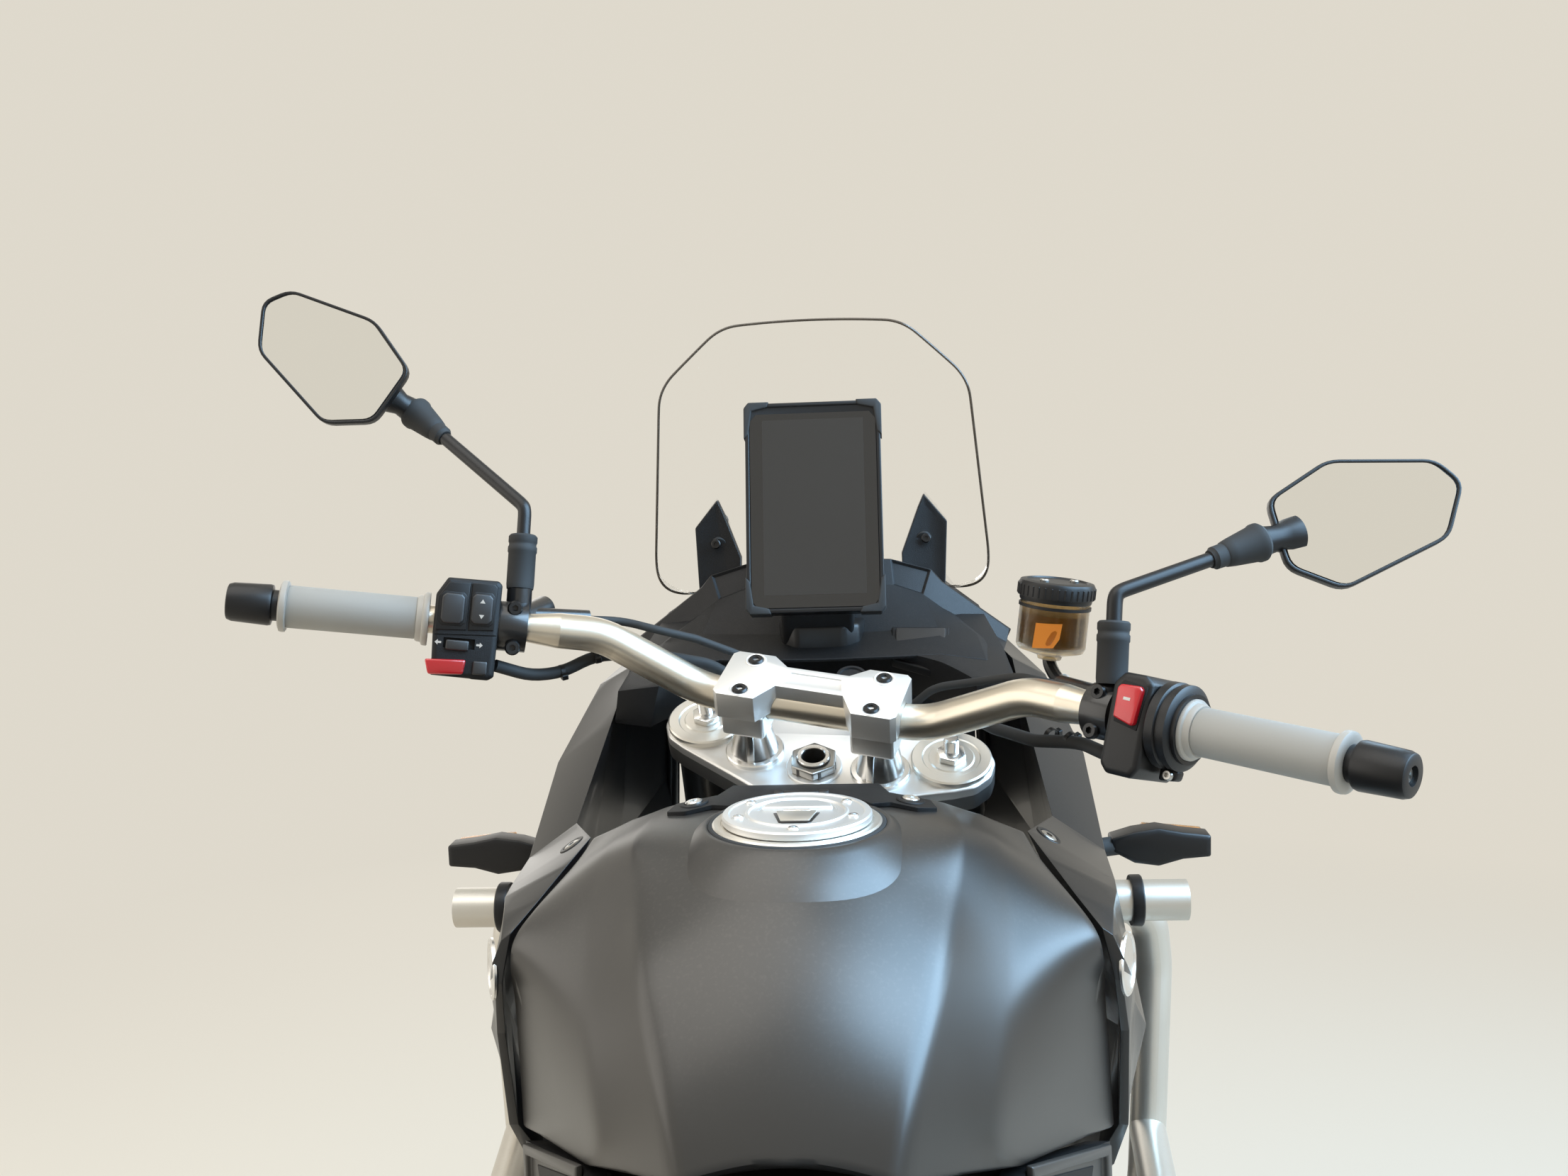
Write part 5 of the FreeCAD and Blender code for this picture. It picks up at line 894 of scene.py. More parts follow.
@dataclass
class ForkHead:
    """The upper clamp, the fork's top caps, the stem's nut and the bar's clamp on its risers."""

    leg_x: float = 107.0
    leg_y: float = 34.0
    disc_r: float = 33.0
    riser_x: float = 54.0
    riser_y: float = 8.0
    cap_low: float = 56.2
    cap_top: float = 80.0

    def clamp(self, node: bpy.types.Object) -> None:
        """Round the upper clamp's edges and give it its bright face over a cast body."""
        axis = HEAD.to_3x3() @ Vector((0, 0, 1))
        edge = HEAD @ Vector((0, 0, -8.5))
        finish = Layered("clamp_alloy", "alloy", (0.80, 0.79, 0.77), 0.42, metallic=0.88, texture=Texture.CAST,
                         scale=1500.0, relief=0.05, vary=0.08, dust=0.0, other=(0.19, 0.185, 0.18),
                         other_rough=0.5,
                         point=tuple(edge * MM), normal=tuple(axis))
        Piece.softened("upper_clamp", node, 2.2).fit(WORLD, "steering", finish, ["top_clamp"])

    def caps(self) -> None:
        """Model the wide turned fork discs with their hexagons and adjuster studs."""
        disc_profile = [(0, 0), (self.disc_r, 0), (self.disc_r, 4.2), (self.disc_r - 1.2, 5.4), (24, 5.4),
                        (23, 4.6),
                        (19, 4.6), (18, 5.6), (0, 5.6)]
        stud_profile = [(0, 10), (6.2, 10), (6.2, 14)]
        for step in range(7):
            height = 14 + step * 1.4
            stud_profile += [(6.2, height), (5.6, height + 0.7)]
        stud_profile += [(5.6, 24.4), (4.6, 25.2), (0, 25.2)]
        for side, word in zip(SIDES, ("left", "right")):
            at = PARKED @ Matrix.Translation((side * self.leg_x, self.leg_y, 0))
            replaced = ["fork_caps"] if side < 0 else []
            Piece.turned(f"fork_disc_{word}", disc_profile, 72).fit(at, "steering", TURNED_ALLOY, replaced)
            hexagon = Piece.cylinder(f"fork_nut_{word}", 12.5, 5.4, 11.0, sides=6).bevel(1.0, 2)
            hexagon.fit(at @ Matrix.Rotation(0.4, 4, "Z"), "steering", CHROME)
            Piece.turned(f"fork_stud_{word}", stud_profile, 32).fit(at, "steering", CHROME)

    def stem(self) -> None:
        """Model the stem's big hexagon nut over its open tube."""
        washer = Piece.turned("stem_washer", [(13, 0.1), (23, 0.1), (23, 1.8), (22.2, 2.4), (13, 2.4)], 48,
                              ring=True)
        washer.fit(PARKED, "steering", MACHINED)
        nut = Piece.cylinder("stem_nut", 20.5, 2.4, 10.4, sides=6).bevel(1.4, 3)
        nut.cut(Piece.cylinder("stem_hole", 12.6, 0, 20, sides=40))
        nut.fit(PARKED @ Matrix.Rotation(0.25, 4, "Z"), "steering", BOLT_STEEL)
        lip = Piece.turned("stem_lip",
                           [(9.7, 0), (13.6, 0), (13.6, 12.8), (12.9, 13.6), (10.4, 13.6), (9.7, 12.8)], 48,
                           ring=True)
        lip.fit(PARKED, "steering", CHROME)

    def risers(self) -> None:
        """Model the two conical risers with their flanges and fins."""
        profile = [(0, 0), (24.5, 0), (24.5, 3.0), (23.6, 4.0), (20.0, 4.4), (19.2, 6.0), (15.6, 27),
                   (16.6, 30), (16.6, 33), (0, 33)]
        for side, word in zip(SIDES, ("left", "right")):
            at = PARKED @ Matrix.Translation((side * self.riser_x, self.riser_y, 0))
            Piece.turned(f"riser_{word}", profile, 56).fit(at, "steering", CHROME,
                                                           ["bar_clamp"] if side < 0 else [])
            fin = Piece.plate(f"riser_fin_{word}", [(-21, 4.2), (-14, 4.2), (-13, 31), (-17.5, 31)], -3.2,
                              3.2).bevel(1.2, 2)
            turn = Matrix.Rotation(math.radians(90), 4, "X")
            fin.fit(at @ Matrix.Rotation(math.radians(100 if side < 0 else 80), 4, "Z") @ turn, "steering",
                    CHROME)
            saddle = Piece.box(f"saddle_{word}", (-18, -23, 33), (18, 23, 55.4))
            bed = Piece.cylinder("saddle_bed", 14.7, -30, 30, sides=48)
            bed.place(Matrix.Translation((0, 0, 56)) @ Matrix.Rotation(math.radians(90), 4, "Y"))
            saddle.bevel(3.0, 3).cut(bed)
            saddle.fit(at, "steering", MACHINED)

    def clamp_cap(self) -> None:
        """Model the one-piece cap with its waisted bridge, its lightening face and four screws."""
        y = self.riser_y
        outline = [(-75, y - 25), (-75, y + 25), (-71, y + 29), (-40, y + 29), (-26, y + 17), (26, y + 17),
                   (40, y + 29),
                   (71, y + 29), (75, y + 25), (75, y - 25), (71, y - 29), (40, y - 29), (28, y - 9),
                   (-28, y - 9),
                   (-40, y - 29), (-71, y - 29)]
        cap = Piece.plate("bar_cap", outline, self.cap_low, self.cap_top)
        bed = Piece.cylinder("cap_bed", 14.9, -100, 100, sides=48)
        bed.place(Matrix.Translation((0, y, 56)) @ Matrix.Rotation(math.radians(90), 4, "Y"))
        hollow = [(-25, y - 3), (25, y - 3), (21, y + 11), (-21, y + 11)]
        cap.cut(bed, Piece.plate("cap_hollow", hollow, self.cap_top - 1.4, self.cap_top + 4))
        cap.bevel(2.2, 3, 28)
        cap.fit(PARKED, "steering", MACHINED)
        for side in SIDES:
            for row, forward in enumerate((y - 20, y + 20)):
                screw = bolt(f"cap_screw_{'lr'[side > 0]}{row}", 6.4, 4.4, 0.46)
                at = PARKED @ Matrix.Translation((side * self.riser_x, forward, self.cap_top - 2.4))
                screw.fit(at, "steering", DARK_STEEL)
                seat = Piece.turned(f"cap_seat_{'lr'[side > 0]}{row}",
                                    [(6.6, -1), (8.6, -1), (8.6, 0.5), (8.0, 0.8), (6.6, 0.5)], 32, ring=True)
                seat.fit(PARKED @ Matrix.Translation((side * self.riser_x, forward, self.cap_top)), "steering",
                         MACHINED)

    def build(self, nodes: dict[str, bpy.types.Object]) -> None:
        """Build the whole fork head."""
        self.clamp(nodes["top_clamp"])
        self.caps()
        self.stem()
        self.risers()
        self.clamp_cap()


@dataclass
class Grips:
    """The ribbed rubber grips, their flanges and the weights at the bar's ends."""

    start: float = 136.0
    flange: float = 242.0
    bar_end: float = 286.0
    radius: float = 16.5

    def build(self) -> None:
        """Model both grips from the same profiles."""
        inner = [(11.3, 0), (20.6, 0), (21.0, 0.6), (21.0, 3.4), (20.4, 4.4), (18.6, 5.2), (18.2, 8.0),
                 (17.4, 9.5), (11.3, 9.5)]
        last = self.flange - self.start
        sleeve = [(11.3, 9.6), (self.radius - 0.3, 9.6), (self.radius, 10.4), (self.radius, last - 0.8),
                  (self.radius - 0.3, last), (11.3, last)]
        outer = [(11.3, last), (18.6, last), (19.8, last + 0.8), (20.0, last + 2.6), (19.6, last + 4.8),
                 (17.0, last + 6.0), (11.3, last + 6.0)]
        reach = self.bar_end - self.start
        weight = [(0, last + 6.2), (12, last + 6.2), (12, last + 10.6), (15.4, last + 11.4),
                  (16.0, last + 13.5), (14.9, reach - 4),
                  (13.7, reach - 0.6), (12.6, reach), (6.4, reach), (5.6, reach - 5), (0, reach - 5)]
        for side, word in zip(SIDES, ("left", "right")):
            at = BarLine(side).along(self.start)
            Piece.turned(f"grip_{word}", sleeve, 64, ring=True).fit(at, "steering", GRIP_RUBBER,
                                                                    ["grips"] if side < 0 else [])
            Piece.turned(f"grip_collar_{word}", inner, 64, ring=True).fit(at, "steering", GRIP_SMOOTH)
            Piece.turned(f"grip_flange_{word}", outer, 64, ring=True).fit(at, "steering", GRIP_SMOOTH)
            Piece.turned(f"bar_weight_{word}", weight, 56).fit(at, "steering", SMOOTH_PLASTIC,
                                                               ["bar_ends"] if side < 0 else [])
            screw = bolt(f"bar_screw_{word}", 5.2, 2.6, 0.5)
            screw.fit(at @ Matrix.Translation((0, 0, reach - 5)), "steering", BOLT_STEEL)


@dataclass
class LeftControls:
    """The left switch housing with its buttons, seen in the grip's frame: outwards, up, to the rider."""

    back: float = -22.0
    face: float = 22.0

    def housing(self) -> None:
        """Model the chamfered housing round the bar."""
        outline = [(82.4, 31), (85.5, 34), (124, 33.5), (132, 20), (132, -10), (131, -30), (131, -43),
                   (101, -43.6),
                   (99, -44), (87, -44), (82.6, -41)]
        body = Piece.plate("left_housing", outline, self.back, self.face)
        body.inset(lambda middle, normal: normal.z > 0.9, 3.2, 2.0)
        body.bevel(1.4, 3, 20)
        bar = Piece.cylinder("left_bar_room", 11.4, 60, 150, sides=48)
        bar.place(Matrix.Rotation(math.radians(90), 4, "Y"))
        slot = Piece.plate("slider_slot", [(99.3, -21), (123.3, -21), (123.3, -13), (99.3, -13)], self.face - 3,
                           self.face + 6)
        seam = Piece.plate("housing_seam", [(80, -9.2), (134, -12.2), (134, -11.2), (80, -8.2)],
                           self.face + 0.6, self.face + 6)
        body.cut(bar, slot, seam)
        body.fit(self.at, "steering", MATT_PLASTIC, ["switch_left"])

    def button(self, name: str, outline: Sequence[Flat], low: float, high: float, finish: Finish,
               width: float = 1.3) -> None:
        """Model one button as a bevelled plate."""
        Piece.plate(name, outline, low, high).bevel(width, 3, 25).fit(self.at, "steering", finish)

    def build(self) -> None:
        """Build the housing and its buttons."""
        self.at = BarLine(-1.0).facing()
        self.housing()
        top = self.face + 2.0
        self.button("left_panel_outer", [(106.9, -6.4), (130.4, -7.8), (130.4, 18), (122.8, 30), (106.9, 30.6)],
                    top - 0.5, top + 1.2, SMOOTH_PLASTIC, 0.6)
        self.button("left_panel_inner", [(86, -5), (105.3, -6.3), (105.3, 30.7), (88.5, 31.2), (86, 28.6)],
                    top - 0.5, top + 1.2, SMOOTH_PLASTIC, 0.6)
        rocker = [(109.7, 0.8), (112.4, -2.2), (124.4, -2.2), (127.1, 0.8), (127.1, 18.3), (124.4, 21.3),
                  (112.4, 21.3), (109.7, 18.3)]
        self.button("rocker_outer", rocker, top + 1, top + 3.6, BUTTON_PLASTIC)
        self.button("rocker_outer_rim",
                    [(x + (1.4 if x > 118 else -1.4), y + (1.4 if y > 9 else -1.4)) for x, y in rocker], top,
                    top + 1.8, SMOOTH_PLASTIC, 0.4)
        other = [(88.3, 2), (91, -1), (101.9, -1), (104.6, 2), (104.6, 19.6), (101.9, 22.6), (91, 22.6),
                 (88.3, 19.6)]
        self.button("rocker_inner", other, top + 1, top + 3.6, BUTTON_PLASTIC)
        self.button("rocker_inner_rim",
                    [(x + (0.6 if x > 96 else -1.2), y + (1.4 if y > 10 else -1.4)) for x, y in other], top,
                    top + 1.8, SMOOTH_PLASTIC, 0.4)
        for word, tip, foot in (("up", 18.6, 15.4), ("down", 3.2, 6.4)):
            arrow = [(96.4, tip), (94.4, foot),
                     (98.4, foot)] if tip > foot else [(96.4, tip), (98.4, foot), (94.4, foot)]
            Piece.plate(f"mark_{word}", arrow, top + 3.5, top + 3.75).fit(self.at, "steering", MARK_WHITE)
        self.button("slider_knob", [(103.8, -22.5), (121.3, -22.5), (121.3, -14.6), (103.8, -14.6)],
                    self.face - 2, top + 3.4, BUTTON_PLASTIC)
        self.button("horn_button", [(136.1, -30.8), (104.9, -29.2), (106.3, -40.6), (132.6, -42.5)],
                    self.face - 3, top + 6.5, RED_PLASTIC, 1.8)
        self.button("square_button", [(88.4, -40), (99.5, -40.3), (99.5, -29.6), (88.4, -29.4)], self.face,
                    top + 2.2, BUTTON_PLASTIC)
        for word, x, flip in (("inner", 95.8, 1.0), ("outer", 127.2, -1.0)):
            arrow = [(x - 2.6 * flip, -17.2), (x - 0.2 * flip, -15.0), (x - 0.2 * flip, -16.4),
                     (x + 2.4 * flip, -16.4),
                     (x + 2.4 * flip, -18.0), (x - 0.2 * flip, -18.0), (x - 0.2 * flip, -19.4)]
            Piece.plate(f"mark_{word}", arrow, top - 0.2, top + 0.15).fit(self.at, "steering", MARK_WHITE)
        for number, (x, y) in enumerate(((70.9, 14.3), (70.2, -16.9))):
            bolt(f"left_perch_bolt_{number}", 6.0, 5.0, 0.45).fit(self.at @ Matrix.Translation((x, y, 13.5)),
                                                                  "steering", DARK_STEEL)


@dataclass
class RightControls:
    """The right switch housing, its red switch and the throttle's drum."""

    back: float = -24.0
    face: float = 24.0

    def build(self) -> None:
        """Build the housing, the switch and the drum."""
        at = BarLine(1.0).facing()
        outline = [(87.2, 22), (94.5, 30), (111, 30), (118, 25), (118, -33), (113, -40), (93, -40), (87.2, -34)]
        body = Piece.plate("right_housing", outline, self.back, self.face)
        body.inset(lambda middle, normal: normal.z > 0.9, 3.0, 2.0)
        body.bevel(1.6, 3, 20)
        bar = Piece.cylinder("right_bar_room", 11.4, 60, 150, sides=48)
        bar.place(Matrix.Rotation(math.radians(90), 4, "Y"))
        body.cut(bar)
        body.fit(at, "steering", SMOOTH_PLASTIC, ["switch_right"])
        switch = Piece.plate("kill_switch",
                             [(95, -1.2), (109.4, -5.3), (111.6, -3.6), (113.6, 19.6), (111.6, 21.9),
                              (97, 21.4), (94.6, 19)],
                             self.face, self.face + 7.0)
        switch.bevel(2.0, 3, 25).fit(at, "steering", RED_PLASTIC)
        recess = Piece.plate("kill_recess", [(93.4, -4.2), (112.4, -8), (115.4, 22), (96, 24.4), (92.8, 20)],
                             self.face + 1.4, self.face + 2.6)
        recess.bevel(0.5, 2, 25).fit(at, "steering", MATT_PLASTIC)
        mark = [(100.8, 11.2), (106.2, 11.0), (106.4, 13.0), (101.0, 13.2)]
        Piece.plate("kill_mark", mark, self.face + 6.9, self.face + 7.15).fit(at, "steering", MARK_WHITE)
        drum = [(11.4, 0), (29, 0), (30, 1.2), (30, 7.4), (28.2, 8.4), (28.2, 10.0), (29.4, 10.8), (29.4, 15.4),
                (27.6, 16.4), (24.0, 17.2), (24.0, 20.0), (21.4, 20.0), (21.4, 16.6), (11.4, 16.6)]
        piece = Piece.turned("throttle_drum", drum, 72, ring=True)
        piece.fit(BarLine(1.0).along(118.4), "steering", SMOOTH_PLASTIC)
        for number, (x, y) in enumerate(((70.9, 13.0), (70.2, -14.5))):
            bolt(f"right_perch_bolt_{number}", 6.0, 5.0, 0.45).fit(at @ Matrix.Translation((x, y, 13.5)),
                                                                   "steering", DARK_STEEL)
        tab = Piece.plate("throttle_tab", [(120, -38), (133, -36), (134, -29), (120, -26)], -8,
                          2).bevel(2, 3, 25)
        tab.fit(at, "steering", SMOOTH_PLASTIC)
        bolt("throttle_screw", 3.6, 3.2, 0.5).fit(at @ Matrix.Translation((128, -33, 2)), "steering",
                                                  BOLT_STEEL)


@dataclass
class Mirror:
    """One mirror on its sleeve, bent stalk, rubber cone and ball joint, in the steering's own place."""

    word: str
    side: float
    mount: Flat
    bend: Point
    ball: Point
    centre: Point
    normal: Point
    outward: Point
    outline: tuple[Flat, ...] = ((-70, 16), (-23, 43), (54, 37), (71, 18), (55, -22), (-24, -55), (-62, -36))
    depth: float = 22.0
    sleeve_length: float = 42.0

    def rounded(self, shrink: float, corner: float = 9.0, steps: int = 4) -> list[Flat]:
        """The outline with round corners, drawn in from its edge.

        Args:
            shrink: How far in.
            corner: The corners' size.
            steps: The points on each corner.

        Returns:
            The corners in order.
        """
        points = [Vector(p) for p in self.outline]
        scale = 1.0 - shrink / 52.0
        made: list[Flat] = []
        for index, here in enumerate(points):
            before, after = points[index - 1], points[(index + 1) % len(points)]
            first = here + (before - here).normalized() * corner
            last = here + (after - here).normalized() * corner
            for step in range(steps + 1):
                t = step / steps
                spot = first.lerp(here, t).lerp(here.lerp(last, t), t)
                made.append((spot.x * scale, spot.y * scale))
        return made

    def build(self) -> None:
        """Build the mirror from the bar outwards."""
        start = Vector((self.side * (173.0 + 0.8647 * 71.0), -6.0 - 0.4268 * 71.0 + self.mount[0],
                        110.0 + 0.2649 * 71.0 + self.mount[1]))
        bend, ball, centre = Vector(self.bend), Vector(self.ball), Vector(self.centre)
        rise, run = (bend - start).normalized(), (ball - bend).normalized()
        length = self.sleeve_length
        sleeve = [(0, -2), (10.6, -2), (11.0, 2), (11.0, length - 15), (11.6, length - 14), (11.6, length - 10),
                  (10.9, length - 9),
                  (10.9, length - 7), (11.5, length - 6), (11.5, length - 1.5), (10.2, length), (0, length)]
        stand = standing(start, rise)
        Piece.turned(f"mirror_sleeve_{self.word}", sleeve, 40).fit(PARKED @ stand, "steering", RUBBER,
                                                                   [f"mirror_{self.word}"])
        stalk = [start + rise * (length - 6), bend - rise * 16, bend - rise * 3, bend + run * 3,
                 bend + run * 16, ball]
        Piece.pipe(f"mirror_stalk_{self.word}", stalk, 5.5, 4).fit(PARKED, "steering", SMOOTH_PLASTIC)
        cone = [(0, -42), (6.6, -42), (7.4, -40), (8.4, -39), (8.6, -31), (9.4, -30), (10.6, -24), (13.4, -5),
                (14.4, -3), (14.4, 0),
                (12.6, 2.4), (9.0, 3.4), (0, 3.4)]
        Piece.turned(f"mirror_cone_{self.word}", cone, 48).fit(PARKED @ standing(ball, run), "steering", RUBBER)
        normal, outward = Vector(self.normal).normalized(), Vector(self.outward).normalized()
        upward = normal.cross(outward) * self.side
        at = PARKED @ frame_of(centre, outward, upward, normal)
        root = centre - normal * (self.depth / 2) - outward * 44 - upward * 8
        neck = root - ball
        joint = [(0, -3), (10.4, -3), (11.4, 0), (9.6, neck.length * 0.35), (12.6, neck.length * 0.55),
                 (14.5, neck.length * 0.8), (0, neck.length)]
        Piece.turned(f"mirror_joint_{self.word}", joint, 40).fit(PARKED @ standing(ball, neck), "steering",
                                                                 SMOOTH_PLASTIC)
        shell = Piece.plate(f"mirror_shell_{self.word}", self.rounded(0.0), -8.0, 0.0)
        shell.inset(lambda middle, face: face.z > 0.9, 2.6, 0.0)
        shell.inset(lambda middle, face: face.z > 0.9 and abs(middle.x) < 20 and abs(middle.y) < 20, 0.3, -1.6)
        with shell.faces(lambda middle, face: face.z < -0.9):
            bpy.ops.mesh.extrude_region_move(TRANSFORM_OT_translate={"value": (0, 0, -6)})
            bpy.ops.transform.resize(value=(0.86, 0.86, 1), center_override=(-4, 0, 0))
            bpy.ops.mesh.extrude_region_move(TRANSFORM_OT_translate={"value": (0, 0, -5.5)})
            bpy.ops.transform.resize(value=(0.76, 0.7, 1), center_override=(-14, -2, 0))
            bpy.ops.mesh.extrude_region_move(TRANSFORM_OT_translate={"value": (0, 0, -2.4)})
            bpy.ops.transform.resize(value=(0.6, 0.6, 1), center_override=(-24, -4, 0))
        shell.bevel(1.1, 3, 22)
        shell.fit(at, "steering", SMOOTH_PLASTIC)
        glass = Piece.plate(f"mirror_glass_{self.word}", self.rounded(3.1, 8.0), -1.9, -0.7)
        glass.fit(at, "steering", MIRROR_GLASS)


@dataclass
class Reservoir:
    """The brake fluid jar on its bracket, standing upright beside the bar."""

    x: float = 178.0
    y: float = 78.0
    low: float = 98.0
    high: float = 154.0
    radius: float = 27.0

    def build(self) -> None:
        """Build the jar, the fluid, a patch of painted light on the fluid, the ribbed cap and the bracket."""
        middle = (self.low + self.high) / 2
        tilt = Matrix.Translation((self.x, self.y, middle)) @ Matrix.Rotation(math.radians(-26.5), 4, "X")
        at = PARKED @ tilt @ Matrix.Translation((0, 0, -middle))
        low, high, wide = self.low, self.high, self.radius
        wall = [(0, low - 6), (9, low - 6), (10, low - 3), (20, low), (wide - 1.5, low + 1.5), (wide, low + 5),
                (wide, high - 16),
                (wide - 2, high - 16), (wide - 2, low + 6), (18, low + 2.4), (0, low + 2.4)]
        jar = Piece.turned("fluid_jar", wall, 64)
        jar.fit(at, "steering", AMBER_JAR, ["reservoir"])
        fill = Piece.turned("fluid",
                            [(0, low + 3), (17, low + 3), (wide - 2.6, low + 7), (wide - 2.6, high - 26),
                             (0, high - 26)], 48)
        fill.fit(at, "steering",
                 Clear("dark_fluid", "amber_plastic", (0.20, 0.11, 0.03), 0.1, relief=0.0, dust=0.0,
                       alpha=0.85))
        # A patch on the jar's wall facing the rider, brighter than the fluid: painted light shining through the
        # fluid.
        patch_outline = [(-11, -13), (5, -11), (9, -4), (10, 8), (-10, 6.5)]
        patch = Piece.plate("fluid_glow", patch_outline, 0, 0.6)
        with patch.editing():
            bpy.ops.mesh.subdivide(number_cuts=6)
        for vertex in patch.obj.data.vertices:
            vertex.co.z += math.sqrt(max(0.0, 26.6 ** 2 - vertex.co.x ** 2)) - 26.6
        patch.fit(at @ frame_of((0, -27.0, middle - 10), (1, 0, 0), (0, 0, 1), (0, -1, 0)), "steering", PAINTED_FLUID_LIGHT)
        lid = Piece.turned("jar_lid",
                           [(0, high - 16), (wide + 0.6, high - 16), (wide + 1, high - 14),
                            (wide + 1, high - 12.5), (wide + 2.6, high - 12.5),
                                       (wide + 2.6, high - 3.4), (wide + 1.2, high - 0.8), (wide - 3, high),
                                       (wide - 4, high - 1.2), (0, high - 1.2)], 96)
        ribs = []
        rib = Piece.box("lid_rib", (wide + 1.6, -0.7, high - 12), (wide + 3.2, 0.7, high - 3.6)).bevel(0.4, 1)
        for turn in range(36):
            ribs.append(rib.copy(f"lid_rib_{turn}").place(Matrix.Rotation(math.radians(turn * 10), 4, "Z")))
        rib.join(*ribs)
        lid.join(rib).fit(at, "steering", SMOOTH_PLASTIC)
        for number, (x, y) in enumerate(((-9, -8), (12, 9))):
            bolt(f"lid_screw_{number}", 3.6, 2.2, 0.5).fit(at @ Matrix.Translation((x, y, high - 1.4)),
                                                           "steering", BOLT_STEEL)
        ring = Piece.turned("jar_ring",
                            [(wide - 0.2, high - 21), (wide + 0.9, high - 21), (wide + 0.9, high - 18.6),
                             (wide - 0.2, high - 18.6)], 64, ring=True)
        ring.fit(at, "steering", SMOOTH_PLASTIC)
        perch = Vector(BarLine(1.0).point(66.0)) + Vector((0, 24, -3))
        x, y, foot = self.x, self.y - 14.0, self.low + 3.0
        arm = Piece.pipe("jar_bracket",
                         [(x, y, foot - 6), (x, y - 2, foot - 12), (x + 20, y - 40, foot - 6), perch], 5.2, 3)
        arm.fit(PARKED, "steering", BLACK_PAINT)
        bolt("jar_bolt", 5.0, 4.0, 0.5).fit(PARKED @ standing((x + 16, y - 34, foot), (0.2, -0.7, 0.6)),
                                            "steering", BOLT_STEEL)


TANK_ROWS: tuple[tuple[Point, ...], ...] = (
    ((0, 246, 1004), (96, 222, 994), (126, 226, 983), (157, 233, 966), (148, 230, 900), (0, 240, 880)),
    ((0, 190, 1004), (103, 176, 996), (131, 188, 980), (166, 206, 955), (158, 205, 880), (0, 200, 850)),
    ((0, 118, 1004), (105.6, 131, 993), (137, 149, 974), (182, 174, 940), (170, 176, 860), (0, 160, 820)),
    ((0, 80, 1000), (98, 92, 972), (138, 95, 930), (198, 143, 922), (184, 150, 850), (0, 120, 806)),
    ((0, 40, 974), (91, 42, 950), (130, 58, 900), (202, 160, 882), (187, 165, 830), (0, 90, 804)),
    ((0, 4, 942), (80, 4, 921), (124, 36, 866), (207, 178, 840), (191, 180, 810), (0, 60, 803)),
    ((0, -24, 905), (69, -26, 888), (122, 34, 836), (211, 194, 798), (195, 190, 785), (0, 20, 803)),
    ((0, -42, 866), (62, -40, 852), (138, 72, 802), (214, 207, 757), (197, 200, 757), (0, -20, 806)),
)


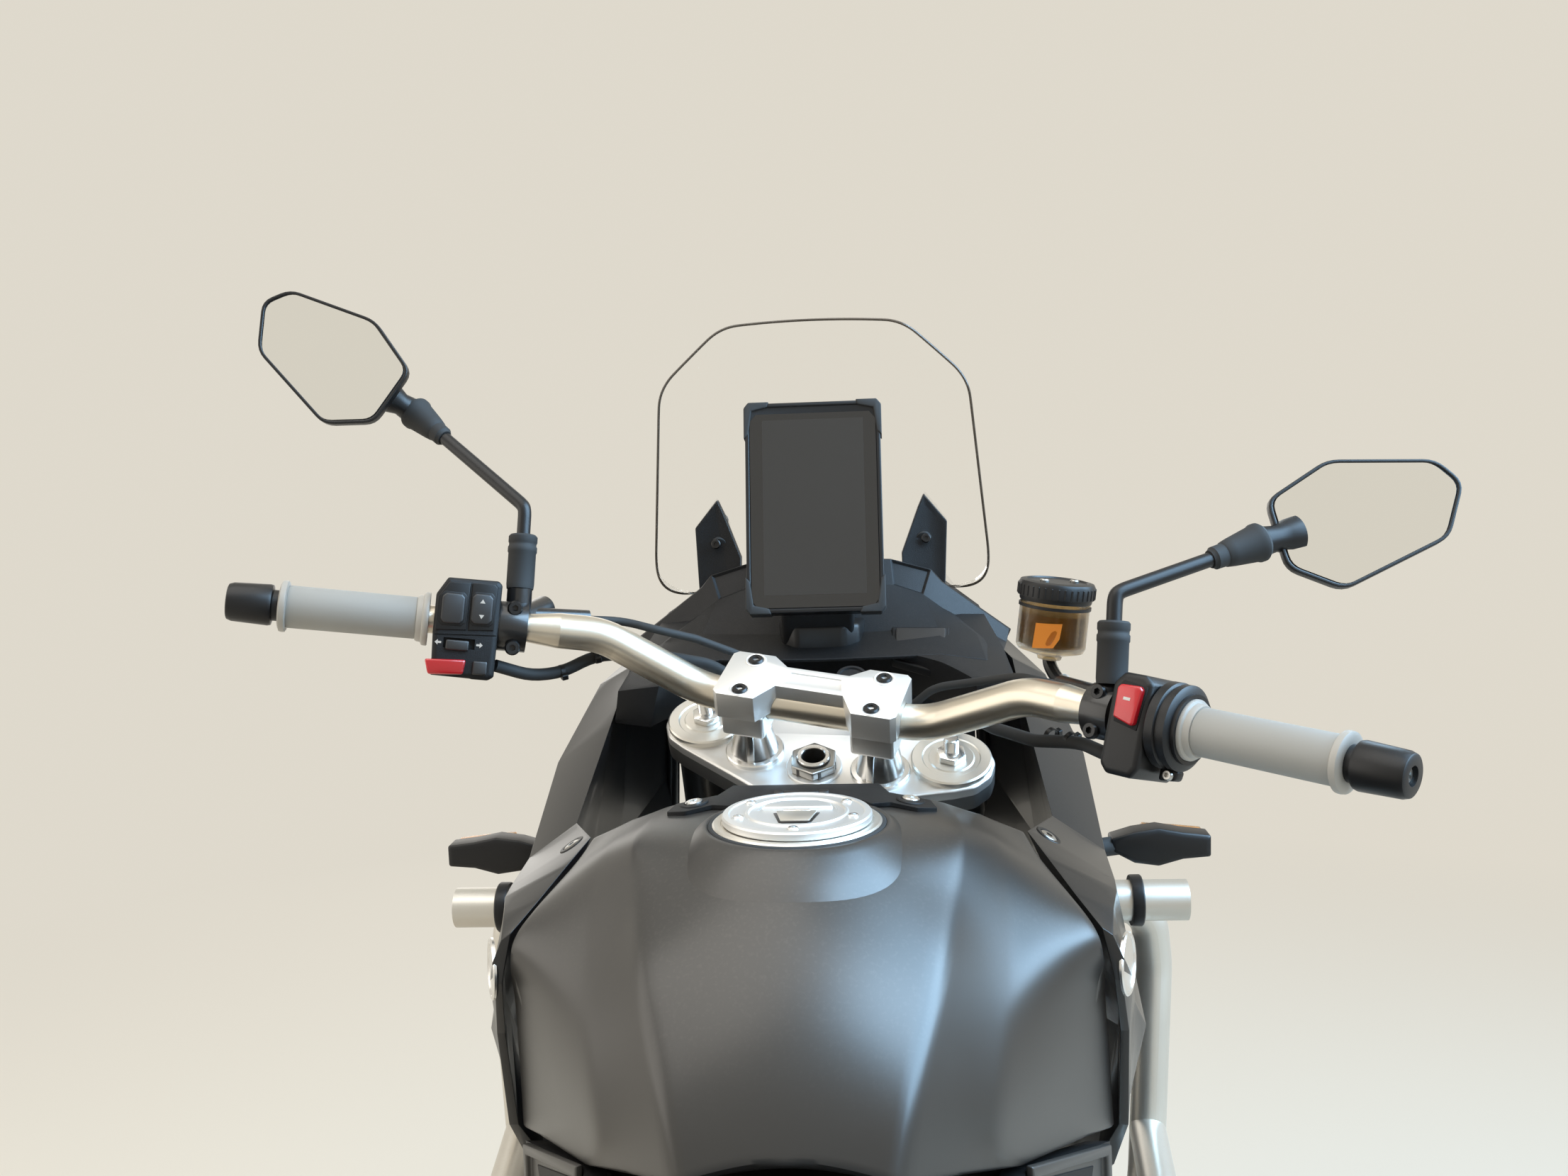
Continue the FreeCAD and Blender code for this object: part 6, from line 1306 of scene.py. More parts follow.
@dataclass
class Tank:
    """The painted tank with its soft creases, the filler in its raised collar and the black panel before it."""

    cap_y: float = 141.0
    cap_z: float = 1003.0
    seat_r: float = 57.0
    well_r: float = 154.0
    well_back: float = -86.0

    def cover(self) -> None:
        """Model the cover from its net of points, with creases softened by subdivision."""
        rings = [[*row, *((-x, y, z) for x, y, z in reversed(row) if x > 0)] for row in TANK_ROWS]
        columns = len(rings[0])
        deselect()
        bpy.ops.mesh.primitive_grid_add(x_subdivisions=columns, y_subdivisions=len(rings) - 1, size=1.0)
        cover = Piece("tank_shell")
        mesh = cover.obj.data
        for index, vertex in enumerate(mesh.vertices):
            row, column = divmod(index, columns + 1)
            vertex.co = rings[row][column % columns]
        with cover.editing():
            bpy.ops.mesh.remove_doubles(threshold=0.01)
            bpy.ops.mesh.fill_holes(sides=0)
            bpy.ops.mesh.normals_make_consistent(inside=False)
        creased = {1: 0.72, 2: 0.55, 3: 0.8, 4: 0.6}
        known = {tuple(round(c) for c in ring[column]): column for ring in rings for column in range(columns)}
        values = []
        for edge in mesh.edges:
            one, two = (known.get(tuple(round(c) for c in mesh.vertices[v].co), -1) for v in edge.vertices)
            column = min(one, columns - one)
            values.append(creased.get(column, 0.0) if one == two else 0.0)
        layer = mesh.attributes.new("crease_edge", "FLOAT", "EDGE")
        layer.data.foreach_set("value", values)
        rims = {tuple(round(c) for c in spot) for ring in (rings[0], rings[-1]) for spot in ring}
        for edge in mesh.edges:
            corners = [mesh.vertices[v].co for v in edge.vertices]
            on_rim = all(tuple(round(c) for c in corner) in rims for corner in corners)
            if on_rim and min(corner.y for corner in corners) > -60:
                layer.data[edge.index].value = 0.85
        for _ in range(2):
            trial = cover.copy("tank_trial").subdivide(3)
            drawn = [spot.co - corner.co for spot, corner in zip(trial.obj.data.vertices, mesh.vertices)]
            bpy.data.objects.remove(trial.obj)
            for corner, pull in zip(mesh.vertices, drawn):
                corner.co -= pull * 0.5
        cover.subdivide(4)
        seat = Piece.cylinder("filler_room", self.seat_r + 2.5, self.cap_z - 10, self.cap_z + 40,
                              (0, self.cap_y), 96)
        arc = [(self.well_r * math.cos(math.radians(a)), self.well_r * math.sin(math.radians(a)))
               for a in range(-30, 211, 6)]
        arc += [(-130.0, self.well_back), (130.0, self.well_back)]
        well = Piece.plate("clamp_room", [p for p in arc if p[1] >= self.well_back], -360, 40).place(HEAD)
        cover.cut(seat, well)
        cover.fit(WORLD, "chassis", SATIN_PAINT, ["tank_cover"], 40)

    def collar(self) -> None:
        """Model the soft raised collar round the filler and the dark seal in it."""
        at = Matrix.Translation((0, self.cap_y, self.cap_z))
        collar = Piece.turned("filler_collar",
                              [(59.3, -20), (96, -30), (84, -17), (75, -8.5), (68, -3.2), (63.6, 0.2),
                               (61.2, 1.0), (59.6, 0.6), (59.2, -0.6)], 96, ring=True)
        collar.fit(at, "chassis", SATIN_PAINT, angle=60)
        seal = Piece.turned("filler_seal",
                            [(55.2, -10), (59.2, -10), (59.2, 0.5), (58.2, 1.2), (56.2, 1.2), (55.2, 0.4)], 96,
                            ring=True)
        seal.fit(at, "chassis", RUBBER)

    def filler(self) -> None:
        """Model the turned ring, the lid with its flap over the lock, its screws and its hinge."""
        at = Matrix.Translation((0, self.cap_y, self.cap_z))
        ring = Piece.turned("filler_neck",
                            [(30.2, -9), (56.4, -9), (56.4, 1.4), (55.2, 2.4), (51, 2.4), (50.6, 1.9),
                             (30.2, 1.9)], 96, ring=True)
        ring.fit(at, "chassis", TURNED_ALLOY, ["filler_ring"])
        base = 2.5
        profile = [(0, base - 9), (27.4, base - 9), (27.4, base), (49.2, base), (49.9, base + 0.8),
                   (49.9, base + 4.4), (49.0, base + 5.6), (45.4, base + 6.0),
                   (44.6, base + 5.2), (34.5, base + 5.2), (33.7, base + 6.2), (32.4, base + 6.4),
                   (31.6, base + 5.0), (0, base + 5.0)]
        lid = Piece.turned("filler_cap", profile, 96)
        outline = [(-27, 5), (-24, 18), (-14, 26), (14, 26), (24, 18), (27, 5)]
        lid.cut(Piece.plate("flap_gap", outline, base + 4.0, base + 9))
        lid.fit(at, "filler_lid", MACHINED, ["filler_lid"])
        lip = Piece.plate("cap_lip", [(-24, 7), (-21.6, 16.8), (-12.8, 24), (12.8, 24), (21.6, 16.8), (24, 7)],
                          base + 3.8, base + 6.9)
        lip.bevel(1.6, 3, 25).fit(at, "filler_lid", MACHINED)
        frame = [(-15.5, -2), (-10.6, -24.4), (-8.2, -26), (8.2, -26), (10.6, -24.4), (15.5, -2)]
        Piece.plate("lock_frame", frame, base + 4.6, base + 5.5).bevel(0.5, 2,
                                                                       25).fit(at, "filler_lid", DARK_STEEL)
        flap = Piece.plate("lock_flap", [(-13.6, -0.4), (-9.4, -22.4), (9.4, -22.4), (13.6, -0.4)], base + 4.8,
                           base + 6.5)
        flap.bevel(0.8, 2, 25).fit(at, "filler_lid", TURNED_ALLOY)
        barrel = Piece.cylinder("flap_barrel", 1.5, -9, 9, sides=20).bevel(0.4, 2)
        barrel.fit(at @ Matrix.Translation((0, 1.2, base + 5.4)) @ Matrix.Rotation(math.radians(90), 4, "Y"),
                   "filler_lid", CHROME)
        for number, turn in enumerate((-90, -18, 35, 145, 198)):
            x, y = 39.6 * math.cos(math.radians(turn)), 39.6 * math.sin(math.radians(turn))
            bolt(f"cap_bolt_{number}", 3.6, 1.9, 0.5).fit(at @ Matrix.Translation((x, y, base + 5.0)),
                                                          "filler_lid", CHROME)
        knuckle = Piece.cylinder("lid_knuckle", 2.8, -12, 12, sides=24).bevel(0.5, 2)
        hinge = Matrix.Translation((0, 194.4, 1008.4)) @ Matrix.Rotation(math.radians(90), 4, "Y")
        knuckle.fit(hinge, "filler_lid", DARK_STEEL)
        tongue = Piece.box("lid_tongue", (-11, 188, 1006.2), (11, 194, 1009.6)).bevel(0.8, 2)
        tongue.fit(WORLD, "filler_lid", MACHINED)
        for side in SIDES:
            ear = Piece.cylinder(f"hinge_ear_{'lr'[side > 0]}", 3.0, 12.4, 19.0, sides=24).bevel(0.5, 2)
            ear.join(Piece.box("ear_foot", (0.0, -2.4, 12.4), (6.0, 2.4, 19.0)))
            turned = Matrix.Rotation(math.radians(90 * side), 4, "Y")
            flipped = Matrix.Rotation(math.radians(180 if side < 0 else 0), 4, "Z")
            ear.fit(Matrix.Translation((0, 194.4, 1008.4)) @ turned @ flipped, "chassis", DARK_STEEL)

    def bridge(self) -> None:
        """Model the black panel before the filler with its two screwed ears."""
        arc = [(62.0 * math.cos(math.radians(a)), self.cap_y + 62.0 * math.sin(math.radians(a)))
               for a in range(38, 143, 8)]
        outline = [(-62, 186), (-80, 178), (-94, 184), (-90, 203), (-62, 213), (-54, 244), (54, 244), (62, 213),
                   (90, 203), (94, 184), (80, 178), (62, 186)]
        panel = Piece.plate("tank_bridge", [*outline, *arc], 0.0, 3.2)
        with panel.faces(lambda middle, normal: abs(normal.z) > 0.9):
            bpy.ops.mesh.quads_convert_to_tris()
        panel.bevel(1.0, 2, 40)
        for vertex in panel.obj.data.vertices:
            vertex.co.z += 1004.2 - (abs(vertex.co.x) / 100.0) ** 2 * 8.4 - max(0.0, vertex.co.y - 205) * 0.06
        panel.fit(WORLD, "chassis", MATT_PLASTIC)
        for side in SIDES:
            word = "left" if side < 0 else "right"
            at = Matrix.Translation((side * 76, 195.5,
                                     1002.4)) @ Matrix.Rotation(math.radians(side * 9), 4, "Y")
            cup = Piece.turned(f"ear_cup_{word}",
                               [(6.4, -1), (10.2, -1), (10.2, 0.4), (9.4, 1.1), (7.0, 1.1), (6.4, 0.4)], 40,
                               ring=True)
            cup.fit(at, "chassis", MATT_PLASTIC)
            bolt(f"ear_screw_{word}", 6.2, 2.6, 0.48).fit(at, "chassis", CHROME)

    def trims(self) -> None:
        """Model the framed pockets below the knees, each with its bolt."""
        for side in SIDES:
            word = "left" if side < 0 else "right"
            corners = ((139.5, 72, 802), (206, 188, 755), (205.5, 190, 716), (147.5, 84, 724))
            across = (Vector(corners[1]) - Vector(corners[0])).normalized()
            upward = Vector((0, 0, 1))
            outward = across.cross(upward).normalized()
            upward = outward.cross(across)
            at = frame_of(corners[0], across, upward, outward)
            flat = [at.inverted() @ Vector(c) for c in corners]
            outline = [(p.x, p.y) for p in flat]
            frame = Piece.plate(f"knee_frame_{word}", outline, 0.0, 5.5)
            frame.inset(lambda middle, normal: normal.z > 0.9, 7.5, 0.0)
            frame.inset(lambda middle, normal: normal.z > 0.9 and middle.y < -12 and 30 < middle.x < 100, 0.4,
                        -4.6)
            mirror = Matrix.Scale(side, 4, (1, 0, 0))
            frame.bevel(1.6, 3, 30).fit(mirror @ at, "chassis",
                                        Finish("trim_grey", "gloss_plastic", (0.085, 0.083, 0.08), 0.4,
                                               metallic=0.3, relief=0.04))
            pocket = Piece.plate(f"knee_pocket_{word}", [(13, -11), (120, -13), (118, -36), (20, -60)], 0.4,
                                 1.6)
            pocket.bevel(0.4, 1).fit(mirror @ at, "chassis", MATT_PLASTIC)
            bolt(f"knee_bolt_{word}", 6.5, 3.5, 0.5).fit(mirror @ at @ Matrix.Translation((36, -32, 1.4)),
                                                         "chassis", DARK_STEEL)

    def build(self) -> None:
        """Build the tank and all that sits on it."""
        self.cover()
        self.collar()
        self.filler()
        self.bridge()
        self.trims()


@dataclass
class Cockpit:
    """The dash, the upright display, the screen's horns and what is fixed to the fairings."""

    half_width: float = 62.5
    low: Flat = (475.0, 1098.0)
    high: Flat = (528.0, 1286.0)
    foot: Flat = (677.3, 1109.4)
    lean: float = math.radians(24.0)
    bend: float = 310.0

    def display_place(self) -> Matrix:
        """A place on the display's face: right, up along it, and towards the rider."""
        rise = Vector((0, self.high[0] - self.low[0], self.high[1] - self.low[1])).normalized()
        return frame_of((0, *self.low), (1, 0, 0), tuple(rise), tuple(Vector((1, 0, 0)).cross(rise)))

    def display(self) -> None:
        """Model the display's body, its bumpers at the corners, its glass and the darker field on it."""
        at = self.display_place()
        tall = math.dist(self.low, self.high)
        half = self.half_width - 1.0
        outline = [(-half, 8), (-half + 6, 1), (half - 6, 1), (half, 8), (half, tall - 8), (half - 6, tall - 1),
                   (-half + 6, tall - 1), (-half, tall - 8)]
        body = Piece.plate("display_body", outline, -20.0, -1.2)
        body.inset(lambda middle, normal: normal.z > 0.9, 3.4, 0.0)
        body.inset(lambda middle, normal: normal.z > 0.9 and abs(middle.x) < 8 and 60 < middle.y < 140, 0.3,
                   -1.3)
        body.bevel(1.4, 3, 24)
        stem = Piece.plate("display_stem", [(492, 1108), (512, 1190), (548, 1190), (562, 1060), (512, 1060)],
                           -33, 33)
        stem.place(frame_of((0, 0, 0), (0, 1, 0), (0, 0, 1), (1, 0, 0)))
        stem.bevel(5.0, 3).fit(WORLD, "chassis", MATT_PLASTIC)
        body.fit(at, "chassis", SMOOTH_PLASTIC, ["display"])
        glass = Piece.plate("display_glass",
                            [(x * 0.93, 6.2 + (y - 8) * 0.955 if y > 8 else y + 4.6) for x, y in outline], -2.6,
                            -1.9)
        glass.fit(at, "chassis", DISPLAY_GLASS)
        field = Piece.plate("display_field", [(-46, 17), (46, 17), (46, tall - 17), (-46, tall - 17)], -1.95,
                            -1.75)
        field.fit(at, "chassis", DISPLAY_FIELD)
        corner = [(half - 22, tall + 0.2), (half - 3, tall + 0.2), (half + 1.2, tall - 5),
                  (half + 1.2, tall - 34), (half - 3, tall - 30), (half - 6, tall - 8), (half - 20, tall - 5)]
        for side in SIDES:
            for end in (0, 1):
                points = [(side * x, y if end else tall - y) for x, y in corner]
                name = f"bumper_{'lr'[side > 0]}{end}"
                Piece.plate(name, points, -19.4, -0.2).bevel(1.2, 3, 24).fit(at, "chassis", RUBBER)

    def dash_details(self, nodes: dict[str, bpy.types.Object]) -> None:
        """Model the dash's edge, its socket flap, the block under the display and the key's ring."""
        Piece.softened("dash_panel", nodes["dash"], 2.2, 24).fit(WORLD, "chassis", MATT_PLASTIC, ["dash"])
        flap = [Vector(p) for p in ((70.5, 531.1, 1070.7), (116.4, 530.5, 1069.6), (113.2, 467.1, 1054.4),
                                    (69.6, 492.9, 1051))]
        across = (flap[1] - flap[0]).normalized()
        away = (flap[0] - flap[3]).normalized()
        outward = across.cross(away).normalized()
        at = frame_of(flap[3], across, outward.cross(across), outward)
        inverse = at.inverted()
        outline = [tuple((inverse @ corner).xy) for corner in (flap[3], flap[2], flap[1], flap[0])]
        middle = Vector((sum(p[0] for p in outline) / 4, sum(p[1] for p in outline) / 4))
        rim = [tuple(middle + (Vector(p) - middle) * 1.16) for p in outline]
        Piece.plate("socket_rim", rim, -6.0, 3.2).bevel(1.6, 3).fit(at, "chassis", MATT_PLASTIC)
        Piece.plate("socket_gap", [tuple(middle + (Vector(p) - middle) * 1.03) for p in outline], 2.6,
                    3.5).fit(at, "chassis", RUBBER)
        Piece.plate("socket_flap", outline, 2.6, 5.4).bevel(1.4, 3).fit(at, "chassis", BUTTON_PLASTIC)
        block = Piece.plate("display_foot",
                            [(-42, 563), (45, 560), (38, 512), (24, 502), (-20, 502), (-34, 514)], 1050, 1083)
        block.bevel(4.0, 3).fit(WORLD, "chassis", SMOOTH_PLASTIC)
        ring = [(0, 0), (13.5, 0), (14.4, 1.6), (13.2, 5.6), (12.6, 6.6), (10.2, 6.6), (9.6, 5.2), (0, 5.2)]
        Piece.turned("key_lock", ring, 48).fit(PARKED @ Matrix.Translation((8, 88, 26)), "steering",
                                               MATT_PLASTIC)
        self.hood()

    def hood(self) -> None:
        """Model the raised hood round the display: its sloped inner face, its rim and two pockets."""
        rows = ((478, (0, 1056), (74, 1057), (110, 1058), (150, 1052), (167, 1042)),
                (532, (0, 1070), (74, 1072), (110, 1073), (146, 1066), (170, 1052)),
                (574, (0, 1112), (70, 1110), (98, 1100), (116, 1086), (176, 1052)),
                (588, (0, 1136), (68, 1133), (106, 1122), (116, 1110), (180, 1062)),
                (592, (0, 1136), (68, 1133), (107, 1122), (117, 1110), (182, 1062)),
                (596, (0, 1132), (66, 1129), (104, 1118), (114, 1106), (180, 1056)),
                (632, (0, 1106), (60, 1105), (92, 1100), (104, 1092), (156, 1040)))
        net = [[(x * way, y, z) for way, run in ((-1, row[:0:-1]), (1, row)) for x, z in run] for y,
               *row in rows]
        hood = Piece.sheet("dash_hood", net, -3.0)
        with hood.faces(lambda middle,
                        normal: normal.y < -0.2 and 576 < middle.y < 585 and 70 < abs(middle.x) < 104):
            bpy.ops.mesh.inset(thickness=4.0, depth=-5.0, use_individual=True)
        hood.bevel(1.5, 3, 14)
        hood.fit(WORLD, "chassis", MATT_PLASTIC)

    def brackets(self) -> None:
        """Model the two blades that hold the screen, with their ribs, pads and screws."""
        for side in SIDES:
            word = "left" if side < 0 else "right"
            outline = [(side * 102, 1193), (side * 96, 1180), (side * 79, 1136), (side * 80, 1074),
                       (side * 118, 1070), (side * 121, 1112), (side * 124, 1166)]
            blade = Piece.plate(f"horn_{word}", outline, -7.0, 7.0)
            blade.inset(lambda middle, normal: normal.z > 0.9, 5.0, -1.6)
            blade.place(frame_of((0, 615, 0), (1, 0, 0), (0, 0, 1), (0, -1, 0)))
            for vertex in blade.obj.data.vertices:
                vertex.co.y += (vertex.co.z - 1060) * 0.22 - 12
            blade.bevel(1.4, 3, 24)
            blade.fit(WORLD, "chassis", MATT_PLASTIC, ["screen_brackets"] if side < 0 else [])
            pad = Piece.cylinder(f"screen_pad_{word}", 8.0, 0, 64, sides=32).bevel(1.0, 2)
            pad.fit(standing((side * 101, 618, 1148), (side * 0.06, 0.94, 0.34)), "chassis", RUBBER)
            bolt(f"horn_screw_{word}", 4.6, 2.6, 0.5).fit(standing((side * 103, 613, 1150), (0, -1, 0.2)),
                                                          "chassis", DARK_STEEL)

    def screen_edge(self) -> None:
        """Model the darker cut edge that runs round the screen."""
        rise = self.foot[1] * math.cos(self.lean) - self.foot[0] * math.sin(self.lean)
        ahead = self.foot[0] * math.cos(self.lean) + self.foot[1] * math.sin(self.lean)
        corners = [Vector(p) for p in ((-169, 0), (-143, 227), (-84, 276), (84, 276), (143, 227), (169, 0))]
        line: list[Point] = []
        for index, here in enumerate(corners):
            before, after = corners[index - 1], corners[(index + 1) % len(corners)]
            half = (before - here).angle(after - here) / 2
            reach = min(46.0 / math.tan(half), (before - here).length * 0.48, (after - here).length * 0.48)
            first = here + (before - here).normalized() * reach
            last = here + (after - here).normalized() * reach
            for step in range(6):
                spot = first.lerp(here, step / 5).lerp(here.lerp(last, step / 5), step / 5)
                line.append((spot.x, 0.0, rise + spot.y))
        fine: list[Point] = []
        for one, two in zip(line, line[1:] + line[:1]):
            count = max(1, round(math.dist(one, two) / 24.0))
            for step in range(count):
                x, z = one[0] + (two[0] - one[0]) * step / count, one[2] + (two[2] - one[2]) * step / count
                fine.append((x, ahead - self.bend + math.sqrt((self.bend - 2.0) ** 2 - x ** 2), z))
        edge = Piece.pipe("screen_edge", [*fine, fine[0]], 1.3, 2)
        edge.fit(Matrix.Rotation(self.lean, 4, "X"), "chassis",
                 Finish("screen_rim", "clear", (0.13, 0.11, 0.09), 0.2, relief=0.0, dust=0.0))

    def indicators(self) -> None:
        """Model the four indicators: a tapered stalk, a blade-shaped body and an amber lens."""
        blade = [(0, 3), (20, 9), (41, 12), (62, 8), (86, 5), (86, -14), (62, -16), (41, -22), (20, -19),
                 (0, -8)]
        for side in SIDES:
            word = "left" if side < 0 else "right"
            at = frame_of((side * 254, 474, 891), (side, 0, 0), (0, 0, 1), (0, -1, 0))
            body = Piece.plate(f"indicator_front_{word}", blade, -2, 20)
            body.inset(lambda middle, normal: normal.z > 0.9, 4.5, 1.5)
            body.bevel(1.6, 3, 24)
            body.fit(at, "chassis", SMOOTH_PLASTIC, ["indicators"] if side < 0 else [])
            lens = Piece.plate(f"indicator_lens_{word}",
                               [(30, 9), (60, 6.5), (84, 4), (84, -12), (60, -13), (30, -17)], -14,
                               -2.2).bevel(2.5, 3, 24)
            lens.fit(at, "chassis", LENS_AMBER)
            stalk = Piece.pipe(f"indicator_stalk_{word}",
                               [(side * 222, 452, 884), (side * 240, 458, 885), (side * 266, 464, 886)], 8.5, 4)
            stalk.fit(WORLD, "chassis", RUBBER)
            rear = Piece.box(f"indicator_rear_{word}", (min(side * 150, side * 200), -938, 782),
                             (max(side * 150, side * 200), -906, 812)).bevel(5.0, 3)
            rear.fit(WORLD, "chassis", SMOOTH_PLASTIC)
            glass = Piece.box(f"indicator_rear_lens_{word}", (min(side * 154, side * 198), -952, 785),
                              (max(side * 154, side * 198), -937.5, 809)).bevel(4.0, 3)
            glass.fit(WORLD, "chassis", LENS_AMBER)
            arm = Piece.pipe(f"indicator_rear_stalk_{word}",
                             [(side * 86, -930, 800), (side * 120, -928, 799), (side * 154, -924, 798)], 7.5, 4)
            arm.fit(WORLD, "chassis", RUBBER)

    def fairing_details(self, nodes: dict[str, bpy.types.Object]) -> None:
        """Round the fairings' edges and add their screws, discs and the collars of the crash bars."""
        Piece.softened("fairing_skins", nodes["fairings"], 3.0, 10).fit(WORLD, "chassis", GLOSS_PAINT,
                                                                        ["fairings"])
        for side, place, lean in ((-1.0, (-177.5, 249.7, 957.5), (-0.50, -0.05, 0.86)),
                                  (1.0, (177.2, 254.2, 958), (0.53, -0.09, 0.84))):
            word = "left" if side < 0 else "right"
            at = standing(place, lean)
            cup = Piece.turned(f"fairing_cup_{word}",
                               [(6.6, -1.5), (10.4, -1.5), (10.4, 0.3), (9.6, 0.9), (7.4, 0.6), (6.6, -0.6)],
                               40, ring=True)
            cup.fit(at, "chassis", SMOOTH_PLASTIC)
            bolt(f"fairing_screw_{word}", 6.4, 2.2, 0.45).fit(at @ Matrix.Translation((0, 0, -1)), "chassis",
                                                              BOLT_STEEL)
            disc = [(0, 0), (21.5, 0), (21.5, 1.6), (20.6, 2.6), (18.6, 2.6), (18.0, 1.8), (0, 1.8)]
            spot = standing((side * 218.5, 168, 894), (side * 0.93, -0.36, 0.05))
            Piece.turned(f"side_disc_{word}", disc, 64).fit(spot, "chassis", CHROME)
            collar = [(16.0, 0), (19.5, 0), (20.0, 1), (20.0, 8), (19.2, 9), (16.0, 9)]
            tube = standing((side * 247, 321, 885), (side, 0, 0))
            Piece.turned(f"crash_collar_{word}", collar, 56, ring=True).fit(tube, "chassis", SMOOTH_PLASTIC)
            # A thin dark disc in each crash bar's open end: painted shade inside the tube.
            tube_shade = Piece.turned(f"crash_tube_shade_{word}", [(0, 0.05), (13.2, 0.05), (13.2, 0.25), (0, 0.25)], 48)
            tube_shade.fit(standing((side * 290.9, 321, 885), (side, 0, 0)), "chassis", DARK_STEEL)

    def build(self, nodes: dict[str, bpy.types.Object]) -> None:
        """Build everything round the display."""
        self.display()
        self.dash_details(nodes)
        self.brackets()
        self.screen_edge()
        self.indicators()
        self.fairing_details(nodes)


@dataclass
class Perches:
    """The lever perches and the ties round the cables."""

    ties: tuple[Point, ...] = ((-184, -1, 84), (-204, -24, 80), (190, 6, 66), (206, -8, 76))

    def build(self, nodes: dict[str, bpy.types.Object]) -> None:
        """Round the perches' edges and put the ties on."""
        Piece.softened("perch_bodies", nodes["perches"], 1.2, 30).fit(WORLD, "steering", BLACK_PAINT,
                                                                      ["perches"])
        tie = Piece.turned("cable_tie", [(5.2, -1.7), (6.3, -1.7), (6.3, 1.7), (5.2, 1.7)], 28, ring=True)
        tie.join(Piece.box("tie_head", (5.4, -2.4, -2.6), (9.4, 2.4, 2.6)).bevel(0.5, 1))
        for number, place in enumerate(self.ties):
            tie.copy(f"cable_tie_{number}").fit(PARKED @ standing(place,
                                                                  (1 if place[0] > 0 else -1, -0.9, 0.1)),
                                                                  "steering", SMOOTH_PLASTIC)
        bpy.data.objects.remove(tie.obj)


@dataclass
class Seat:
    """The stepped seat: a padded cover swollen by cloth simulation, with its piping and seams."""

    voxel: float = 0.006
    drawn_in: float = 4.0
    swell: float = 0.009
    pressure: float = 4.0

    def inflate(self, cushion: Piece) -> None:
        """Swell the cover under pressure, held at its base, and cap how far it moves.

        Args:
            cushion: The seat on the bench, drawn in a little.
        """
        cushion.place(Matrix.Scale(MM, 4))
        remesh = cushion.obj.modifiers.new("even", "REMESH")
        remesh.mode = "VOXEL"
        remesh.voxel_size = self.voxel
        cushion.apply(remesh)
        mesh = cushion.obj.data
        start = [vertex.co.copy() for vertex in mesh.vertices]
        held = cushion.obj.vertex_groups.new(name="held")
        held.add([v.index for v in mesh.vertices if v.normal.z < -0.5], 1.0, "REPLACE")
        cloth = cushion.obj.modifiers.new("cover", "CLOTH")
        cloth.settings.vertex_group_mass = "held"
        cloth.settings.use_pressure = True
        cloth.settings.uniform_pressure_force = self.pressure
        cloth.settings.quality = 4
        cloth.settings.effector_weights.gravity = 0.0
        cloth.point_cache.frame_start, cloth.point_cache.frame_end = 1, 20
        for frame in range(1, 21):
            bpy.context.scene.frame_set(frame)
        cushion.apply(cloth)
        bpy.context.scene.frame_set(1)
        for vertex, first in zip(cushion.obj.data.vertices, start):
            push = vertex.co - first
            if push.length > self.swell:
                vertex.co = first + push.normalized() * self.swell
        cushion.place(Matrix.Scale(1 / MM, 4))

    def on_cover(self, cushion: Piece, line: Sequence[Flat], lift: float) -> list[Point]:
        """Drop a line of points onto the cover from above.

        Args:
            cushion: The cover.
            line: The points as (x, y).
            lift: How far over the cover they end.

        Returns:
            The points on the cover.
        """
        found: list[Point] = []
        for x, y in line:
            hit, spot, normal, _ = cushion.obj.ray_cast(Vector((x, y, 1200)), Vector((0, 0, -1)))
            if hit:
                found.append(tuple(spot + normal * lift))
        return found

    def build(self, nodes: dict[str, bpy.types.Object]) -> None:
        """Build the cover, the piping round its top and the seams across it."""
        cushion = Piece.softened("seat_cover", nodes["seat"], 13.0, 18.0, 4)
        thinner = cushion.obj.modifiers.new("thinner", "DISPLACE")
        thinner.strength = -self.drawn_in
        thinner.mid_level = 0.0
        cushion.apply(thinner)
        self.inflate(cushion)
        pieces = []
        edge = ((-96, 66), (-150, 84), (-250, 108), (-350, 140), (-425, 140))
        rear = ((-492, 128), (-560, 124), (-640, 108), (-708, 88))
        for side in SIDES:
            word = "left" if side < 0 else "right"
            for part, line in (("front", edge), ("rear", rear)):
                points = self.on_cover(cushion, [(side * x, y) for y, x in line], 0.6)
                pieces.append((Piece.pipe(f"seat_piping_{part}_{word}", points, 1.9, 2), SEAT_PIPING))
        for name, y, half in (("nose", -140, 66), ("middle", -300, 110), ("step", -430, 118),
                              ("rear", -600, 96)):
            points = self.on_cover(cushion, [(half * t / 4, y + 10 * abs(t) / 4) for t in range(-4, 5)], 0.5)
            pieces.append((Piece.pipe(f"seat_seam_{name}", points, 1.5, 2), SEAT_PIPING))
        cushion.subdivide(1)
        cushion.fit(WORLD, "chassis", SEAT_COVER, ["seat"], 60)
        for piece, finish in pieces:
            piece.fit(WORLD, "chassis", finish)


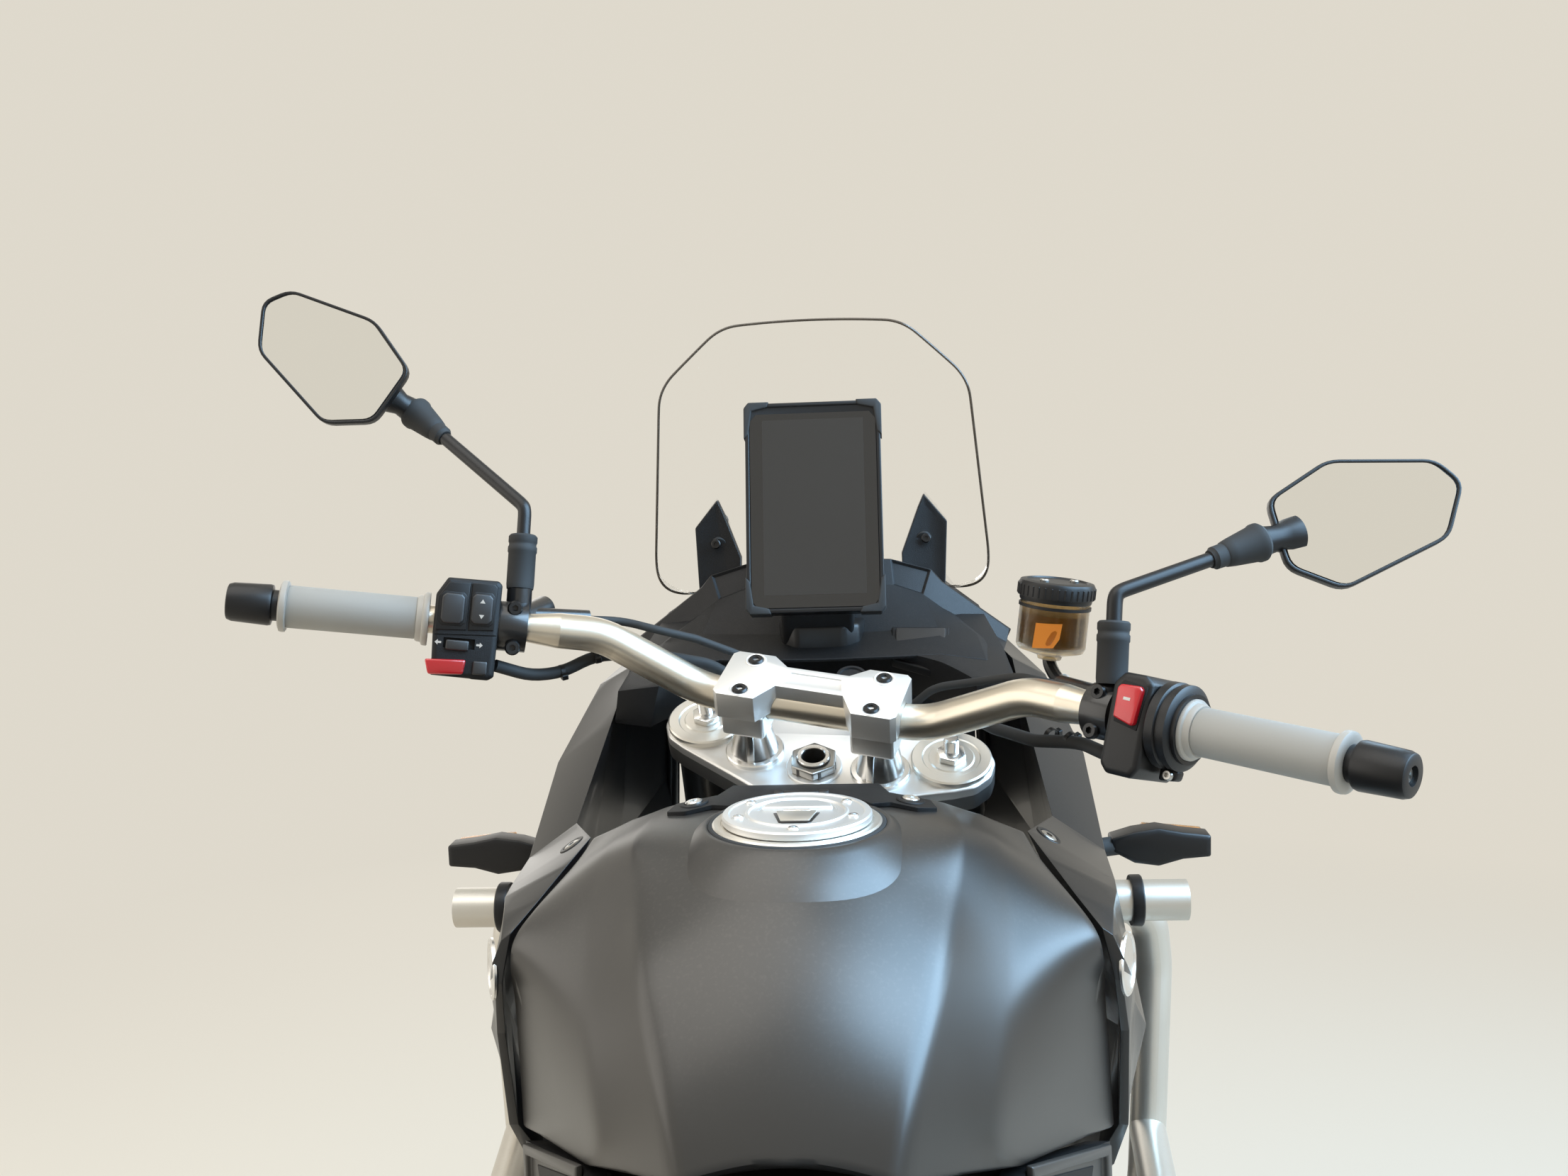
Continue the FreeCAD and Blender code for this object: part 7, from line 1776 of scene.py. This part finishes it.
@dataclass
class Drive:
    """The engine with its covers, the radiator, the chain, the exhaust and the spring."""

    sprocket_x: float = -90.0
    rear: Flat = (-752.0, 352.0)
    front: Flat = (-40.0, 402.0)
    rear_r: float = 107.0
    front_r: float = 42.0
    pitch: float = 15.875

    def covers(self) -> None:
        """Model the clutch's and the dynamo's covers with their rims and screws."""
        for word, side, x, y, z, wide, screws in (("clutch", 1.0, 168.0, 60.0, 395.0, 78.0, 9),
                                                  ("dynamo", -1.0, 164.0, 160.0, 400.0, 64.0, 7)):
            profile = [(0, -4), (wide, -4), (wide, 0.5), (wide - 3, 3.0), (wide - 9, 3.4), (wide - 12, 1.4),
                       (wide * 0.55, 1.4),
                       (wide * 0.5, 3.6), (wide * 0.36, 4.0), (wide * 0.3, 2.6), (0, 2.6)]
            at = standing((side * x, y, z), (side, 0, 0))
            Piece.turned(f"{word}_cover", profile, 72).fit(at, "chassis", ENGINE_COVER)
            screw = bolt(f"{word}_screw", 5.4, 4.4, 0.5)
            rim = wide + (9 if side > 0 else 8)
            for number in range(screws):
                turn = 2 * math.pi * number / screws
                spot = Matrix.Translation((rim * math.cos(turn), rim * math.sin(turn),
                                           -20 if side > 0 else -22))
                screw.copy(f"{word}_screw_{number}").fit(at @ spot, "chassis", BOLT_STEEL)
            bpy.data.objects.remove(screw.obj)

    def radiator(self) -> None:
        """Model the radiator's finned core between its side tanks, with its hoses."""
        core = Piece.box("radiator_core", (-122, 343, 546), (122, 369, 734))
        core.fit(WORLD, "chassis", RADIATOR_CORE, ["radiator"])
        fins = Piece.box("radiator_fin", (-121, 368.6, 549.2), (121, 370.4, 549.9))
        rows = [fins.copy(f"radiator_fin_{row}").place(Matrix.Translation((0, 0, row * 5.0)))
                for row in range(1, 37)]
        fins.join(*rows).fit(WORLD, "chassis", DARK_STEEL)
        for side in SIDES:
            word = "left" if side < 0 else "right"
            low, high = sorted((side * 120, side * 140))
            tank = Piece.box(f"radiator_tank_{word}", (low, 340, 540), (high, 372, 740)).bevel(5, 3)
            tank.fit(WORLD, "chassis", BLACK_PAINT)
            ear = Piece.box(f"radiator_ear_{word}", (side * 112 - 8, 300, 590),
                            (side * 112 + 8, 344, 606)).bevel(2, 2)
            ear.fit(WORLD, "chassis", BLACK_PAINT)
            hose = Piece.pipe(f"radiator_hose_{word}",
                              [(side * 126, 350, 560 if side > 0 else 716),
                               (side * 118, 322, 566 if side > 0 else 716),
                               (side * 100, 290, 600 if side > 0 else 708),
                               (side * 84, 236, 612 if side > 0 else 690)], 13, 4)
            hose.fit(WORLD, "chassis", RUBBER)
        for side in (0, 1):
            frame = Piece.box(f"radiator_bar_{side}", (-124, 341, 540 + side * 192),
                              (124, 371, 548 + side * 192)).bevel(2, 2)
            frame.fit(WORLD, "chassis", BLACK_PAINT)

    def chain(self) -> None:
        """Lay the chain's links round both sprockets."""
        one, two = Vector(self.rear), Vector(self.front)
        run = two - one
        lean, spread = math.atan2(run.y, run.x), math.acos((self.rear_r - self.front_r) / run.length)
        rear, front = self.rear_r + 6.0, self.front_r + 6.0
        straight = math.sqrt(run.length ** 2 - (rear - front) ** 2)
        around_front, around_rear = 2 * spread * front, (2 * math.pi - 2 * spread) * rear
        whole = 2 * straight + around_front + around_rear
        count = round(whole / self.pitch)
        step = whole / count
        outline = []
        for centre, turns in ((step / 2, range(-60, 61, 30)), (-step / 2, range(120, 241, 30))):
            outline += [(centre + 5.6 * math.cos(math.radians(t)), 5.6 * math.sin(math.radians(t)))
                        for t in turns]
        links: list[Piece] = []
        pattern = [Piece.plate("link_inner", outline, 2.6, 4.4), Piece.plate("link_outer", outline, 4.8, 6.6)]
        pin = Piece.cylinder("link_pin", 2.6, -7.2, 7.2, (step / 2, 0),
                             10).join(Piece.cylinder("link_roller", 4.6, -2.5, 2.5, (step / 2, 0), 12))
        for number in range(count):
            far = number * step
            if far < straight:
                turn = lean + spread
                spot = one + Vector((math.cos(turn),
                                     math.sin(turn))) * rear + Vector((math.sin(turn), -math.cos(turn))) * far
                heading = turn - math.pi / 2
            elif far < straight + around_front:
                turn = lean + spread - (far - straight) / front
                spot, heading = two + Vector((math.cos(turn), math.sin(turn))) * front, turn - math.pi / 2
            elif far < 2 * straight + around_front:
                turn = lean - spread
                left = far - straight - around_front
                spot = two + Vector((math.cos(turn),
                                     math.sin(turn))) * front + Vector((math.sin(turn), -math.cos(turn))) * left
                heading = turn - math.pi / 2
            else:
                turn = lean - spread - (far - 2 * straight - around_front) / rear
                spot, heading = one + Vector((math.cos(turn), math.sin(turn))) * rear, turn - math.pi / 2
            ahead = (0, math.cos(heading), math.sin(heading))
            above = (0, -math.sin(heading), math.cos(heading))
            at = frame_of((self.sprocket_x, spot.x, spot.y), ahead, above, (1, 0, 0))
            plate = pattern[number % 2]
            links.append(plate.copy(f"link_{number}_a").place(at))
            links.append(plate.copy(f"link_{number}_b").place(at @ Matrix.Scale(-1, 4, (0, 0, 1))))
            links.append(pin.copy(f"link_{number}_c").place(at))
        for spare in (*pattern, pin):
            bpy.data.objects.remove(spare.obj)
        links[0].obj.name = "chain_links"
        links[0].join(*links[1:]).fit(WORLD, "chassis",
                                      Finish("chain_steel", "steel", (0.34, 0.33, 0.31), 0.34, metallic=1.0,
                                             relief=0.05), ["chain"])

    def shock(self) -> None:
        """Model the rear shock: damper, coil, seats, fluid tank and its hose."""
        top, low = Vector((0, -140, 726)), Vector((0, -266, 420))
        run = (top - low)
        length = run.length
        at = standing(low, run)
        damper = [(0, 8), (14, 8), (16, 14), (16, 40), (20, 44), (28, 46), (30, 52), (24, 58), (13, 60),
                  (13, length - 90), (17, length - 88),
                  (17, length - 74), (30, length - 72), (30, length - 64), (21, length - 60), (21, length - 22),
                  (14, length - 14), (0, length - 14)]
        Piece.turned("shock_damper", damper, 48).fit(at, "chassis", BLACK_PAINT, ["rear_shock"])
        for end, height in (("low", 0.0), ("top", length)):
            eye = Piece.turned(f"shock_eye_{end}",
                               [(7, -14), (17, -14), (18, -12), (18, 12), (17, 14), (7, 14)], 40, ring=True)
            spot = low + run.normalized() * (12 if end == "low" else height - 8)
            eye.fit(standing(tuple(spot), (1, 0, 0)), "chassis", BLACK_PAINT)
        turns, rise = 7, length - 128
        coil = [(25.5 * math.cos(math.pi * n / 5), 25.5 * math.sin(math.pi * n / 5),
                 58 + rise * n / (10 * turns)) for n in range(10 * turns + 1)]
        Piece.pipe("shock_coil", coil, 5.2, 4).fit(at, "chassis",
                                                   Finish("coil_paint", "steel", (0.55, 0.54, 0.52), 0.35,
                                                          metallic=0.3, coat=0.4, relief=0.03))
        tank = standing((-52, -160, 600), (0, 0.18, 0.98))
        Piece.turned("shock_tank",
                     [(0, -58), (17, -58), (19.5, -54), (19.5, 40), (20, 42), (20, 48), (17, 52), (0, 52)],
                     44).fit(tank, "chassis", TURNED_ALLOY)
        link = Piece.pipe("shock_hose", [(0, -160, 676), (-26, -156, 676), (-52, -152, 666), (-52, -154, 648)],
                          6, 4)
        link.fit(WORLD, "chassis", RUBBER)

    def silencer(self) -> None:
        """Model the silencer's tapered can, its end cap with the outlet, its band and its hanger."""
        start, end = Vector((190, -322, 465)), Vector((196, -690, 600))
        run = end - start
        at = standing(tuple(start), tuple(run))
        length = run.length
        can = [(0, 0), (24, 0), (26, 4), (55, 56), (57.4, 62), (57.4, length - 8), (56, length - 4),
               (0, length - 4)]
        Piece.turned("silencer_can", can, 72).fit(at, "chassis",
                                                  Finish("silencer_steel", "steel", (0.46, 0.45, 0.43), 0.34,
                                                         metallic=1.0, texture=Texture.BRUSHED, scale=700.0,
                                                         relief=0.12), ["silencer"])
        cap = [(0, length - 5), (57.8, length - 5), (57.8, length + 2), (46, length + 22), (41, length + 26),
               (23, length + 26), (21, length + 28), (21, length + 44),
               (18.6, length + 44), (18.6, length + 12), (0, length + 12)]
        Piece.turned("silencer_cap", cap, 72).fit(at, "chassis", BLACK_PAINT)
        band = [(57.0, 196), (59.0, 196), (59.6, 198), (59.6, 214), (59.0, 216), (57.0, 216)]
        Piece.turned("silencer_band", band, 72, ring=True).fit(at, "chassis", BLACK_PAINT)
        hanger = Piece.pipe("silencer_hanger",
                            [(166, -512, 590), (150, -500, 612), (132, -462, 640), (120, -440, 660)], 8, 3)
        hanger.fit(WORLD, "chassis", BLACK_PAINT)

    def build(self) -> None:
        """Build all that drives and springs the motorcycle."""
        self.covers()
        self.radiator()
        self.chain()
        self.shock()
        self.silencer()


@dataclass
class Outside:
    """The lamps at both ends, the bare plate and the footrests' rubbers."""

    def headlamp(self) -> None:
        """Model the headlamp's dark body, its two round units and the clear cover."""
        outline = [(731, 914), (731, 1004), (788, 1004), (799, 960), (794, 914)]
        body = Piece.plate("lamp_body", outline, -83, 83)
        body.place(frame_of((0, 0, 0), (0, 1, 0), (0, 0, 1), (1, 0, 0)))
        body.bevel(3.0, 3).fit(WORLD, "chassis", SMOOTH_PLASTIC, ["headlamp"])
        for side in SIDES:
            word = "left" if side < 0 else "right"
            at = standing((side * 41, 790, 958), (0, 1, -0.05))
            bowl = [(0, 2), (10, 2.6), (24, 6), (30, 12), (33, 12), (33, 0), (0, 0)]
            Piece.turned(f"lamp_bowl_{word}", bowl, 56).fit(at, "chassis", CHROME)
            dome = [(0, 3), (19, 3), (18, 8), (13, 12.6), (7, 14.8), (0, 15.6)]
            Piece.turned(f"lamp_dome_{word}", dome, 48).fit(at, "chassis", LENS_CLEAR)
            strip = Piece.box(f"lamp_strip_{word}", (side * 41 - 32, 788, 922),
                              (side * 41 + 32, 799, 928)).bevel(1.5, 2)
            strip.fit(WORLD, "chassis", LENS_CLEAR)
        cover = Piece.plate("lamp_cover",
                            [(796, 916), (803, 960), (792, 1003), (789, 1003), (800, 960), (793, 916)], -82, 82)
        cover.place(frame_of((0, 0, 0), (0, 1, 0), (0, 0, 1), (1, 0, 0)))
        cover.fit(WORLD, "chassis", LENS_CLEAR)

    def tail(self) -> None:
        """Model the tail lamp's red lens over its cells, and the bare plate with its screws."""
        cell = Piece.box("tail_cell", (-52, -953, 849), (-45, -950.5, 868)).bevel(1.0, 2)
        cells = [cell.copy(f"tail_cell_{n}").place(Matrix.Translation((n * 10.8, 0, 0))) for n in range(1, 10)]
        cell.join(*cells).fit(WORLD, "chassis",
                              Finish("tail_glow", "lamp_lens", (0.75, 0.03, 0.03), 0.25, coat=0.6, relief=0.0))
        at = frame_of((0, -1002.4, 610), (1, 0, 0), (0, 0.2425, 0.9701), (0, -0.9701, 0.2425))
        plate = Piece.plate("bare_plate", [(-88, 2), (88, 2), (88, 160), (-88, 160)], 0.2, 5.2).bevel(0.5, 2)
        plate.fit(at, "chassis", Finish("plate_white", "matte_plastic", (0.72, 0.72, 0.70), 0.4, relief=0.02))
        for side in SIDES:
            bolt(f"plate_screw_{'lr'[side > 0]}", 5, 2.4,
                 0.45).fit(at @ Matrix.Translation((side * 62, 138, 5.2)), "chassis", BOLT_STEEL)

    def footrests(self) -> None:
        """Model the rubbers on the rider's pegs."""
        for side in SIDES:
            word = "left" if side < 0 else "right"
            low, high = sorted((side * 176, side * 258))
            pad = Piece.box(f"peg_rubber_{word}", (low, -71, 363.5), (high, -25, 369)).bevel(1.6, 2)
            rib = Piece.box("peg_rib", (low + 5, -70, 368.6), (low + 10, -26, 371)).bevel(0.8, 1)
            ribs = [rib.copy(f"peg_rib_{n}").place(Matrix.Translation((n * 11.0, 0, 0))) for n in range(1, 7)]
            pad.join(rib, *ribs).fit(WORLD, "chassis", RUBBER)

    def build(self) -> None:
        """Build the pieces at the ends and the sides."""
        self.headlamp()
        self.tail()
        self.footrests()


SOFTENED: tuple[tuple[str, float, float], ...] = (
    ("nose_cowl", 4.0, 10.0), ("tail_panels", 3.0, 12.0), ("engine", 3.0, 24.0), ("skid_plate", 1.2, 24.0),
    ("front_mudguard", 1.2, 28.0),
    ("rear_mudguard", 1.2, 28.0), ("swingarm", 3.0, 28.0), ("brake_calipers", 2.0, 28.0),
    ("rear_caliper", 2.0, 28.0), ("fork_legs", 2.0, 28.0),
    ("fork_guards", 1.0, 28.0), ("bottom_clamp", 2.0, 28.0), ("footrests", 1.6, 28.0),
    ("side_stand", 1.5, 28.0), ("centre_stand", 1.5, 28.0),
    ("plate_carrier", 1.2, 28.0), ("tail_lamp", 3.0, 24.0), ("airbox", 3.0, 24.0),
)


def soften_nodes(nodes: dict[str, bpy.types.Object]) -> None:
    """Stand rounded pieces in for the nodes whose edges are too sharp.

    Args:
        nodes: The loaded nodes by name.
    """
    bodies = {"swingarm": "chassis", "brake_calipers": "steering", "fork_legs": "steering",
              "fork_guards": "steering",
              "bottom_clamp": "steering", "front_mudguard": "steering", "side_stand": "side_stand",
              "centre_stand": "centre_stand"}
    for name, width, angle in SOFTENED:
        piece = Piece.softened(f"{name}_rounded", nodes[name], width, angle, 2)
        piece.fit(WORLD, bodies.get(name, "chassis"), NODE_FINISHES[name], [name])


@dataclass
class Studio:
    """The plain pale room, its soft light and the camera over the seat."""

    position: Point = (0.063, -0.7718, 1.2666)
    yaw: float = 4.15
    pitch: float = 6.64
    roll: float = -2.03
    lens: float = 32.566
    wall: Colour = (0.80, 0.755, 0.66)
    wall_seen: float = 0.92

    def camera(self) -> None:
        """Set up the camera at the rider's eye."""
        yaw, pitch, roll = (math.radians(a) for a in (self.yaw, self.pitch, self.roll))
        ahead = Vector((-math.sin(yaw) * math.cos(pitch), math.cos(yaw) * math.cos(pitch), -math.sin(pitch)))
        level = Vector((math.cos(yaw), math.sin(yaw), 0.0))
        above = level.cross(ahead)
        right = level * math.cos(roll) + above * math.sin(roll)
        top = above * math.cos(roll) - level * math.sin(roll)
        bpy.ops.object.camera_add()
        camera = bpy.context.object
        camera.name = "rider_eye"
        turn = Matrix((right, top, -ahead)).transposed().to_4x4()
        camera.matrix_world = Matrix.Translation(self.position) @ turn
        camera.data.lens = self.lens
        camera.data.sensor_width = 36.0
        camera.data.sensor_fit = "HORIZONTAL"
        bpy.context.scene.camera = camera

    def lights(self) -> None:
        """Add the wide soft lamps and the pale surroundings."""
        for name, place, aim, size, power, tint in (
            ("window_right", (2.9, 0.5, 2.5), (0.1, 0.05, 0.9), 2.2, 75.0, (0.52, 0.76, 1.0)),
            ("window_high", (1.15, -0.9, 3.6), (0.1, 0.05, 0.9), 0.9, 16.0, (0.60, 0.80, 1.0)),
            ("window_gleam", (2.3, -0.5, 2.8), (0.12, 0.05, 0.9), 3.2, 400.0, (0.42, 0.70, 1.0)),
            ("soft_top", (-1.0, -0.4, 4.0), (0.0, 0.1, 0.8), 3.0, 62.0, (1.0, 0.97, 0.92)),
            ("fill_left", (-3.4, -0.2, 1.8), (0.0, 0.2, 0.8), 2.8, 36.0, (1.0, 0.96, 0.90)),
            ("fill_front", (-1.2, 4.4, 1.4), (0.0, 0.4, 0.6), 2.6, 26.0, (1.0, 0.98, 0.95)),
        ):
            bpy.ops.object.light_add(type="AREA", location=place)
            lamp = bpy.context.object
            lamp.name = name
            lamp.data.size = size
            lamp.data.energy = power
            lamp.data.color = tint
            lamp.visible_transmission = False
            lamp.visible_diffuse = name != "window_gleam"
            lamp.rotation_euler = (Vector(aim) - Vector(place)).to_track_quat("-Z", "Y").to_euler()
        world = bpy.data.worlds.new("pale_room")
        bpy.context.scene.world = world
        world.use_nodes = True
        graph = Graph(world.node_tree)
        back = world.node_tree.nodes["Background"]
        back.inputs["Color"].default_value = (*self.wall, 1.0)
        back.inputs["Strength"].default_value = 0.55
        seen = graph.put("Background", {"Color": (*self.wall, 1.0), "Strength": self.wall_seen})
        pick = graph.put("MixShader", {"Fac": self.seen_ray(graph), 1: back.outputs[0], 2: seen.outputs[0]})
        world.node_tree.links.new(pick.outputs[0], world.node_tree.nodes["World Output"].inputs["Surface"])

    @staticmethod
    def seen_ray(graph: Graph) -> bpy.types.NodeSocket:
        """A mask of the rays that show the surroundings: straight, in gloss or through glass."""
        path = graph.put("LightPath").outputs
        either = graph.math("MAXIMUM", path["Is Camera Ray"], path["Is Glossy Ray"])
        return graph.math("MAXIMUM", either, path["Is Transmission Ray"])

    def floor(self) -> None:
        """Lay the pale floor, which keeps the shadow near the wheels and fades into the wall's colour."""
        bpy.ops.mesh.primitive_circle_add(vertices=96, radius=14.0, fill_type="NGON", location=(0, 0, -0.0005))
        floor = bpy.context.object
        floor.name = "floor"
        made = bpy.data.materials.new("floor_paint")
        made.use_nodes = True
        graph = Graph(made.node_tree)
        shader = made.node_tree.nodes["Principled BSDF"]
        shader.inputs["Base Color"].default_value = (0.84, 0.80, 0.72, 1.0)
        shader.inputs["Roughness"].default_value = 0.85
        place = graph.put("TexCoord").outputs["Object"]
        away = graph.put("VectorMath", {0: place}, operation="LENGTH").outputs["Value"]
        fade = graph.math("MULTIPLY", graph.span(away, 1.5, 3.6), self.seen_ray(graph))
        glow = graph.put("Emission", {"Color": (*self.wall, 1.0), "Strength": self.wall_seen})
        blend = graph.put("MixShader", {"Fac": fade, 1: shader.outputs[0], 2: glow.outputs[0]})
        made.node_tree.links.new(blend.outputs[0], made.node_tree.nodes["Material Output"].inputs["Surface"])
        floor.data.materials.append(made)


def dress_nodes(nodes: dict[str, bpy.types.Object]) -> None:
    """Give every carried-over node its finish.

    Args:
        nodes: The loaded nodes by name.
    """
    for name, finish in NODE_FINISHES.items():
        mesh = nodes[name].data
        mesh.materials.clear()
        mesh.materials.append(finish.material())


def main() -> None:
    """Build the scene round the loaded frame."""
    logging.basicConfig(level=logging.INFO, format="%(message)s")
    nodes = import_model()["nodes"]
    deselect()
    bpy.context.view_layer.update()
    bpy.context.scene.view_settings.view_transform = "Standard"
    studio = Studio()
    studio.camera()
    studio.lights()
    studio.floor()
    dress_nodes(nodes)
    ForkHead().build(nodes)
    Grips().build()
    LeftControls().build()
    RightControls().build()
    Perches().build(nodes)
    Mirror("left", -1.0, (22, 24), (-243, 29, 201), (-373, 93, 242), (-433, 74.4, 300), (0.263, -0.717, 0.646),
           (-0.930, -0.009, 0.368)).build()
    Mirror("right", 1.0, (6, 23), (229, 8, 200), (321, 86, 207), (393, 122, 219.3), (0.187, -0.667, 0.721),
           (0.953, 0.302, 0.032)).build()
    Reservoir().build()
    Tank().build()
    Cockpit().build(nodes)
    Seat().build(nodes)
    Drive().build()
    Outside().build()
    soften_nodes(nodes)


if __name__ == "__main__":
    main()
